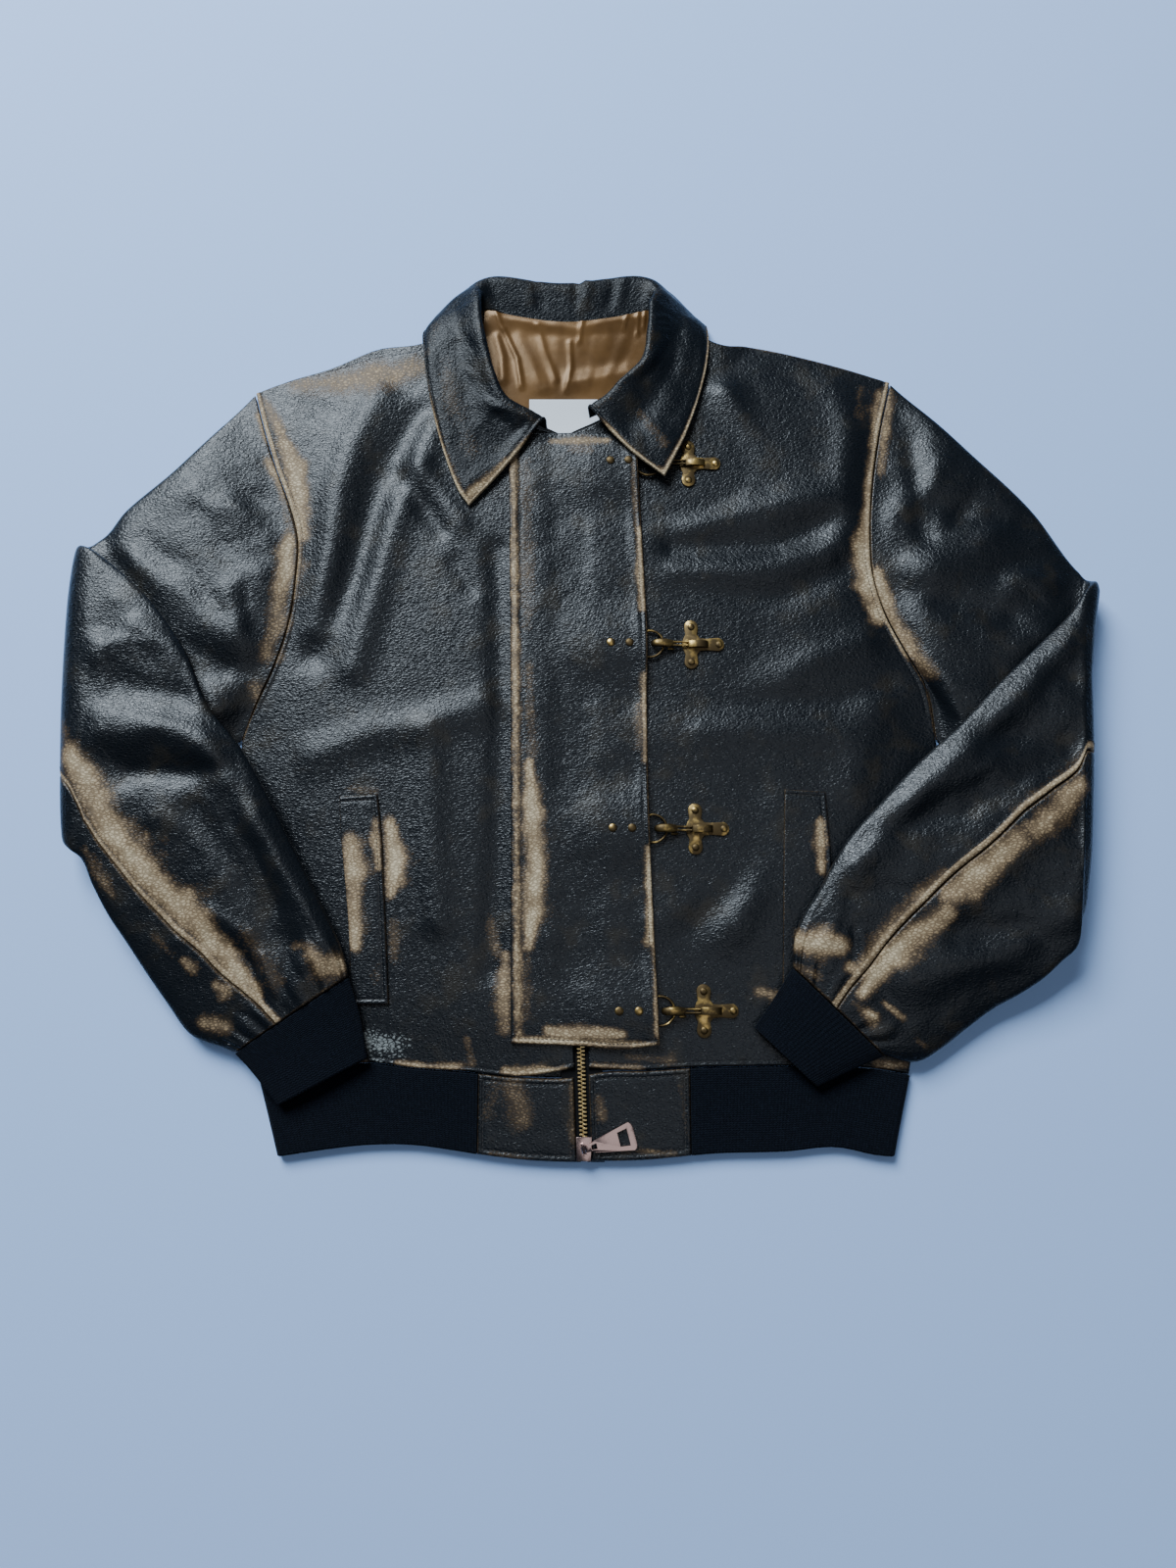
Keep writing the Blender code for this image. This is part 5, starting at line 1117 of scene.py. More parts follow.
# %% Pocket welts
welt_panels = {}
for side, (left, right) in WELTS.items():
    panel = patch(Curve(left), Curve(right), Curve([left[0], right[0]]), Curve([left[-1], right[-1]]))
    welt_panels[side] = panel

    def welt_surface(u, v, panel=panel):
        x, y = panel(u, v).T
        top = front_top(x, y) + WELT_TOP
        outer, inner = layers(x, y, top, WELT_WALL)
        depth = turned_edge(away_from(x, y, panel, *ALL_SIDES), 1.1)
        depth = depth + sewn_groove(away_from(x, y, panel, "right", "top", "bottom"), 4.0)
        return sink(outer, inner, depth, WELT_WALL), inner

    def welt_wear(outer, u, v, panel=panel, strokes=WELT_WEAR[side]):
        x, y = outer[:, 0], outer[:, 1]
        return np.maximum(worn(x, y, strokes), rubbed_edge(away_from(x, y, panel, *ALL_SIDES), 0.42, 1.0))

    made = cloth("pocket_mouth_" + side, welt_surface, grid_lines(34, 2), grid_lines(168, 2.5), leather,
                 wear=welt_wear)
    dress(made, "leather", "pocket_welt_" + side)

# %% [markdown]
# ## Collar
#
# The collar is one long piece that stands up from the neck seam and falls over. It is drawn as cross
# sections from the right front end, round behind the neck, to the left front end, with smooth lines
# through them. Its turned edge is topstitched all the way round.

# %% Collar
COLLAR = [
    ((-35, 310, 12.4), (-38, 314, 19.5), (-58, 288, 18.2), (-78, 264, 16.0), (-101, 239, 14.6)),
    ((-49, 318, 12.4), (-54, 323, 22.0), (-74, 302, 20.5), (-93, 278, 16.5), (-111, 254, 14.6)),
    ((-67, 327, 12.4), (-72, 334, 23.5), (-90, 318, 21.5), (-107, 299, 17.0), (-122, 283, 15.0)),
    ((-81, 345, 12.4), (-81, 355, 24.5), (-97, 345, 22.5), (-115, 330, 17.5), (-131, 314, 14.6)),
    ((-90, 372, 12.0), (-88, 380, 25.0), (-104, 374, 22.5), (-121, 361, 17.5), (-138, 346, 14.6)),
    ((-94, 397, 11.5), (-93, 406, 24.0), (-109, 401, 21.5), (-126, 389, 17.0), (-142, 375, 13.8)),
    ((-94.5, 418, 10.5), (-95, 427, 21.0), (-113, 420, 17.5), (-131, 412, 12.5), (-144, 401, 7.5)),
    ((-86, 424.5, 9.0), (-95, 441, 15.5), (-113, 437, 9.5), (-127, 426, 2.4), (-132, 405, 1.25)),
    ((-66, 418, 8.0), (-80, 450, 12.0), (-88, 451.5, 6.0), (-92, 444, 1.6), (-98, 378, 1.25)),
    ((-20, 412.5, 7.2), (-20, 444, 11.0), (-20, 448.5, 6.0), (-20, 442, 1.6), (-20, 370, 1.25)),
    ((31, 417, 7.6), (42, 451, 12.0), (50, 452.5, 6.0), (56, 445, 1.6), (62, 376, 1.25)),
    ((52, 421.5, 9.0), (59, 439, 15.5), (77, 434, 10.0), (91, 423, 3.4), (98, 410, 1.5)),
    ((57.5, 415, 10.5), (55, 424, 21.0), (75, 417, 17.5), (92, 409, 13.0), (105, 398, 9.6)),
    ((56, 392, 11.5), (53, 400, 24.0), (71, 394, 21.5), (88, 382, 17.5), (103, 368, 14.2)),
    ((51, 366, 12.4), (49, 371, 24.5), (66, 364, 22.5), (81, 350, 18.0), (95, 335, 14.8)),
    ((36, 347, 12.4), (34, 354, 23.5), (51, 340, 22.5), (68, 322, 19.5), (84, 303, 17.0)),
    ((17, 329, 12.4), (16, 334, 22.0), (34, 317, 22.0), (53, 299, 21.0), (75, 283, 19.6)),
    ((1, 320, 12.4), (1, 326, 19.5), (18, 305, 21.0), (38, 284, 21.2), (65, 263, 20.0)),
]
COLLAR_MARKS = (0, 0.22, 0.45, 0.72, 1)
COLLAR_LENGTH, COLLAR_DEPTH = 510.0, 98.0


def along_stations(stations, marks, v):
    """For each column of stations, the place at v on the smooth line through it."""
    marks, column = np.array(marks), np.arange(len(v))
    slopes = slopes_through(stations, np.diff(marks)[:, None, None])
    i, gap, x = run_of(marks, v)
    return glide(stations[i, column], stations[i + 1, column], slopes[i, column] * gap,
                 slopes[i + 1, column] * gap, x)


def collar_middle(u, v):
    """The middle of the collar's wall, u along it and v from the neck seam to the outer edge."""
    lines = [Curve([section[i] for section in COLLAR], np.linspace(0, 1, len(COLLAR))) for i in range(5)]
    place = along_stations(np.stack([line.at(u) for line in lines]), COLLAR_MARKS, v)
    place[:, 2] = np.maximum(place[:, 2], COLLAR_WALL / 2)
    return place


def thick(middle, wall):
    """Turns a middle surface into two faces, half a wall out along its normal on each side."""
    step = 1e-3

    def walls(u, v):
        centre = middle(u, v)
        across = middle(np.minimum(u + step, 1), v) - middle(np.maximum(u - step, 0), v)
        up = middle(u, np.minimum(v + step, 1)) - middle(u, np.maximum(v - step, 0))
        normal = unit(np.cross(across, up))
        return centre + normal * wall / 2, centre - normal * wall / 2

    return walls


def collar_away(u, v):
    """Distance from the outer edge and from the two front ends."""
    front_end = np.minimum(u, 1 - u) * COLLAR_LENGTH * (0.4 + 0.6 * v)
    return np.minimum((1 - v) * COLLAR_DEPTH, front_end)


COLLAR_FOLDS = [
    (-1.4, 5, -103, 384, -97, 358, -90, 344, -80, 332),
    (1.4, 3.2, -86, 333, -78, 326, -67, 324, -53, 321, -46, 319),
    (-1.8, 5, -80, 319, -70, 310, -61, 306, -53, 312),
    (1.4, 3.2, 67, 386, 52, 369, 34, 354, 18, 342, 3, 328), (-1.4, 4, 69, 380, 58, 363, 44, 350),
    (0.9, 2, 54, 410, 65, 412), (0.9, 2, 54, 402, 67, 404), (0.9, 2, 55, 394, 70, 397),
    (0.9, 2, -116, 390, -105, 384), (0.8, 2, -112, 366, -100, 359), (-0.8, 4, -125, 324, -109, 295),
    (-1.6, 2.4, -48, 447, -46, 432, -42, 416), (1.2, 2.6, -53, 445, -49, 420),
    (-1.4, 2.4, -5, 447, -7, 431, -10, 414), (1.2, 2.6, 0, 445, -3, 418), (-1.3, 3, 24, 448, 19, 420),
    (1.2, 3, 30, 447, 26, 422),
]


def collar_surface(u, v):
    outer, inner = thick(collar_middle, COLLAR_WALL)(u, v)
    away = collar_away(u, v)
    depth = turned_edge(away, 1.2) + sewn_groove(away, 3.4)
    far, deep = u * COLLAR_LENGTH, v * COLLAR_DEPTH
    buckle = 0.55 * mottle(far, deep * 0.7, 19, 31) + 0.16 * mottle(far, deep, 8, 39)
    buckle += crimps(outer[:, 0], outer[:, 1], COLLAR_FOLDS)
    loose = smooth(0.02, 0.12, v) * smooth(1.0, 0.9, v)
    loose = loose * np.minimum(smooth(0.0, 0.04, u), smooth(1.0, 0.96, u))
    outer = sink(outer, inner, depth - buckle * loose, COLLAR_WALL)
    leaf = np.maximum(smooth(0.42, 0.36, u), smooth(0.58, 0.64, u)) * smooth(0.0, 0.05, np.minimum(u, 1 - u))
    hollow = 1.0 * np.exp(-((v - 0.9) / 0.1) ** 2) - 3.6 * np.exp(-((v - 0.5) / 0.15) ** 2)
    for side in (outer, inner):
        side[:, 2] += leaf * hollow
    return [np.maximum(side, (-1e4, -1e4, 0.0)) for side in (outer, inner)]


def collar_wear(outer, u, v):
    x, y = outer[:, 0], outer[:, 1]
    from_tip = np.minimum(u * 1.0, (1 - u) * 0.62) * COLLAR_LENGTH
    edges = rubbed_edge((1 - v) * COLLAR_DEPTH, 1.0, 3.8) * (0.35 + 0.65 * smooth(130, 60, from_tip))
    from_end = np.minimum(u, 1 - u) * COLLAR_LENGTH * (0.4 + 0.6 * v)
    ends = rubbed_edge(from_end, 1.0, 3.8) * smooth(0.25, 0.5, v)
    roll = 0.22 * np.exp(-((v - 0.27) / 0.05) ** 2)
    return np.maximum.reduce([worn(x, y, COLLAR_WEAR) * (v > 0.3), edges, ends, roll])


# The collar takes the duller copy of the leather, as painted shade.
collar = cloth("jacket_collar", collar_surface, grid_lines(COLLAR_LENGTH, 2.4), grid_lines(COLLAR_DEPTH, 2.2),
               shaded_collar_leather, wear=collar_wear)
dress(collar, "leather", "collar")

# %% [markdown]
# ## Flap
#
# The flap is sewn to the right front with a raised welt along its left edge, and lies over the zip. Its
# free edges are topstitched. It rises over each clasp's ring, which is held beneath it.

# %% Flap
flap_panel = patch(Curve(FLAP_LEFT), Curve(FLAP_RIGHT), Curve(FLAP_BOTTOM), Curve(FLAP_TOP))
FLAP_WELT, FLAP_WELT_SEAM = 6.4, 8.6


def flap_rise(x, y):
    """How much the flap's cloth adds over each ring, as one soft swell."""
    return np.maximum(flap_form(x, y, 34.0, 2.2, 104, 32), flap_underside(x, y))


def flap_top(x, y):
    """The flap's outer face with the welt on its sewn edge and the grooves of its stitches."""
    welt = away_from(x, y, flap_panel, "left")
    free = away_from(x, y, flap_panel, "right", "bottom")
    ticks = 0.10 * np.sin(y * 2 * math.pi / 3.4) * np.exp(-((welt - FLAP_WELT / 2) / 2.4) ** 2)
    height = flap_rise(x, y) + LEATHER + ticks
    height += 0.9 * smooth(FLAP_WELT + 1.2, FLAP_WELT - 0.6, welt)
    height -= 0.7 * np.exp(-((welt - FLAP_WELT_SEAM + 0.6) / 1.1) ** 2)
    height -= sewn_groove(free, 4.2) + turned_edge(away_from(x, y, flap_panel, *ALL_SIDES), 1.4)
    calm = np.minimum.reduce([smooth(10, 24, np.abs(y - cy)) for _, cy in CLASPS])
    inside = smooth(3, 9, np.minimum(welt - FLAP_WELT_SEAM, free))
    return height + fine_creases(x, y, 0.5) * 0.55 * inside * (0.3 + 0.7 * calm)


def flap_surface(u, v):
    x, y = flap_panel(u, v).T
    return np.column_stack([x, y, flap_top(x, y)]), np.column_stack([x, y, flap_underside(x, y)])


def flap_wear(outer, u, v):
    x, y = outer[:, 0], outer[:, 1]
    edge = rubbed_edge(away_from(x, y, flap_panel, "right", "bottom"), 0.6, 1.5)
    welt = smooth(FLAP_WELT + 2, FLAP_WELT - 1, away_from(x, y, flap_panel, "left"))
    return np.maximum(worn(x, y, FLAP_WEAR), edge) * (1 + welt * (0.30 * mottle(x, y, 1.7, 71) - 0.06))


flap = cloth("jacket_flap", flap_surface, grid_lines(116, 2.4), grid_lines(512, 1.7), leather, wear=flap_wear)
dress(flap, "leather", "placket")

# %% [markdown]
# ## Sleeves
#
# A sleeve is a flattened tube from the armhole to the cuff. It turns over at the elbow, so the forearm
# lies on the body with its back up. Two cut pieces make it: the top sleeve and the narrow under sleeve,
# with a seam along the back of the forearm and another under the arm.

# %% Sleeve form


class Sleeve:
    """A flattened tube between an upper and a lower edge, folded over where the two edges turn.

    It starts at the armhole and ends at the cuff seam. Its front face is up on the upper arm and
    faces down after the fold, so that the forearm shows its back face.
    """

    TURN = 9.8  # radius of the fold, to the middle of the tube
    HALF = 9.5  # half the tube's thickness
    POWER = 0.62  # how full its flattened section is
    LOW = 9.55  # height of the middle of the upper arm

    def __init__(self, armhole, upper, fold, inward, forearm, folds_upper, folds_forearm):
        self.armhole = Curve(armhole)
        inward = np.array((*inward, 0.0))
        rows = []
        for up, low, height, half in upper:
            rows.append(((*up, height), (*low, height), 0.0, half))
        for angle in (0, 45, 90, 135, 180):
            turn = math.radians(angle)
            height = self.LOW + self.TURN * (1 - math.cos(turn))
            ends = []
            for end, before, after in fold:
                back = before if angle < 90 else after
                set_back = np.array((*back, 0.0)) * (1 - math.sin(turn))
                ends.append(np.array((*end, height)) + set_back)
            rows.append((ends[0], ends[1], float(angle), self.HALF))
        for up, low, half in forearm:
            rows.append((up, low, 180.0, half))
        ups, lows = np.array([r[0] for r in rows]), np.array([r[1] for r in rows])
        middle = (ups + lows) / 2
        steps = np.linalg.norm(np.diff(middle, axis=0), axis=1)
        marks = np.r_[0, np.cumsum(steps)] / steps.sum()
        self.up, self.low = Curve(ups, marks), Curve(lows, marks)
        self.turn = Curve([(r[2], r[3]) for r in rows], marks)
        self.inward = inward
        self.folds_upper, self.folds_forearm = folds_upper, folds_forearm
        self.fold_mark = marks[len(upper) + 2]

    def point(self, place, around, wall=0.0):
        """A point of the tube: around is 0 at the upper edge, 0.5 at the lower one, back face after it."""
        up, low = self.up.at(place), self.low.at(place)
        state = self.turn.at(place)
        angle, half = np.radians(np.clip(state[:, 0], 0, 180)), state[:, 1]
        ring = 2 * np.pi * around
        across = (up - low) / 2
        width = np.linalg.norm(across, axis=1)[:, None]
        side = across / width
        normal = np.cos(angle)[:, None] * np.array((0, 0, 1.0)) + np.sin(angle)[:, None] * self.inward
        normal = unit(normal - side * (normal * side).sum(1)[:, None])
        bulge = self.bulge(place, np.cos(ring))
        full = np.abs(np.sin(ring)) ** self.POWER * np.sign(np.sin(ring))
        middle = (up + low) / 2 + side * (width - wall) * np.cos(ring)[:, None] + bulge
        place_half = self.armhole_half(place, middle, half)
        middle = middle.copy()
        near = 1 - smooth(0, 0.16, place)
        middle[:, 2] += near * (place_half - middle[:, 2])
        out = middle + normal * ((place_half - wall) * full)[:, None]
        out[:, 2] += self.creases(place, ring, out)
        rest = sleeve_rest(out[:, 0], out[:, 1]) + 0.7
        rest *= smooth(self.fold_mark, self.fold_mark + 0.12, place)
        out[:, 2] = np.maximum(out[:, 2], rest + wall)
        return out

    def armhole_half(self, place, middle, half):
        """At the armhole the tube is as thick as the body that it is sewn to."""
        body = front_height(middle[:, 0], middle[:, 1]) / 2
        near = 1 - smooth(0, 0.16, place)
        return half + near * (body - half)

    def bulge(self, place, across):
        """The armhole isn't straight, and the tube takes up its curve over the first third of the arm."""
        where = (across + 1) / 2
        line = self.armhole.at(where)
        share = where[:, None]
        chord = self.armhole.at(0) * (1 - share) + self.armhole.at(1) * share
        fade = (1 - smooth(0, 0.3, place))[:, None]
        return np.column_stack([(line - chord) * fade, 0 * where])

    def creases(self, place, ring, out):
        """Folds on the two faces that show: the upper arm's front and the forearm's back."""
        face = np.sin(ring)
        x, y = out[:, 0], out[:, 1]
        upper = folds(x, y, self.folds_upper) * smooth(0.1, 0.8, face)
        upper *= smooth(self.fold_mark, self.fold_mark - 0.08, place) * smooth(0, 0.08, place)
        fore = folds(x, y, self.folds_forearm) * smooth(0.1, 0.8, -face)
        fore *= smooth(self.fold_mark + 0.02, self.fold_mark + 0.1, place)
        return upper + fore


SEAM_UNDER = 0.503  # the underarm seam, at the lower edge

SLEEVE_R = dict(
    armhole=ARMHOLE_R,
    upper=[
        ((-290.5, 346), (-286.5, 38), 4.0, 4.0),
        ((-318, 312), (-306, 25), 9.0, 9.0),
        ((-352, 274), (-334, 5), 9.55, 9.5),
        ((-392, 236), (-372, -18), 9.55, 9.5),
    ],
    fold=(((-424, 200), (11, 9), (11, -5)), ((-420, -50), (9, 8), (9, -6))),
    inward=(1.0, 0.0),
    forearm=[
        ((-396, 183, 29.15), (-402, -62, 28.6), 9.5),
        ((-362, 152, 29.15), (-391, -84, 26.5), 9.6),
        ((-328, 106, 29.15), (-378, -108, 23.0), 9.8),
        ((-308, 62, 29.15), (-363, -130, 19.0), 10.2),
        ((-280, 27, 27.5), (-347, -154, 15.0), 10.5),
        ((-257, -12, 25.5), (-331, -176, 12.5), 10.5),
        ((-234, -56, 23.5), (-313, -199, 11.2), 10.0),
        ((-212, -97, 22.5), (-299, -206, 11.0), 9.5),
        ((-194, -134, 21.5), (-286, -210, 11.5), 9.0),
        ((-188, -155, 20.5), (-276, -214, 12.5), 8.0),
    ],
    folds_upper=[
        (-3.5, 12, -334, 97, -300, 92, -276, 97), (-3.0, 9, -396, 186, -340, 120, -300, 100),
        (-2.0, 12, -330, 232, -300, 190),
    ],
    folds_forearm=[
        (4.5, 12, -402, 106, -366, 122, -332, 108), (-3.0, 12, -394, 78, -326, 68),
        (3.5, 13, -400, 36, -340, 38, -300, 20), (-2.5, 13, -380, 8, -320, 6),
        (4.5, 15, -300, 30, -270, -20, -230, -80, -206, -126),
        (-2.5, 12, -312, -27, -270, -82, -240, -126), (2.5, 8, -414, 142, -392, 78),
    ],
)

SLEEVE_L = dict(
    armhole=ARMHOLE_L,
    upper=[
        ((264.5, 356), (288.5, 39), 4.0, 4.0),
        ((292, 326), (304, 12), 9.0, 9.0),
        ((326, 290), (326, -20), 9.55, 9.5),
        ((378, 234), (360, -66), 9.55, 9.5),
    ],
    fold=(((421, 170), (-8, 11), (-10, -10)), ((395, -104), (-9, 8), (-8, -8))),
    inward=(-0.996, 0.088),
    forearm=[
        ((395, 138, 29.15), (383, -131, 27.5), 9.5),
        ((368, 112, 29.15), (370, -144, 25.0), 9.6),
        ((332, 78, 29.15), (356, -157, 21.5), 10.0),
        ((300, 45, 29.15), (338, -169, 18.0), 10.5),
        ((267, 16, 27.5), (318, -180, 15.0), 11.0),
        ((235, -17, 25.5), (296, -196, 12.5), 11.0),
        ((204, -52, 23.5), (276, -211, 11.5), 10.5),
        ((184, -86, 22.5), (260, -220, 11.2), 10.0),
        ((164, -122, 21.5), (246, -220, 11.5), 9.0),
        ((161, -148, 20.5), (231, -216, 12.5), 8.0),
    ],
    folds_upper=[
        (-3.5, 11, 276, 305, 284, 216), (-3.5, 12, 298, 238, 378, 222),
        (-3.5, 13, 250, 170, 300, 155, 350, 139), (-2.0, 10, 330, 300, 360, 262),
    ],
    folds_forearm=[
        (5.0, 12, 394, 122, 336, 58, 264, -8, 212, -66), (-3.0, 13, 392, 31, 314, 36),
        (-3.0, 13, 312, -8, 262, -30, 219, -46), (4.0, 15, 376, -110, 318, -142, 252, -158),
        (2.0, 12, 398, 0, 340, -60, 280, -110),
    ],
)

# %% [markdown]
# Each sleeve also has finer puckers than its solid: small ridges where the elbow bends, and the swells
# and creases of the hide. They fade out where the cloth is hidden or lies on something.

# %% Sleeve pieces
PUCKERS_R = [
    (2.2, 11, -409, 152, -372, 145, -337, 128), (-2.6, 10, -404, 120, -362, 116, -329, 102),
    (2.6, 13, -404, 49, -358, 47, -314, 44), (-2.8, 11, -372, 4, -323, 4, -279, 5),
    (1.6, 12, -344, -33, -309, -42, -286, -78), (-2.4, 9, -283, -17, -262, -52, -244, -101),
    (2.0, 8, -266, -7, -243, -52, -223, -97, -204, -128), (2.2, 7, -298, -105, -270, -120),
    (-2.2, 5, -288, -126, -259, -150), (-2.0, 4, -267, -144, -252, -176), (2.0, 5, -258, -137, -238, -164),
    (-1.8, 4, -237, -129, -234, -164), (1.8, 8, -221, -146, -196, -144),
    (-0.9, 2.5, -216, -150, -212, -166), (-0.9, 2.5, -202, -147, -197, -164),
    (0.8, 2.5, -208, -150, -205, -166), (1.4, 8, -422, 78, -413, 30),
]
PUCKERS_L = [
    (1.8, 11, 386, 50, 316, 15, 250, -19), (-2.6, 9, 383, 20, 324, -12, 278, -28, 238, -44),
    (2.4, 13, 363, -15, 312, -52, 263, -74), (-2.2, 8, 272, -80, 233, -85, 208, -91),
    (1.6, 7, 196, -70, 187, -116), (2.0, 11, 277, -93, 332, -101, 378, -105),
    (-2.6, 9, 297, -114, 339, -120, 380, -128), (1.8, 10, 284, -137, 345, -149),
    (-1.6, 8, 361, -42, 392, -42), (1.6, 8, 366, -78, 395, -75), (-1.5, 9, 369, 95, 406, 78),
    (1.5, 10, 379, 69, 407, 56), (-1.8, 4, 202, -124, 205, -147), (1.6, 4, 209, -128, 215, -147),
    (1.8, 8, 165, -131, 192, -131), (-0.9, 2.5, 175, -139, 178, -156), (0.9, 2.5, 186, -137, 190, -155),
    (-1.4, 5, 233, -166, 247, -188), (1.2, 5, 220, -169, 234, -194),
]
UPPER_PUCKERS_R = [
    (2.2, 9, -300, 168, -294, 132), (-2.4, 6, -286, 170, -280, 132), (1.8, 7, -277, 184, -265, 162),
    (2.2, 10, -380, 184, -336, 154, -305, 124, -279, 114), (-1.8, 9, -372, 203, -325, 167, -307, 145),
    (-1.6, 9, -335, 272, -309, 254, -282, 243), (1.6, 10, -350, 250, -312, 232, -274, 214),
    (-1.4, 7, -308, 201, -279, 196), (1.6, 6, -305, 64, -276, 69), (-1.8, 5, -309, 50, -282, 47),
]
UPPER_PUCKERS_L = [
    (2.6, 9, 306, 281, 280, 254, 254, 236), (-3.0, 10, 334, 254, 295, 219, 258, 203),
    (2.4, 11, 366, 236, 323, 201, 276, 175), (-2.2, 9, 379, 197, 329, 167, 287, 151),
    (2.4, 9, 408, 174, 366, 167, 340, 145), (-2.2, 6, 379, 151, 344, 139), (2.4, 7, 384, 126, 351, 117),
    (-2.0, 6, 374, 109, 333, 90), (2.0, 6, 277, 105, 292, 90, 304, 67), (-2.0, 5, 268, 90, 285, 72),
    (-1.6, 7, 269, 326, 295, 299), (1.6, 8, 276, 344, 308, 308),
]


# How far round the sleeve its seams are, by the place along it: under the arm, and on the forearm's back
BACK_SEAM = {
    "right": ([0, 0.36, 0.43, 0.51, 0.61, 0.74, 0.82, 0.94, 1],
              [0.66, 0.66, 0.615, 0.625, 0.64, 0.662, 0.685, 0.705, 0.712]),
    "left": ([0, 0.36, 0.44, 0.60, 1], [0.66, 0.70, 0.748, 0.766, 0.762]),
}
SEAM_HALF = 0.0011
# How much further in the elbow's fold lies than in the solid, by its height on the sheet
FOLD_SLACK = {"right": ([-60, 0, 60, 150], [5, 4, 2, 0]),
              "left": ([-125, -60, 30, 85, 125, 160], [-9, -7, -9, -13, -8, 0])}


def strip_between(piece, side, place):
    """The first and last place round the sleeve of one of its two pieces."""
    back = np.interp(place, *BACK_SEAM[side])
    if piece == "top_sleeve":
        return back - 1 + SEAM_HALF, SEAM_UNDER - SEAM_HALF + 0 * back
    return SEAM_UNDER + SEAM_HALF + 0 * back, back - SEAM_HALF


def sleeve_surface(sleeve, piece, side, puckers, upper_puckers):
    """One piece of the sleeve. Its stitched seam is its low edge on the top sleeve."""
    def spread(u, v):
        place = 0.0015 + 0.9985 * u
        first, last = strip_between(piece, side, place)
        return place, first + (last - first) * v, last - first

    def away(u, v):
        place, around, share = spread(u, v)
        round_it = 2 * np.linalg.norm(sleeve.up.at(place) - sleeve.low.at(place), axis=1) + 20
        return share * v * round_it, share * (1 - v) * round_it, np.minimum(u, 1 - u) * 560

    def surface(u, v):
        place, around, _ = spread(u, v)
        outer, inner = sleeve.point(place, around), sleeve.point(place, around, LEATHER)
        face = np.sin(2 * np.pi * around)
        fold = sleeve.fold_mark
        fore = smooth(0.25, 0.8, -face) * smooth(fold + 0.03, fold + 0.09, place) * smooth(1.0, 0.97, place)
        upper = smooth(0.25, 0.8, face) * smooth(fold - 0.03, fold - 0.1, place) * smooth(0.0, 0.03, place)
        x, y = outer[:, 0], outer[:, 1]
        extra = fore * (crimps(x, y, puckers) + 0.8 * fine_creases(x, y, 0.8))
        extra += upper * (crimps(x, y, upper_puckers) + 0.8 * fine_creases(x, y, -0.6))
        beyond = place - fold - 0.022
        extra -= 1.4 * smooth(0.1, 0.6, -face) * np.exp(-(beyond / np.where(beyond < 0, 0.014, 0.03)) ** 2)
        start = sleeve.point(0 * place + 0.03, around) - sleeve.point(0 * place, around)
        start *= (1.4 * smooth(0.012, 0.0, place) / np.linalg.norm(start, axis=1))[:, None]
        slack = np.interp(y, *FOLD_SLACK[side]) * np.exp(-((place - fold) / 0.022) ** 2)
        gathers = mottle(around * 150, place * 34, 3.4, 91) + 0.6 * mottle(around * 150, place * 50, 1.8, 93)
        extra += 1.1 * gathers * smooth(0.90, 0.975, place) * smooth(0.1, 0.5, -face)
        for points in (outer, inner):
            points -= start
            points[:, 0] += slack
            points[:, 2] += extra
        low, high, ends = away(u, v)
        depth = turned_edge(np.minimum(np.minimum(low, high), ends), 1.5)
        depth = depth + sewn_groove(low if piece == "top_sleeve" else high + 99, 4.4) * fore
        return sink(outer, inner, depth), inner

    return surface, away, spread


def sleeve_wear(sleeve, piece, away, spread, strokes, upper_strokes):
    def rule(outer, u, v):
        x, y = outer[:, 0], outer[:, 1]
        place, around, _ = spread(u, v)
        face = np.sin(2 * np.pi * around)
        fore = smooth(sleeve.fold_mark - 0.02, sleeve.fold_mark + 0.02, place) * smooth(0.35, 0.1, face)
        upper = smooth(sleeve.fold_mark, sleeve.fold_mark - 0.05, place) * smooth(-0.3, 0.0, face)
        low, high, ends = away(u, v)
        seams = rubbed_edge(np.minimum(low, high), 0.45, 1.6)
        sewn = strip(low, 3.8, 0.78) * fore * (piece == "top_sleeve")
        rims = rubbed_edge(ends, 0.45, 2.0)
        rolled = 0.22 * np.exp(-(face / 0.10) ** 2)
        return np.maximum.reduce([worn(x, y, strokes) * fore, worn(x, y, upper_strokes) * upper, seams, sewn,
                                  rims, rolled])
    return rule


def make_sleeve(side, sleeve, puckers, upper_puckers, top_wear, under_wear, upper_wear):
    for piece, strokes, width in (("top_sleeve", top_wear, 470), ("under_sleeve", under_wear, 110)):
        surface, away, spread = sleeve_surface(sleeve, piece, side, puckers, upper_puckers)
        rule = sleeve_wear(sleeve, piece, away, spread, strokes, upper_wear)
        made = cloth(f"jacket_{piece}_{side}", surface, grid_lines(560, 3.6), grid_lines(width, 3.6), leather,
                     wear=rule)
        dress(made, "leather", f"{piece}_{side}")


sleeve_r, sleeve_l = Sleeve(**SLEEVE_R), Sleeve(**SLEEVE_L)
make_sleeve("right", sleeve_r, PUCKERS_R, UPPER_PUCKERS_R, FOREARM_WEAR_R, UNDER_WEAR_R, UPPER_ARM_WEAR_R)
make_sleeve("left", sleeve_l, PUCKERS_L, UPPER_PUCKERS_L, FOREARM_WEAR_L, UNDER_WEAR_L, UPPER_ARM_WEAR_L)

# %% [markdown]
# ## Knitted cuffs and waist rib
#
# The knit is ribbed, so that it stretches. The ribs are real ridges in the mesh: the wall swells and
# sinks once for every rib. The cuffs are tubes, welded at the grid's two ends, and the waist rib runs
# from one leather tab round the back to the other.

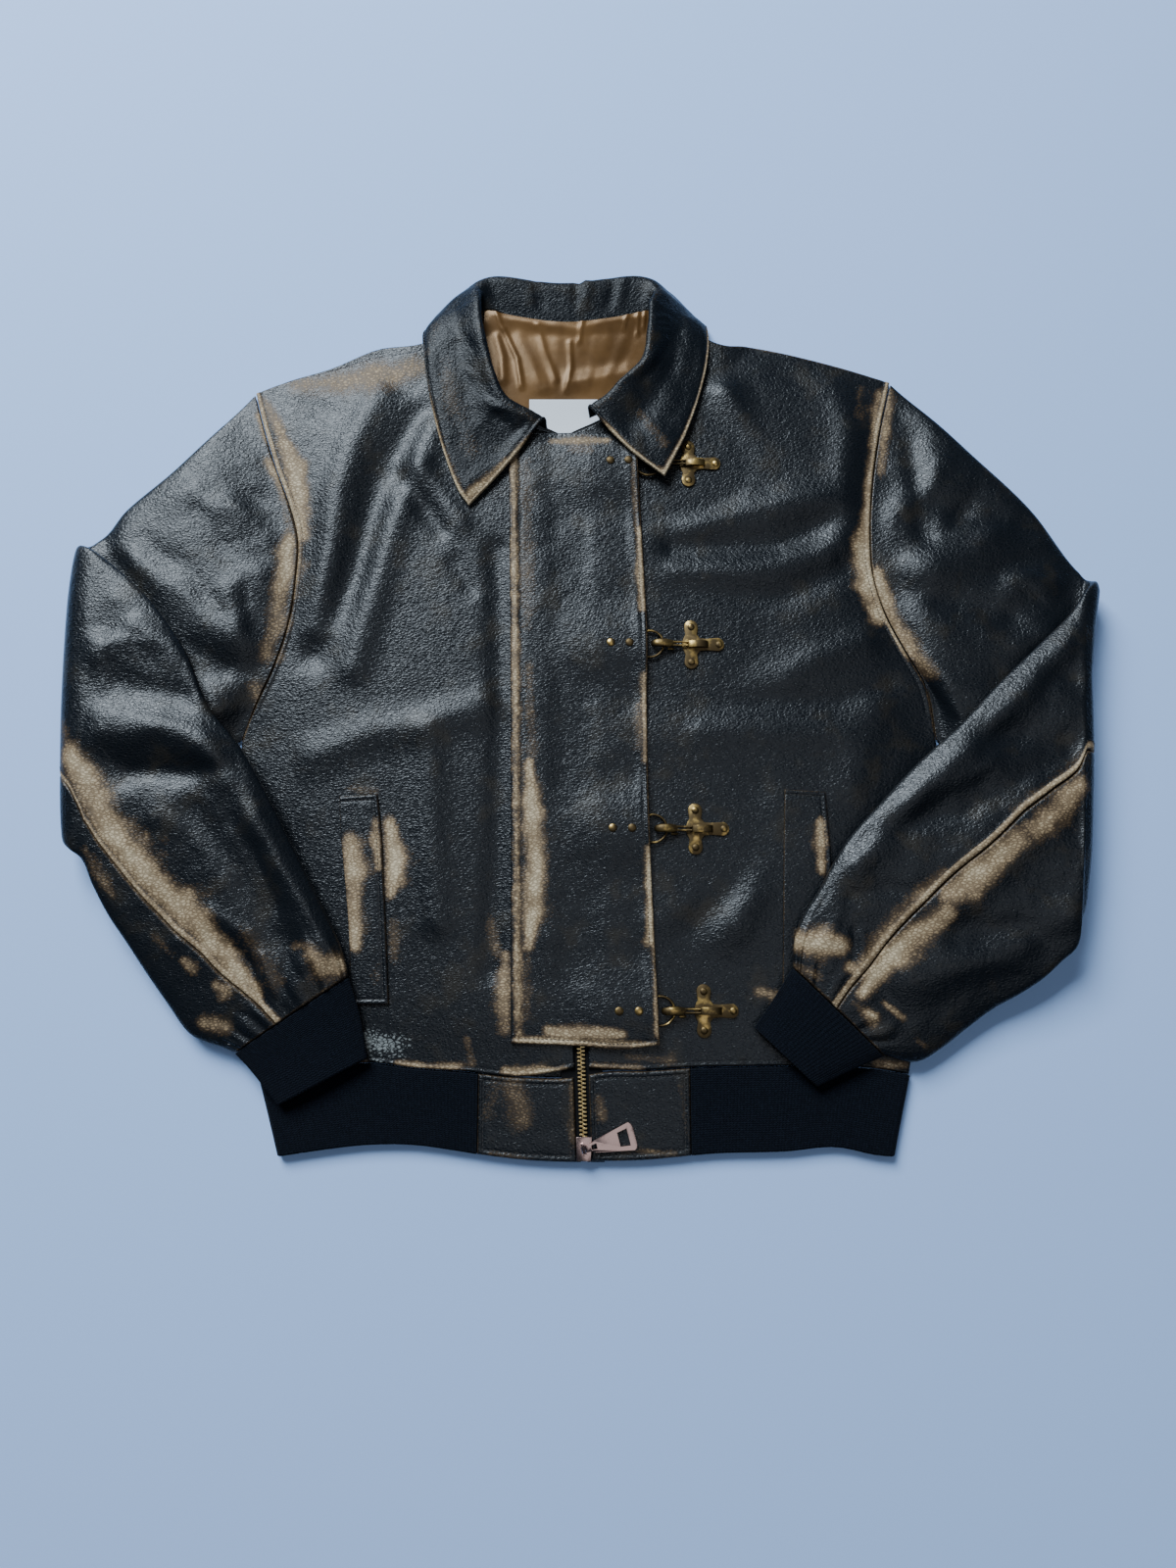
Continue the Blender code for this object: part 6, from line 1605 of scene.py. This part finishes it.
# %% Cuffs
RIB_DEPTH = 0.42
CUFFS = {
    "right": [((-187.8, -155.7, 19.9), (-275.6, -214.6, 13.4), 6.6),
              ((-178, -187, 17.0), (-262, -228, 14.6), 5.6),
              ((-172, -218, 15.2), (-240, -254, 14.6), 5.2)],
    "left": [((160.5, -148.6, 19.9), (230.4, -216.7, 13.4), 6.6),
             ((146, -172, 17.4), (206, -227, 14.6), 5.6),
             ((130, -195, 15.4), (178, -240, 14.6), 5.2)],
}


def cuff_surface(rings, ribs):
    marks = np.linspace(0, 1, len(rings))
    first, second = Curve([r[0] for r in rings], marks), Curve([r[1] for r in rings], marks)
    halves = Curve([(r[2], 0) for r in rings], marks)

    def layer(u, v, inset):
        a, b, half = first.at(v), second.at(v), halves.at(v)[:, 0] - inset
        centre, across = (a + b) / 2, (b - a) / 2
        width = np.linalg.norm(across, axis=1)[:, None]
        across = across * (1 - inset[:, None] / width)
        normal = unit(np.cross(np.cross(across, np.array((0, 0, 1.0)) + 0 * centre), across))
        turn = 2 * np.pi * u
        rise = np.abs(np.sin(turn)) ** 0.6 * np.sign(np.sin(turn))
        return centre + across * np.cos(turn)[:, None] + normal * (half * rise)[:, None]

    def surface(u, v):
        rib = RIB_DEPTH * (0.5 - 0.5 * np.cos(2 * np.pi * ribs * u))
        edge = turned_edge(np.minimum(v, 1 - v) * 60, 1.2)
        return layer(u, v, rib + edge), layer(u, v, KNIT_WALL - rib * 0.5)

    return surface


CUFF_RIBS = 72
for side, rings in CUFFS.items():
    columns = np.linspace(0, 1, CUFF_RIBS * 4 + 1)
    made = cloth("knit_cuff_" + side, cuff_surface(rings, CUFF_RIBS), columns, grid_lines(60, 4), knit,
                 closed=True)
    dress(made, "rib_knit", "cuff_" + side)

# %% Waist rib
RIB_TABS = (-86.5, 80.5)  # where the leather tabs begin
RIB_STOPS = (0.0, 0.16, 0.2, 0.8, 0.84, 1.0)  # places of its ends and turns along it
RIB_LENGTHS = (160.0, 10.0, 480.0, 10.0, 160.0)
RIB_BOTTOM = [(-241, -293), (-214, -289), (-168, -284), (-138, -284), (-99, -289), (-86, -291), (81, -292),
              (92, -291), (153, -289), (195, -286), (225, -292), (238, -293)]


def rib_middle(t, v):
    """The knitted band from the right tab round the back to the left tab, t along it and v up it."""
    turn = (RIB_HIGH - RIB_LOW) / 2
    middle_height = (RIB_HIGH + RIB_LOW) / 2
    low_table = Curve(RIB_BOTTOM).at(np.linspace(0, 1, 60))
    ends = np.interp(v, (0, 1), (-240, -258)), np.interp(v, (0, 1), (237, 252))
    x, z = np.empty_like(t), np.empty_like(t)
    for i, place in enumerate(t):
        left, right = ends[0][i], ends[1][i]
        part = int(np.clip(np.searchsorted(RIB_STOPS, place, side="right") - 1, 0, 4))
        along = (place - RIB_STOPS[part]) / (RIB_STOPS[part + 1] - RIB_STOPS[part])
        if part == 0:
            x[i], z[i] = RIB_TABS[0] + (left + turn - RIB_TABS[0]) * along, RIB_HIGH
        elif part == 1:
            x[i] = left + turn - turn * math.sin(math.pi * along)
            z[i] = middle_height + turn * math.cos(math.pi * along)
        elif part == 2:
            x[i], z[i] = left + turn + (right - left - 2 * turn) * along, RIB_LOW
        elif part == 3:
            x[i] = right - turn + turn * math.sin(math.pi * along)
            z[i] = middle_height - turn * math.cos(math.pi * along)
        else:
            x[i], z[i] = right - turn + (RIB_TABS[1] - right + turn) * along, RIB_HIGH
    top = hem_y(x) - SEAM
    bottom = np.interp(x, low_table[:, 0], low_table[:, 1])
    return np.column_stack([x, bottom + (top - bottom) * v, z])


def waist_rib_surface(u, v):
    """u is the length along the band, as a share."""
    far = np.r_[0, np.cumsum(RIB_LENGTHS)] / sum(RIB_LENGTHS)
    walls = thick(lambda a, b: rib_middle(np.interp(a, far, RIB_STOPS), b), KNIT_WALL)
    outer, inner = walls(u, v)
    rib = RIB_DEPTH * (0.5 - 0.5 * np.cos(2 * np.pi * u * sum(RIB_LENGTHS) / RIB_PITCH))
    depth = rib + turned_edge(np.minimum(v, 1 - v) * 56, 1.2)
    outer, inner = sink(outer, inner, depth, KNIT_WALL), sink(inner, outer, depth, KNIT_WALL)
    return [np.maximum(side, (-1e4, -1e4, 0.0)) for side in (outer, inner)]


rib_columns = np.linspace(0, 1, round(sum(RIB_LENGTHS) / RIB_PITCH * 4) + 1)
waist_rib = cloth("knit_band", waist_rib_surface, rib_columns, grid_lines(56, 6), knit)
dress(waist_rib, "rib_knit", "waist_rib")

# %% [markdown]
# ## Leather tabs
#
# Beside the zip the knit ends in two leather tabs, with a row of stitches round each.

# %% Leather tabs
TABS = {"right": ((-85.9, -291), (-8.8, -297), -85.9, -11.5), "left": ((2.8, -296), (80, -292), 0.6, 80)}
TAB_TOP = RIB_HIGH + KNIT_WALL / 2
TAB_SIZE, TAB_ROW = (77, 60), 4.2  # width and height, and how far in the stitches are


def tab_place(side, u, v):
    low_left, low_right, top_left, top_right = TABS[side]
    low = low_left[0] + (low_right[0] - low_left[0]) * u
    high = top_left + (top_right - top_left) * u
    bottom = low_left[1] + (low_right[1] - low_left[1]) * u - 1.5 * np.sin(math.pi * u)
    return low + (high - low) * v, bottom + (hem_y(high) - SEAM - bottom) * v


def tab_surface(side):
    def surface(u, v):
        x, y = tab_place(side, u, v)
        away = rectangle_away(u, v, *TAB_SIZE)
        top = TAB_TOP + 0 * x
        outer, inner = layers(x, y, top)
        depth = turned_edge(away, 1.4) + sewn_groove(away, TAB_ROW)
        depth -= 0.25 * mottle(x, y, 16, 41) * smooth(5, 12, away)
        return sink(outer, inner, depth), inner
    return surface


def tab_wear(outer, u, v):
    away = rectangle_away(u, v, *TAB_SIZE)
    return np.maximum(worn(outer[:, 0], outer[:, 1], TAB_WEAR), rubbed_edge(away, 0.42, 1.2))


for side in TABS:
    made = cloth("tab_leather_" + side, tab_surface(side), *(grid_lines(length, 2.2) for length in TAB_SIZE),
                 leather, wear=tab_wear)
    dress(made, "leather", "band_tab_" + side)

# %% [markdown]
# ## Zip
#
# The zip's teeth are clamped to the edges of two woven tapes and lock in turn. They run up under the flap
# to the neck. One bevelled tooth is repeated along each tape. The slider and the pull start from copies of
# their solids, whose edges are rounded, so they stay exactly where the hinge is.

# %% Zip tapes and teeth
TOOTH_PITCH, TOOTH = 3.1, (3.9, 1.7, 2.0)
ZIP_LOW, ZIP_HIGH = -295.0, 304.0


def leather_beside_zip(y):
    return np.where(y < -228, RIB_HIGH + KNIT_WALL / 2, front_height(zip_x(y) + 0 * y, y))


TAPE_LOW, TAPE_LENGTH, TAPE_SLANT = -297.0, 604.0, 15.0  # foot, length, and how much the end slants


def tape_surface(low, high):
    def surface(u, v):
        y = TAPE_LOW + (TAPE_LENGTH + TAPE_SLANT * (1 - u if low < 0 else u)) * v
        x = zip_x(y) + low + (high - low) * u
        x -= 18.0 * smooth(290, 320, y) * (1 - u) * (low < 0)
        x += 17.0 * smooth(296, 318, y) * u * (low > 0)
        top = leather_beside_zip(y) - LEATHER - 0.35
        return layers(x, y, top, 1.0)
    return surface


for side, low, high in (("right", -16.0, -2.6), ("left", 2.6, 16.0)):
    made = cloth("zip_cloth_" + side, tape_surface(low, high), np.linspace(0, 1, 7), np.linspace(0, 1, 160),
                 tape_cloth)
    dress(made, "zip_tape", "zip_tape_" + side)


def teeth_row(bm, side):
    heights = np.arange(ZIP_LOW, ZIP_HIGH, TOOTH_PITCH) + (side > 0) * TOOTH_PITCH / 2
    for y in heights:
        z = float(leather_beside_zip(np.array([y]))[0]) - 1.9
        place = Matrix.Translation((float(zip_x(y)) + side * 1.35, y, z))
        bmesh.ops.create_cube(bm, size=1.0, matrix=place @ Matrix.Diagonal((*TOOTH, 1)))


def put(bm, name, finish, sharp=40):
    """Moves a mesh made in the jacket's millimetres into the frame, and adds it."""
    bmesh.ops.transform(bm, matrix=Matrix.Scale(MM, 4) @ Matrix.Translation((-CENTRE[0], -CENTRE[1], 0)),
                        verts=bm.verts)
    return add(name, mesh_of(bm, name), finish, sharp)


def round_off(bm, edges, width, segments=2):
    bmesh.ops.bevel(bm, geom=edges, affect="EDGES", offset=width, segments=segments, profile=0.5, material=-1,
                    offset_type="OFFSET", clamp_overlap=True)


def sharp_edges(bm, angle):
    return [edge for edge in bm.edges if len(edge.link_faces) == 2 and edge.calc_face_angle() > angle]


bm = bmesh.new()
for side in (-1, 1):
    teeth_row(bm, side)
round_off(bm, bm.edges[:], 0.35, 1)
teeth = dress(put(bm, "zip_teeth", zip_brass), "zip_brass", "zip_chain")

# %% Slider and pull


def softened_copy(node, name, finish, width, body):
    """A copy of a node's solid with its triangles merged into faces and its sharp edges rounded."""
    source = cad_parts[node]
    bm = bmesh.new()
    bm.from_mesh(source.data)
    bmesh.ops.remove_doubles(bm, verts=bm.verts, dist=1e-6)
    bmesh.ops.dissolve_limit(bm, angle_limit=math.radians(3), verts=bm.verts, edges=bm.edges)
    edges = sharp_edges(bm, math.radians(35))
    round_off(bm, edges, width * MM)
    return dress(add(name, mesh_of(bm, name), finish, 30), "polished_metal", node, body=body)


softened_copy("zip_slider", "slider_body", polished, 0.45, "jacket")
softened_copy("zip_pull", "slider_pull", polished, 0.3, "pull_tab")

# %% [markdown]
# ## Clasps
#
# Each clasp is cast brass: a cross-shaped plate with three lugs, an arched bridge, and a hook whose neck
# splits in two round a slot and ends in an almond-shaped head. It reaches over a ring, which a leather
# strap holds under the flap. The plate is an outline that is extruded and bevelled, the hook is bridged
# from oval sections, and the ring and the rivets are spun.

# %% Clasp plates


def extruded(bm, outline, low, high, width):
    """A flat outline pulled up to a plate with rounded upper edges."""
    face = bm.faces.new([bm.verts.new((x, y, low)) for x, y in outline])
    grown = bmesh.ops.extrude_face_region(bm, geom=[face], use_keep_orig=True)
    upper = [item for item in grown["geom"] if isinstance(item, bmesh.types.BMVert)]
    bmesh.ops.translate(bm, verts=upper, vec=(0, 0, high - low))
    rim = {edge for vert in upper for edge in vert.link_edges if all(end in upper for end in edge.verts)}
    round_off(bm, list(rim), width)


def arc(x, y, radius, first, last, steps=12):
    """Points on part of a circle, clockwise, by angles in degrees."""
    return [(x + radius * math.cos(math.radians(a)), y + radius * math.sin(math.radians(a)))
            for a in np.linspace(first, last, steps)]


def plate_outline(x, y):
    waist, flare = 4.9, 6.4
    line = [(x - 7.4, y + 3.0), (x - flare, y + 5.4), (x - waist, y + 8.6)]
    line += arc(x, y + LUG_REACH_Y, LUG_RADIUS, 190, -10)
    line += [(x + waist, y + 8.6), (x + 7.4, y + 5.6), (x + 12.5, y + 5.0)]
    line += arc(x + LUG_REACH_X - 3, y, LUG_RADIUS, 80, -80)
    line += [(x + 12.5, y - 5.0), (x + 7.4, y - 5.6), (x + waist, y - 8.6)]
    line += arc(x, y - LUG_REACH_Y, LUG_RADIUS, 10, -190)
    line += [(x - waist, y - 8.6), (x - flare, y - 5.4), (x - 7.4, y - 3.0)]
    return line


def make_plate(name, x, y):
    low = SEAT_TOP + 0.3
    bm = bmesh.new()
    extruded(bm, plate_outline(x, y), low, low + PLATE_THICK, 0.45)
    bridge = bmesh.new()
    shape = Matrix.Translation((x + 5.0, y, low + 0.7)) @ Matrix.Rotation(math.radians(90), 4, "X")
    bmesh.ops.create_cone(bridge, cap_ends=True, segments=40, radius1=1, radius2=1, depth=BRIDGE_WIDTH)
    bmesh.ops.bisect_plane(bridge, geom=bridge.verts[:] + bridge.edges[:] + bridge.faces[:],
                           plane_co=(0, -0.05, 0), plane_no=(0, -1, 0), clear_outer=True)
    bmesh.ops.holes_fill(bridge, edges=bridge.edges[:])
    bmesh.ops.transform(bridge, matrix=Matrix.Diagonal((BRIDGE_HALF, BRIDGE_TALL, 1, 1)), verts=bridge.verts)
    round_off(bridge, sharp_edges(bridge, 1.0), 0.8, 3)
    bmesh.ops.transform(bridge, matrix=shape, verts=bridge.verts)
    bm.from_mesh(mesh_of(bridge, "bridge"))
    return put(bm, name, old_brass)


# %% Clasp hooks
# Sections of the head: along, height, half width and half thickness
HEAD = [(-14.2, 4.5, 1.4, 0.8), (-15.2, 4.6, 2.7, 1.2), (-17.5, 5.0, 3.2, 1.5), (-20.5, 6.3, 3.6, 1.7),
        (-24.5, 7.2, 3.7, 1.7), (-28.2, 6.9, 3.4, 1.6), (-31.0, 5.8, 2.9, 1.4), (-32.5, 4.2, 2.3, 1.2),
        (-32.2, 2.9, 1.7, 0.9), (-30.6, 2.3, 0.9, 0.5)]
NECK = [(-3.0, 4.2, 1.0, 1.0), (-8.0, 3.9, 0.95, 0.95), (-12.0, 4.1, 0.95, 0.95), (-15.6, 4.7, 1.1, 1.0)]
LEVER = [(-14.0, 2.4, 0.7, 0.5), (-15.0, 2.6, 1.2, 0.8), (-18.5, 3.4, 1.3, 0.8), (-19.6, 3.7, 0.7, 0.5)]


def loft(bm, sections, x, y, sides=16):
    """An oval bar through its sections, bridged one to the next and closed at both ends."""
    spots = np.array([(s[0], s[1]) for s in sections])
    ahead = np.gradient(spots, axis=0)
    loops = []
    for (along, height, half, thick_half), (dx, dz) in zip(sections, ahead):
        lean = Matrix.Rotation(math.atan2(-dz, dx) + math.pi / 2, 4, "Y")
        shape = Matrix.Translation((x + along, y, SEAT_TOP + height)) @ lean
        shape = shape @ Matrix.Diagonal((thick_half, half, 1, 1))
        made = bmesh.ops.create_circle(bm, segments=sides, radius=1.0, matrix=shape)["verts"]
        loops.append(made)
    for first, second in zip(loops, loops[1:]):
        edges = {edge for vert in first + second for edge in vert.link_edges
                 if all(end in first for end in edge.verts) or all(end in second for end in edge.verts)}
        bmesh.ops.bridge_loops(bm, edges=list(edges))
    for end in (loops[0], loops[-1]):
        bm.faces.new(end)


def make_hook(name, x, y):
    bm = bmesh.new()
    loft(bm, HEAD, x, y)
    for step in (-1.45, 1.45):
        loft(bm, NECK, x, y + step, 10)
    loft(bm, LEVER, x, y - 4.2, 10)
    return put(bm, name, old_brass, 60)


# %% Rings, rivets and straps


def spin_round(bm, steps):
    bmesh.ops.spin(bm, geom=bm.verts[:] + bm.edges[:], axis=(0, 0, 1), cent=(0, 0, 0), angle=2 * math.pi,
                   steps=steps, use_merge=True)


def make_ring(name, x, y):
    bm = bmesh.new()
    upright = Matrix.Rotation(math.pi / 2, 4, "X")
    made = bmesh.ops.create_circle(bm, segments=12, radius=RING_WIRE, matrix=upright)
    bmesh.ops.translate(bm, verts=made["verts"], vec=(RING_RADIUS, 0, 0))
    spin_round(bm, 48)
    bmesh.ops.translate(bm, verts=bm.verts, vec=(x, y, RING_Z))
    return put(bm, name, old_brass, 60)


RIVET_PROFILE = [(0.0, 1.30), (0.30, 1.26), (0.58, 1.10), (0.80, 0.84), (0.90, 0.58), (0.97, 0.50),
                 (1.0, 0.34), (1.0, 0.0)]


def make_rivet(name, x, y, seat, radius):
    """A domed head with a thin flange, spun from its profile."""
    bm = bmesh.new()
    points = [bm.verts.new((reach * radius, 0, height)) for reach, height in RIVET_PROFILE]
    for first, second in zip(points, points[1:]):
        bm.edges.new((first, second))
    spin_round(bm, 28)
    bmesh.ops.remove_doubles(bm, verts=bm.verts, dist=1e-4)
    bmesh.ops.holes_fill(bm, edges=[edge for edge in bm.edges if edge.is_boundary])
    bmesh.ops.translate(bm, verts=bm.verts, vec=(x, y, seat))
    return put(bm, name, old_brass, 60)


def strap_surface(x, y):
    wire_x, half_gap, wall, half_width, fold_x = x - RING_RADIUS, 1.95, 1.1, 4.0, 1.0
    line = [(-24, half_gap), (-12, half_gap), (0, half_gap)]
    turns = np.linspace(0, math.pi, 7)[1:-1]
    line += [(half_gap * math.sin(turn), half_gap * math.cos(turn)) for turn in turns]
    line += [(0, -half_gap), (-11, -half_gap), (-21, -half_gap)]
    path = Curve([(wire_x + fold_x + px, RING_Z + pz) for px, pz in line])

    def surface(u, v):
        spot = path.at(u)
        ahead = path.at(np.minimum(u + 0.004, 1)) - path.at(np.maximum(u - 0.004, 0))
        normal = unit(np.column_stack([-ahead[:, 1], ahead[:, 0]]))
        across = y + half_width * (2 * v - 1)
        away = np.minimum(v, 1 - v) * 2 * half_width
        half = wall / 2 - turned_edge(away, 0.4)
        faces = (spot + normal * (step * half)[:, None] for step in (1, -1))
        return [np.column_stack([face[:, 0], across, face[:, 1]]) for face in faces]

    return surface


STRAP_ACROSS, STRAP_ALONG = np.linspace(0, 1, 61), np.array([0, 0.03, 0.07, 0.2, 0.5, 0.8, 0.93, 0.97, 1])
for number, (x, y) in enumerate(CLASPS, 1):
    node = f"clasp_{number}"
    dress(make_plate(f"brass_plate_{number}", x, y), "old_brass", node + "_plate")
    dress(make_hook(f"brass_hook_{number}", x, y), "old_brass", node + "_hook")
    dress(make_ring(f"brass_ring_{number}", x + RING_OFFSET, y), "old_brass", node + "_ring")
    strap = cloth(f"ring_strap_{number}", strap_surface(x + RING_OFFSET, y), STRAP_ACROSS, STRAP_ALONG,
                  leather)
    dress(strap, "leather", node + "_strap")
    seat = SEAT_TOP + 0.3 + PLATE_THICK + 0.05
    for letter, dx, dy in (("a", 0, LUG_REACH_Y), ("b", 0, -LUG_REACH_Y), ("c", LUG_REACH_X - 1.5, 0)):
        made = make_rivet(f"plate_rivet_{number}{letter}", x + dx, y + dy, seat, RIVET_RADIUS * 0.85)
        dress(made, "old_brass", f"{node}_rivet_{letter}")
    for letter, dx in zip("ab", FLAP_RIVET_OFFSETS):
        px = np.array([x + dx])
        seat_on_flap = float(flap_top(px, np.array([float(y)]))[0]) + 0.05
        made = make_rivet(f"flap_rivet_{number}{letter}", x + dx, y, seat_on_flap, RIVET_RADIUS)
        dress(made, "old_brass", f"flap_{number}_rivet_{letter}")

# %% [markdown]
# ## Stitches
#
# A topstitched edge is what makes leather look sewn. Every stitch is a small lozenge of thread that lies
# along its row and sinks at both ends into the hide. A row is a line on the finished surface, walked at
# the stitch's pitch.

# %% Stitches
STITCH_PITCH, STITCH_LENGTH, STITCH_WIDTH, STITCH_TALL = 3.3, 2.5, 0.75, 0.5


def spaced(route, pitch):
    """Places and directions at equal steps along a route."""
    steps = np.linalg.norm(np.diff(route, axis=0), axis=1)
    far = np.r_[0, np.cumsum(steps)]
    walk = np.arange(pitch / 2, far[-1], pitch)
    spots = np.column_stack([np.interp(walk, far, route[:, i]) for i in range(3)])
    ahead = np.column_stack([np.interp(walk + 0.8, far, route[:, i]) - np.interp(walk - 0.8, far, route[:, i])
                             for i in range(3)])
    return spots, ahead


def sew(name, routes):
    """One piece of thread for each list of rows."""
    whole = bmesh.new()
    count = 0
    for route in routes:
        row = bmesh.new()
        for spot, ahead in zip(*spaced(np.array(route), STITCH_PITCH)):
            turn = Vector(ahead).to_track_quat("X", "Z").to_matrix().to_4x4()
            shape = Matrix.Diagonal((STITCH_LENGTH / 2, STITCH_WIDTH / 2, STITCH_TALL / 2, 1))
            place = Matrix.Translation(spot) @ turn @ shape
            bmesh.ops.create_icosphere(row, subdivisions=1, radius=1.0, matrix=place)
            count += 1
        mesh = mesh_of(row, "row")
        whole.from_mesh(mesh)
        bpy.data.meshes.remove(mesh)
    print(name, count, "stitches")
    return dress(put(whole, name, thread, 80), "leather")


WALK = np.linspace(0, 1, 400)


def panel_row(panel, side, inset, height, low=0.0, high=1.0):
    """A row on a panel, a set distance inside one of its borders."""
    line = edge_line(panel, side)
    turn = {"left": -1, "right": 1, "bottom": 1, "top": -1}[side]
    row = line + left_of(line) * inset * turn
    part = row[int(low * (len(row) - 1)): int(high * (len(row) - 1)) + 1]
    fine = np.column_stack([np.interp(np.linspace(0, 1, 300), np.linspace(0, 1, len(part)), part[:, i])
                            for i in (0, 1)])
    return np.column_stack([fine, height(fine[:, 0], fine[:, 1])])


def flap_stitch_height(x, y):
    return flap_top(x, y) + 0.12


def front_stitch_height(x, y):
    return front_top(x, y) - 0.35


def welt_stitch_height(x, y):
    return front_top(x, y) + WELT_TOP - 0.3


def strip_row(surface, u, v):
    """A row at given places of a cloth surface."""
    return surface(np.broadcast_to(u, WALK.shape) + 0 * WALK, np.broadcast_to(v, WALK.shape) + 0 * WALK)[0]


rows = [panel_row(front_r, "left", 4.6, front_stitch_height, 0.48, 1.0),
        panel_row(front_l, "right", 4.6, front_stitch_height, 0.48, 1.0),
        panel_row(front_r, "bottom", 3.6, front_stitch_height),
        panel_row(front_l, "bottom", 3.6, front_stitch_height)]
for side, panel in welt_panels.items():
    rows += [panel_row(panel, "right", 4.0, welt_stitch_height, 0.03, 0.97),
             panel_row(panel, "top", 4.0, welt_stitch_height),
             panel_row(panel, "bottom", 4.0, welt_stitch_height)]
sew("body_stitches", rows)
sew("flap_stitches", [
    panel_row(flap_panel, "right", 4.2, flap_stitch_height, 0.01, 0.99),
    panel_row(flap_panel, "bottom", 4.2, flap_stitch_height, 0.06, 0.95),
    panel_row(flap_panel, "left", FLAP_WELT_SEAM - 0.6, flap_stitch_height, 0.01, 0.99),
])

# %% Stitches on collar, sleeves and tabs
inset = 3.4 / COLLAR_DEPTH
end_u = 3.4 / COLLAR_LENGTH
collar_rows = [strip_row(collar_surface, end_u * 1.3 + (1 - 2.6 * end_u) * WALK, 1 - inset)]
for end in (1, -1):
    rise = 0.35 + (0.65 - inset) * WALK
    step = end_u / (0.4 + 0.6 * rise)
    collar_rows.append(collar_surface(step if end > 0 else 1 - step, rise)[0])
sew("collar_stitches", collar_rows)

for side, sleeve, puckers, upper in (("right", sleeve_r, PUCKERS_R, UPPER_PUCKERS_R),
                                     ("left", sleeve_l, PUCKERS_L, UPPER_PUCKERS_L)):
    surface, away, spread = sleeve_surface(sleeve, "top_sleeve", side, puckers, upper)
    far = 0.02 + 0.97 * WALK
    length = sum(away(far, 0 * far + 0.5)[:2])
    sew("sleeve_stitches_" + side, [surface(far, 4.4 / length)[0]])

tab_rows = []
for side in TABS:
    far_in, up_in = (TAB_ROW / length for length in TAB_SIZE)
    for u, v in ((WALK, up_in), (WALK, 1 - up_in), (far_in, WALK), (1 - far_in, WALK)):
        tab_rows.append(strip_row(tab_surface(side), u, v))
sew("tab_stitches", tab_rows)

# %% [markdown]
# ## Cloth sizes
#
# Each sheet of cloth is listed with the size that it was cut to, across and along, and its flat area
# where the cut isn't a rectangle, and its made area is printed beside its cut. Only what shows is counted,
# and a tube is counted all round.

# %% Cloth sizes
SHEETS = {
    "jacket_back": ((0.58, 0.66), 0.335, "laid", []),
    "jacket_front_right": ((0.29, 0.62), 0.150, "laid", ["jacket_back"]),
    "jacket_front_left": ((0.29, 0.62), 0.150, "laid", ["jacket_back"]),
    "jacket_flap": ((0.118, 0.512), 0.0575, "laid", ["jacket_front_right", "jacket_front_left"]),
    "jacket_collar": ((0.62, 0.10), 0.048, "folded", ["jacket_front_right", "jacket_front_left"]),
    "neck_satin": ((0.145, 0.125), 0.0172, "laid", ["jacket_back"]),
    "neck_label": ((0.061, 0.031), None, "laid", ["neck_satin"]),
    "pocket_mouth_right": ((0.034, 0.168), None, "laid", ["jacket_front_right"]),
    "pocket_mouth_left": ((0.036, 0.162), None, "laid", ["jacket_front_left"]),
    "jacket_top_sleeve_right": ((0.56, 0.42), 0.18, "folded", ["jacket_front_right"]),
    "jacket_top_sleeve_left": ((0.56, 0.42), 0.170, "folded", ["jacket_front_left"]),
    "jacket_under_sleeve_right": ((0.52, 0.06), 0.0196, "folded", ["jacket_front_right"]),
    "jacket_under_sleeve_left": ((0.52, 0.09), 0.038, "folded", ["jacket_front_left"]),
    "knit_cuff_right": ((0.20, 0.06), None, "folded", ["jacket_front_right"]),
    "knit_cuff_left": ((0.18, 0.05), None, "folded", ["jacket_front_left"]),
    "knit_band": ((0.82, 0.058), None, "folded", []),
    "tab_leather_right": ((0.077, 0.060), None, "laid", ["knit_band"]),
    "tab_leather_left": ((0.077, 0.062), None, "laid", ["knit_band"]),
    "zip_cloth_right": ((0.0134, 0.615), None, "laid", ["jacket_back"]),
    "zip_cloth_left": ((0.0134, 0.615), None, "laid", ["jacket_back"]),
}


def cloth_area(made):
    """Area of one face of a wall, in square metres: half of its whole surface."""
    return sum(face.area for face in made.data.polygons) / 2


for name, (flat, area, held, rests) in SHEETS.items():
    made = bpy.data.objects[name]
    print(f"{name}: {cloth_area(made):.4f} square metres, cut {area or flat[0] * flat[1]:.4f}")
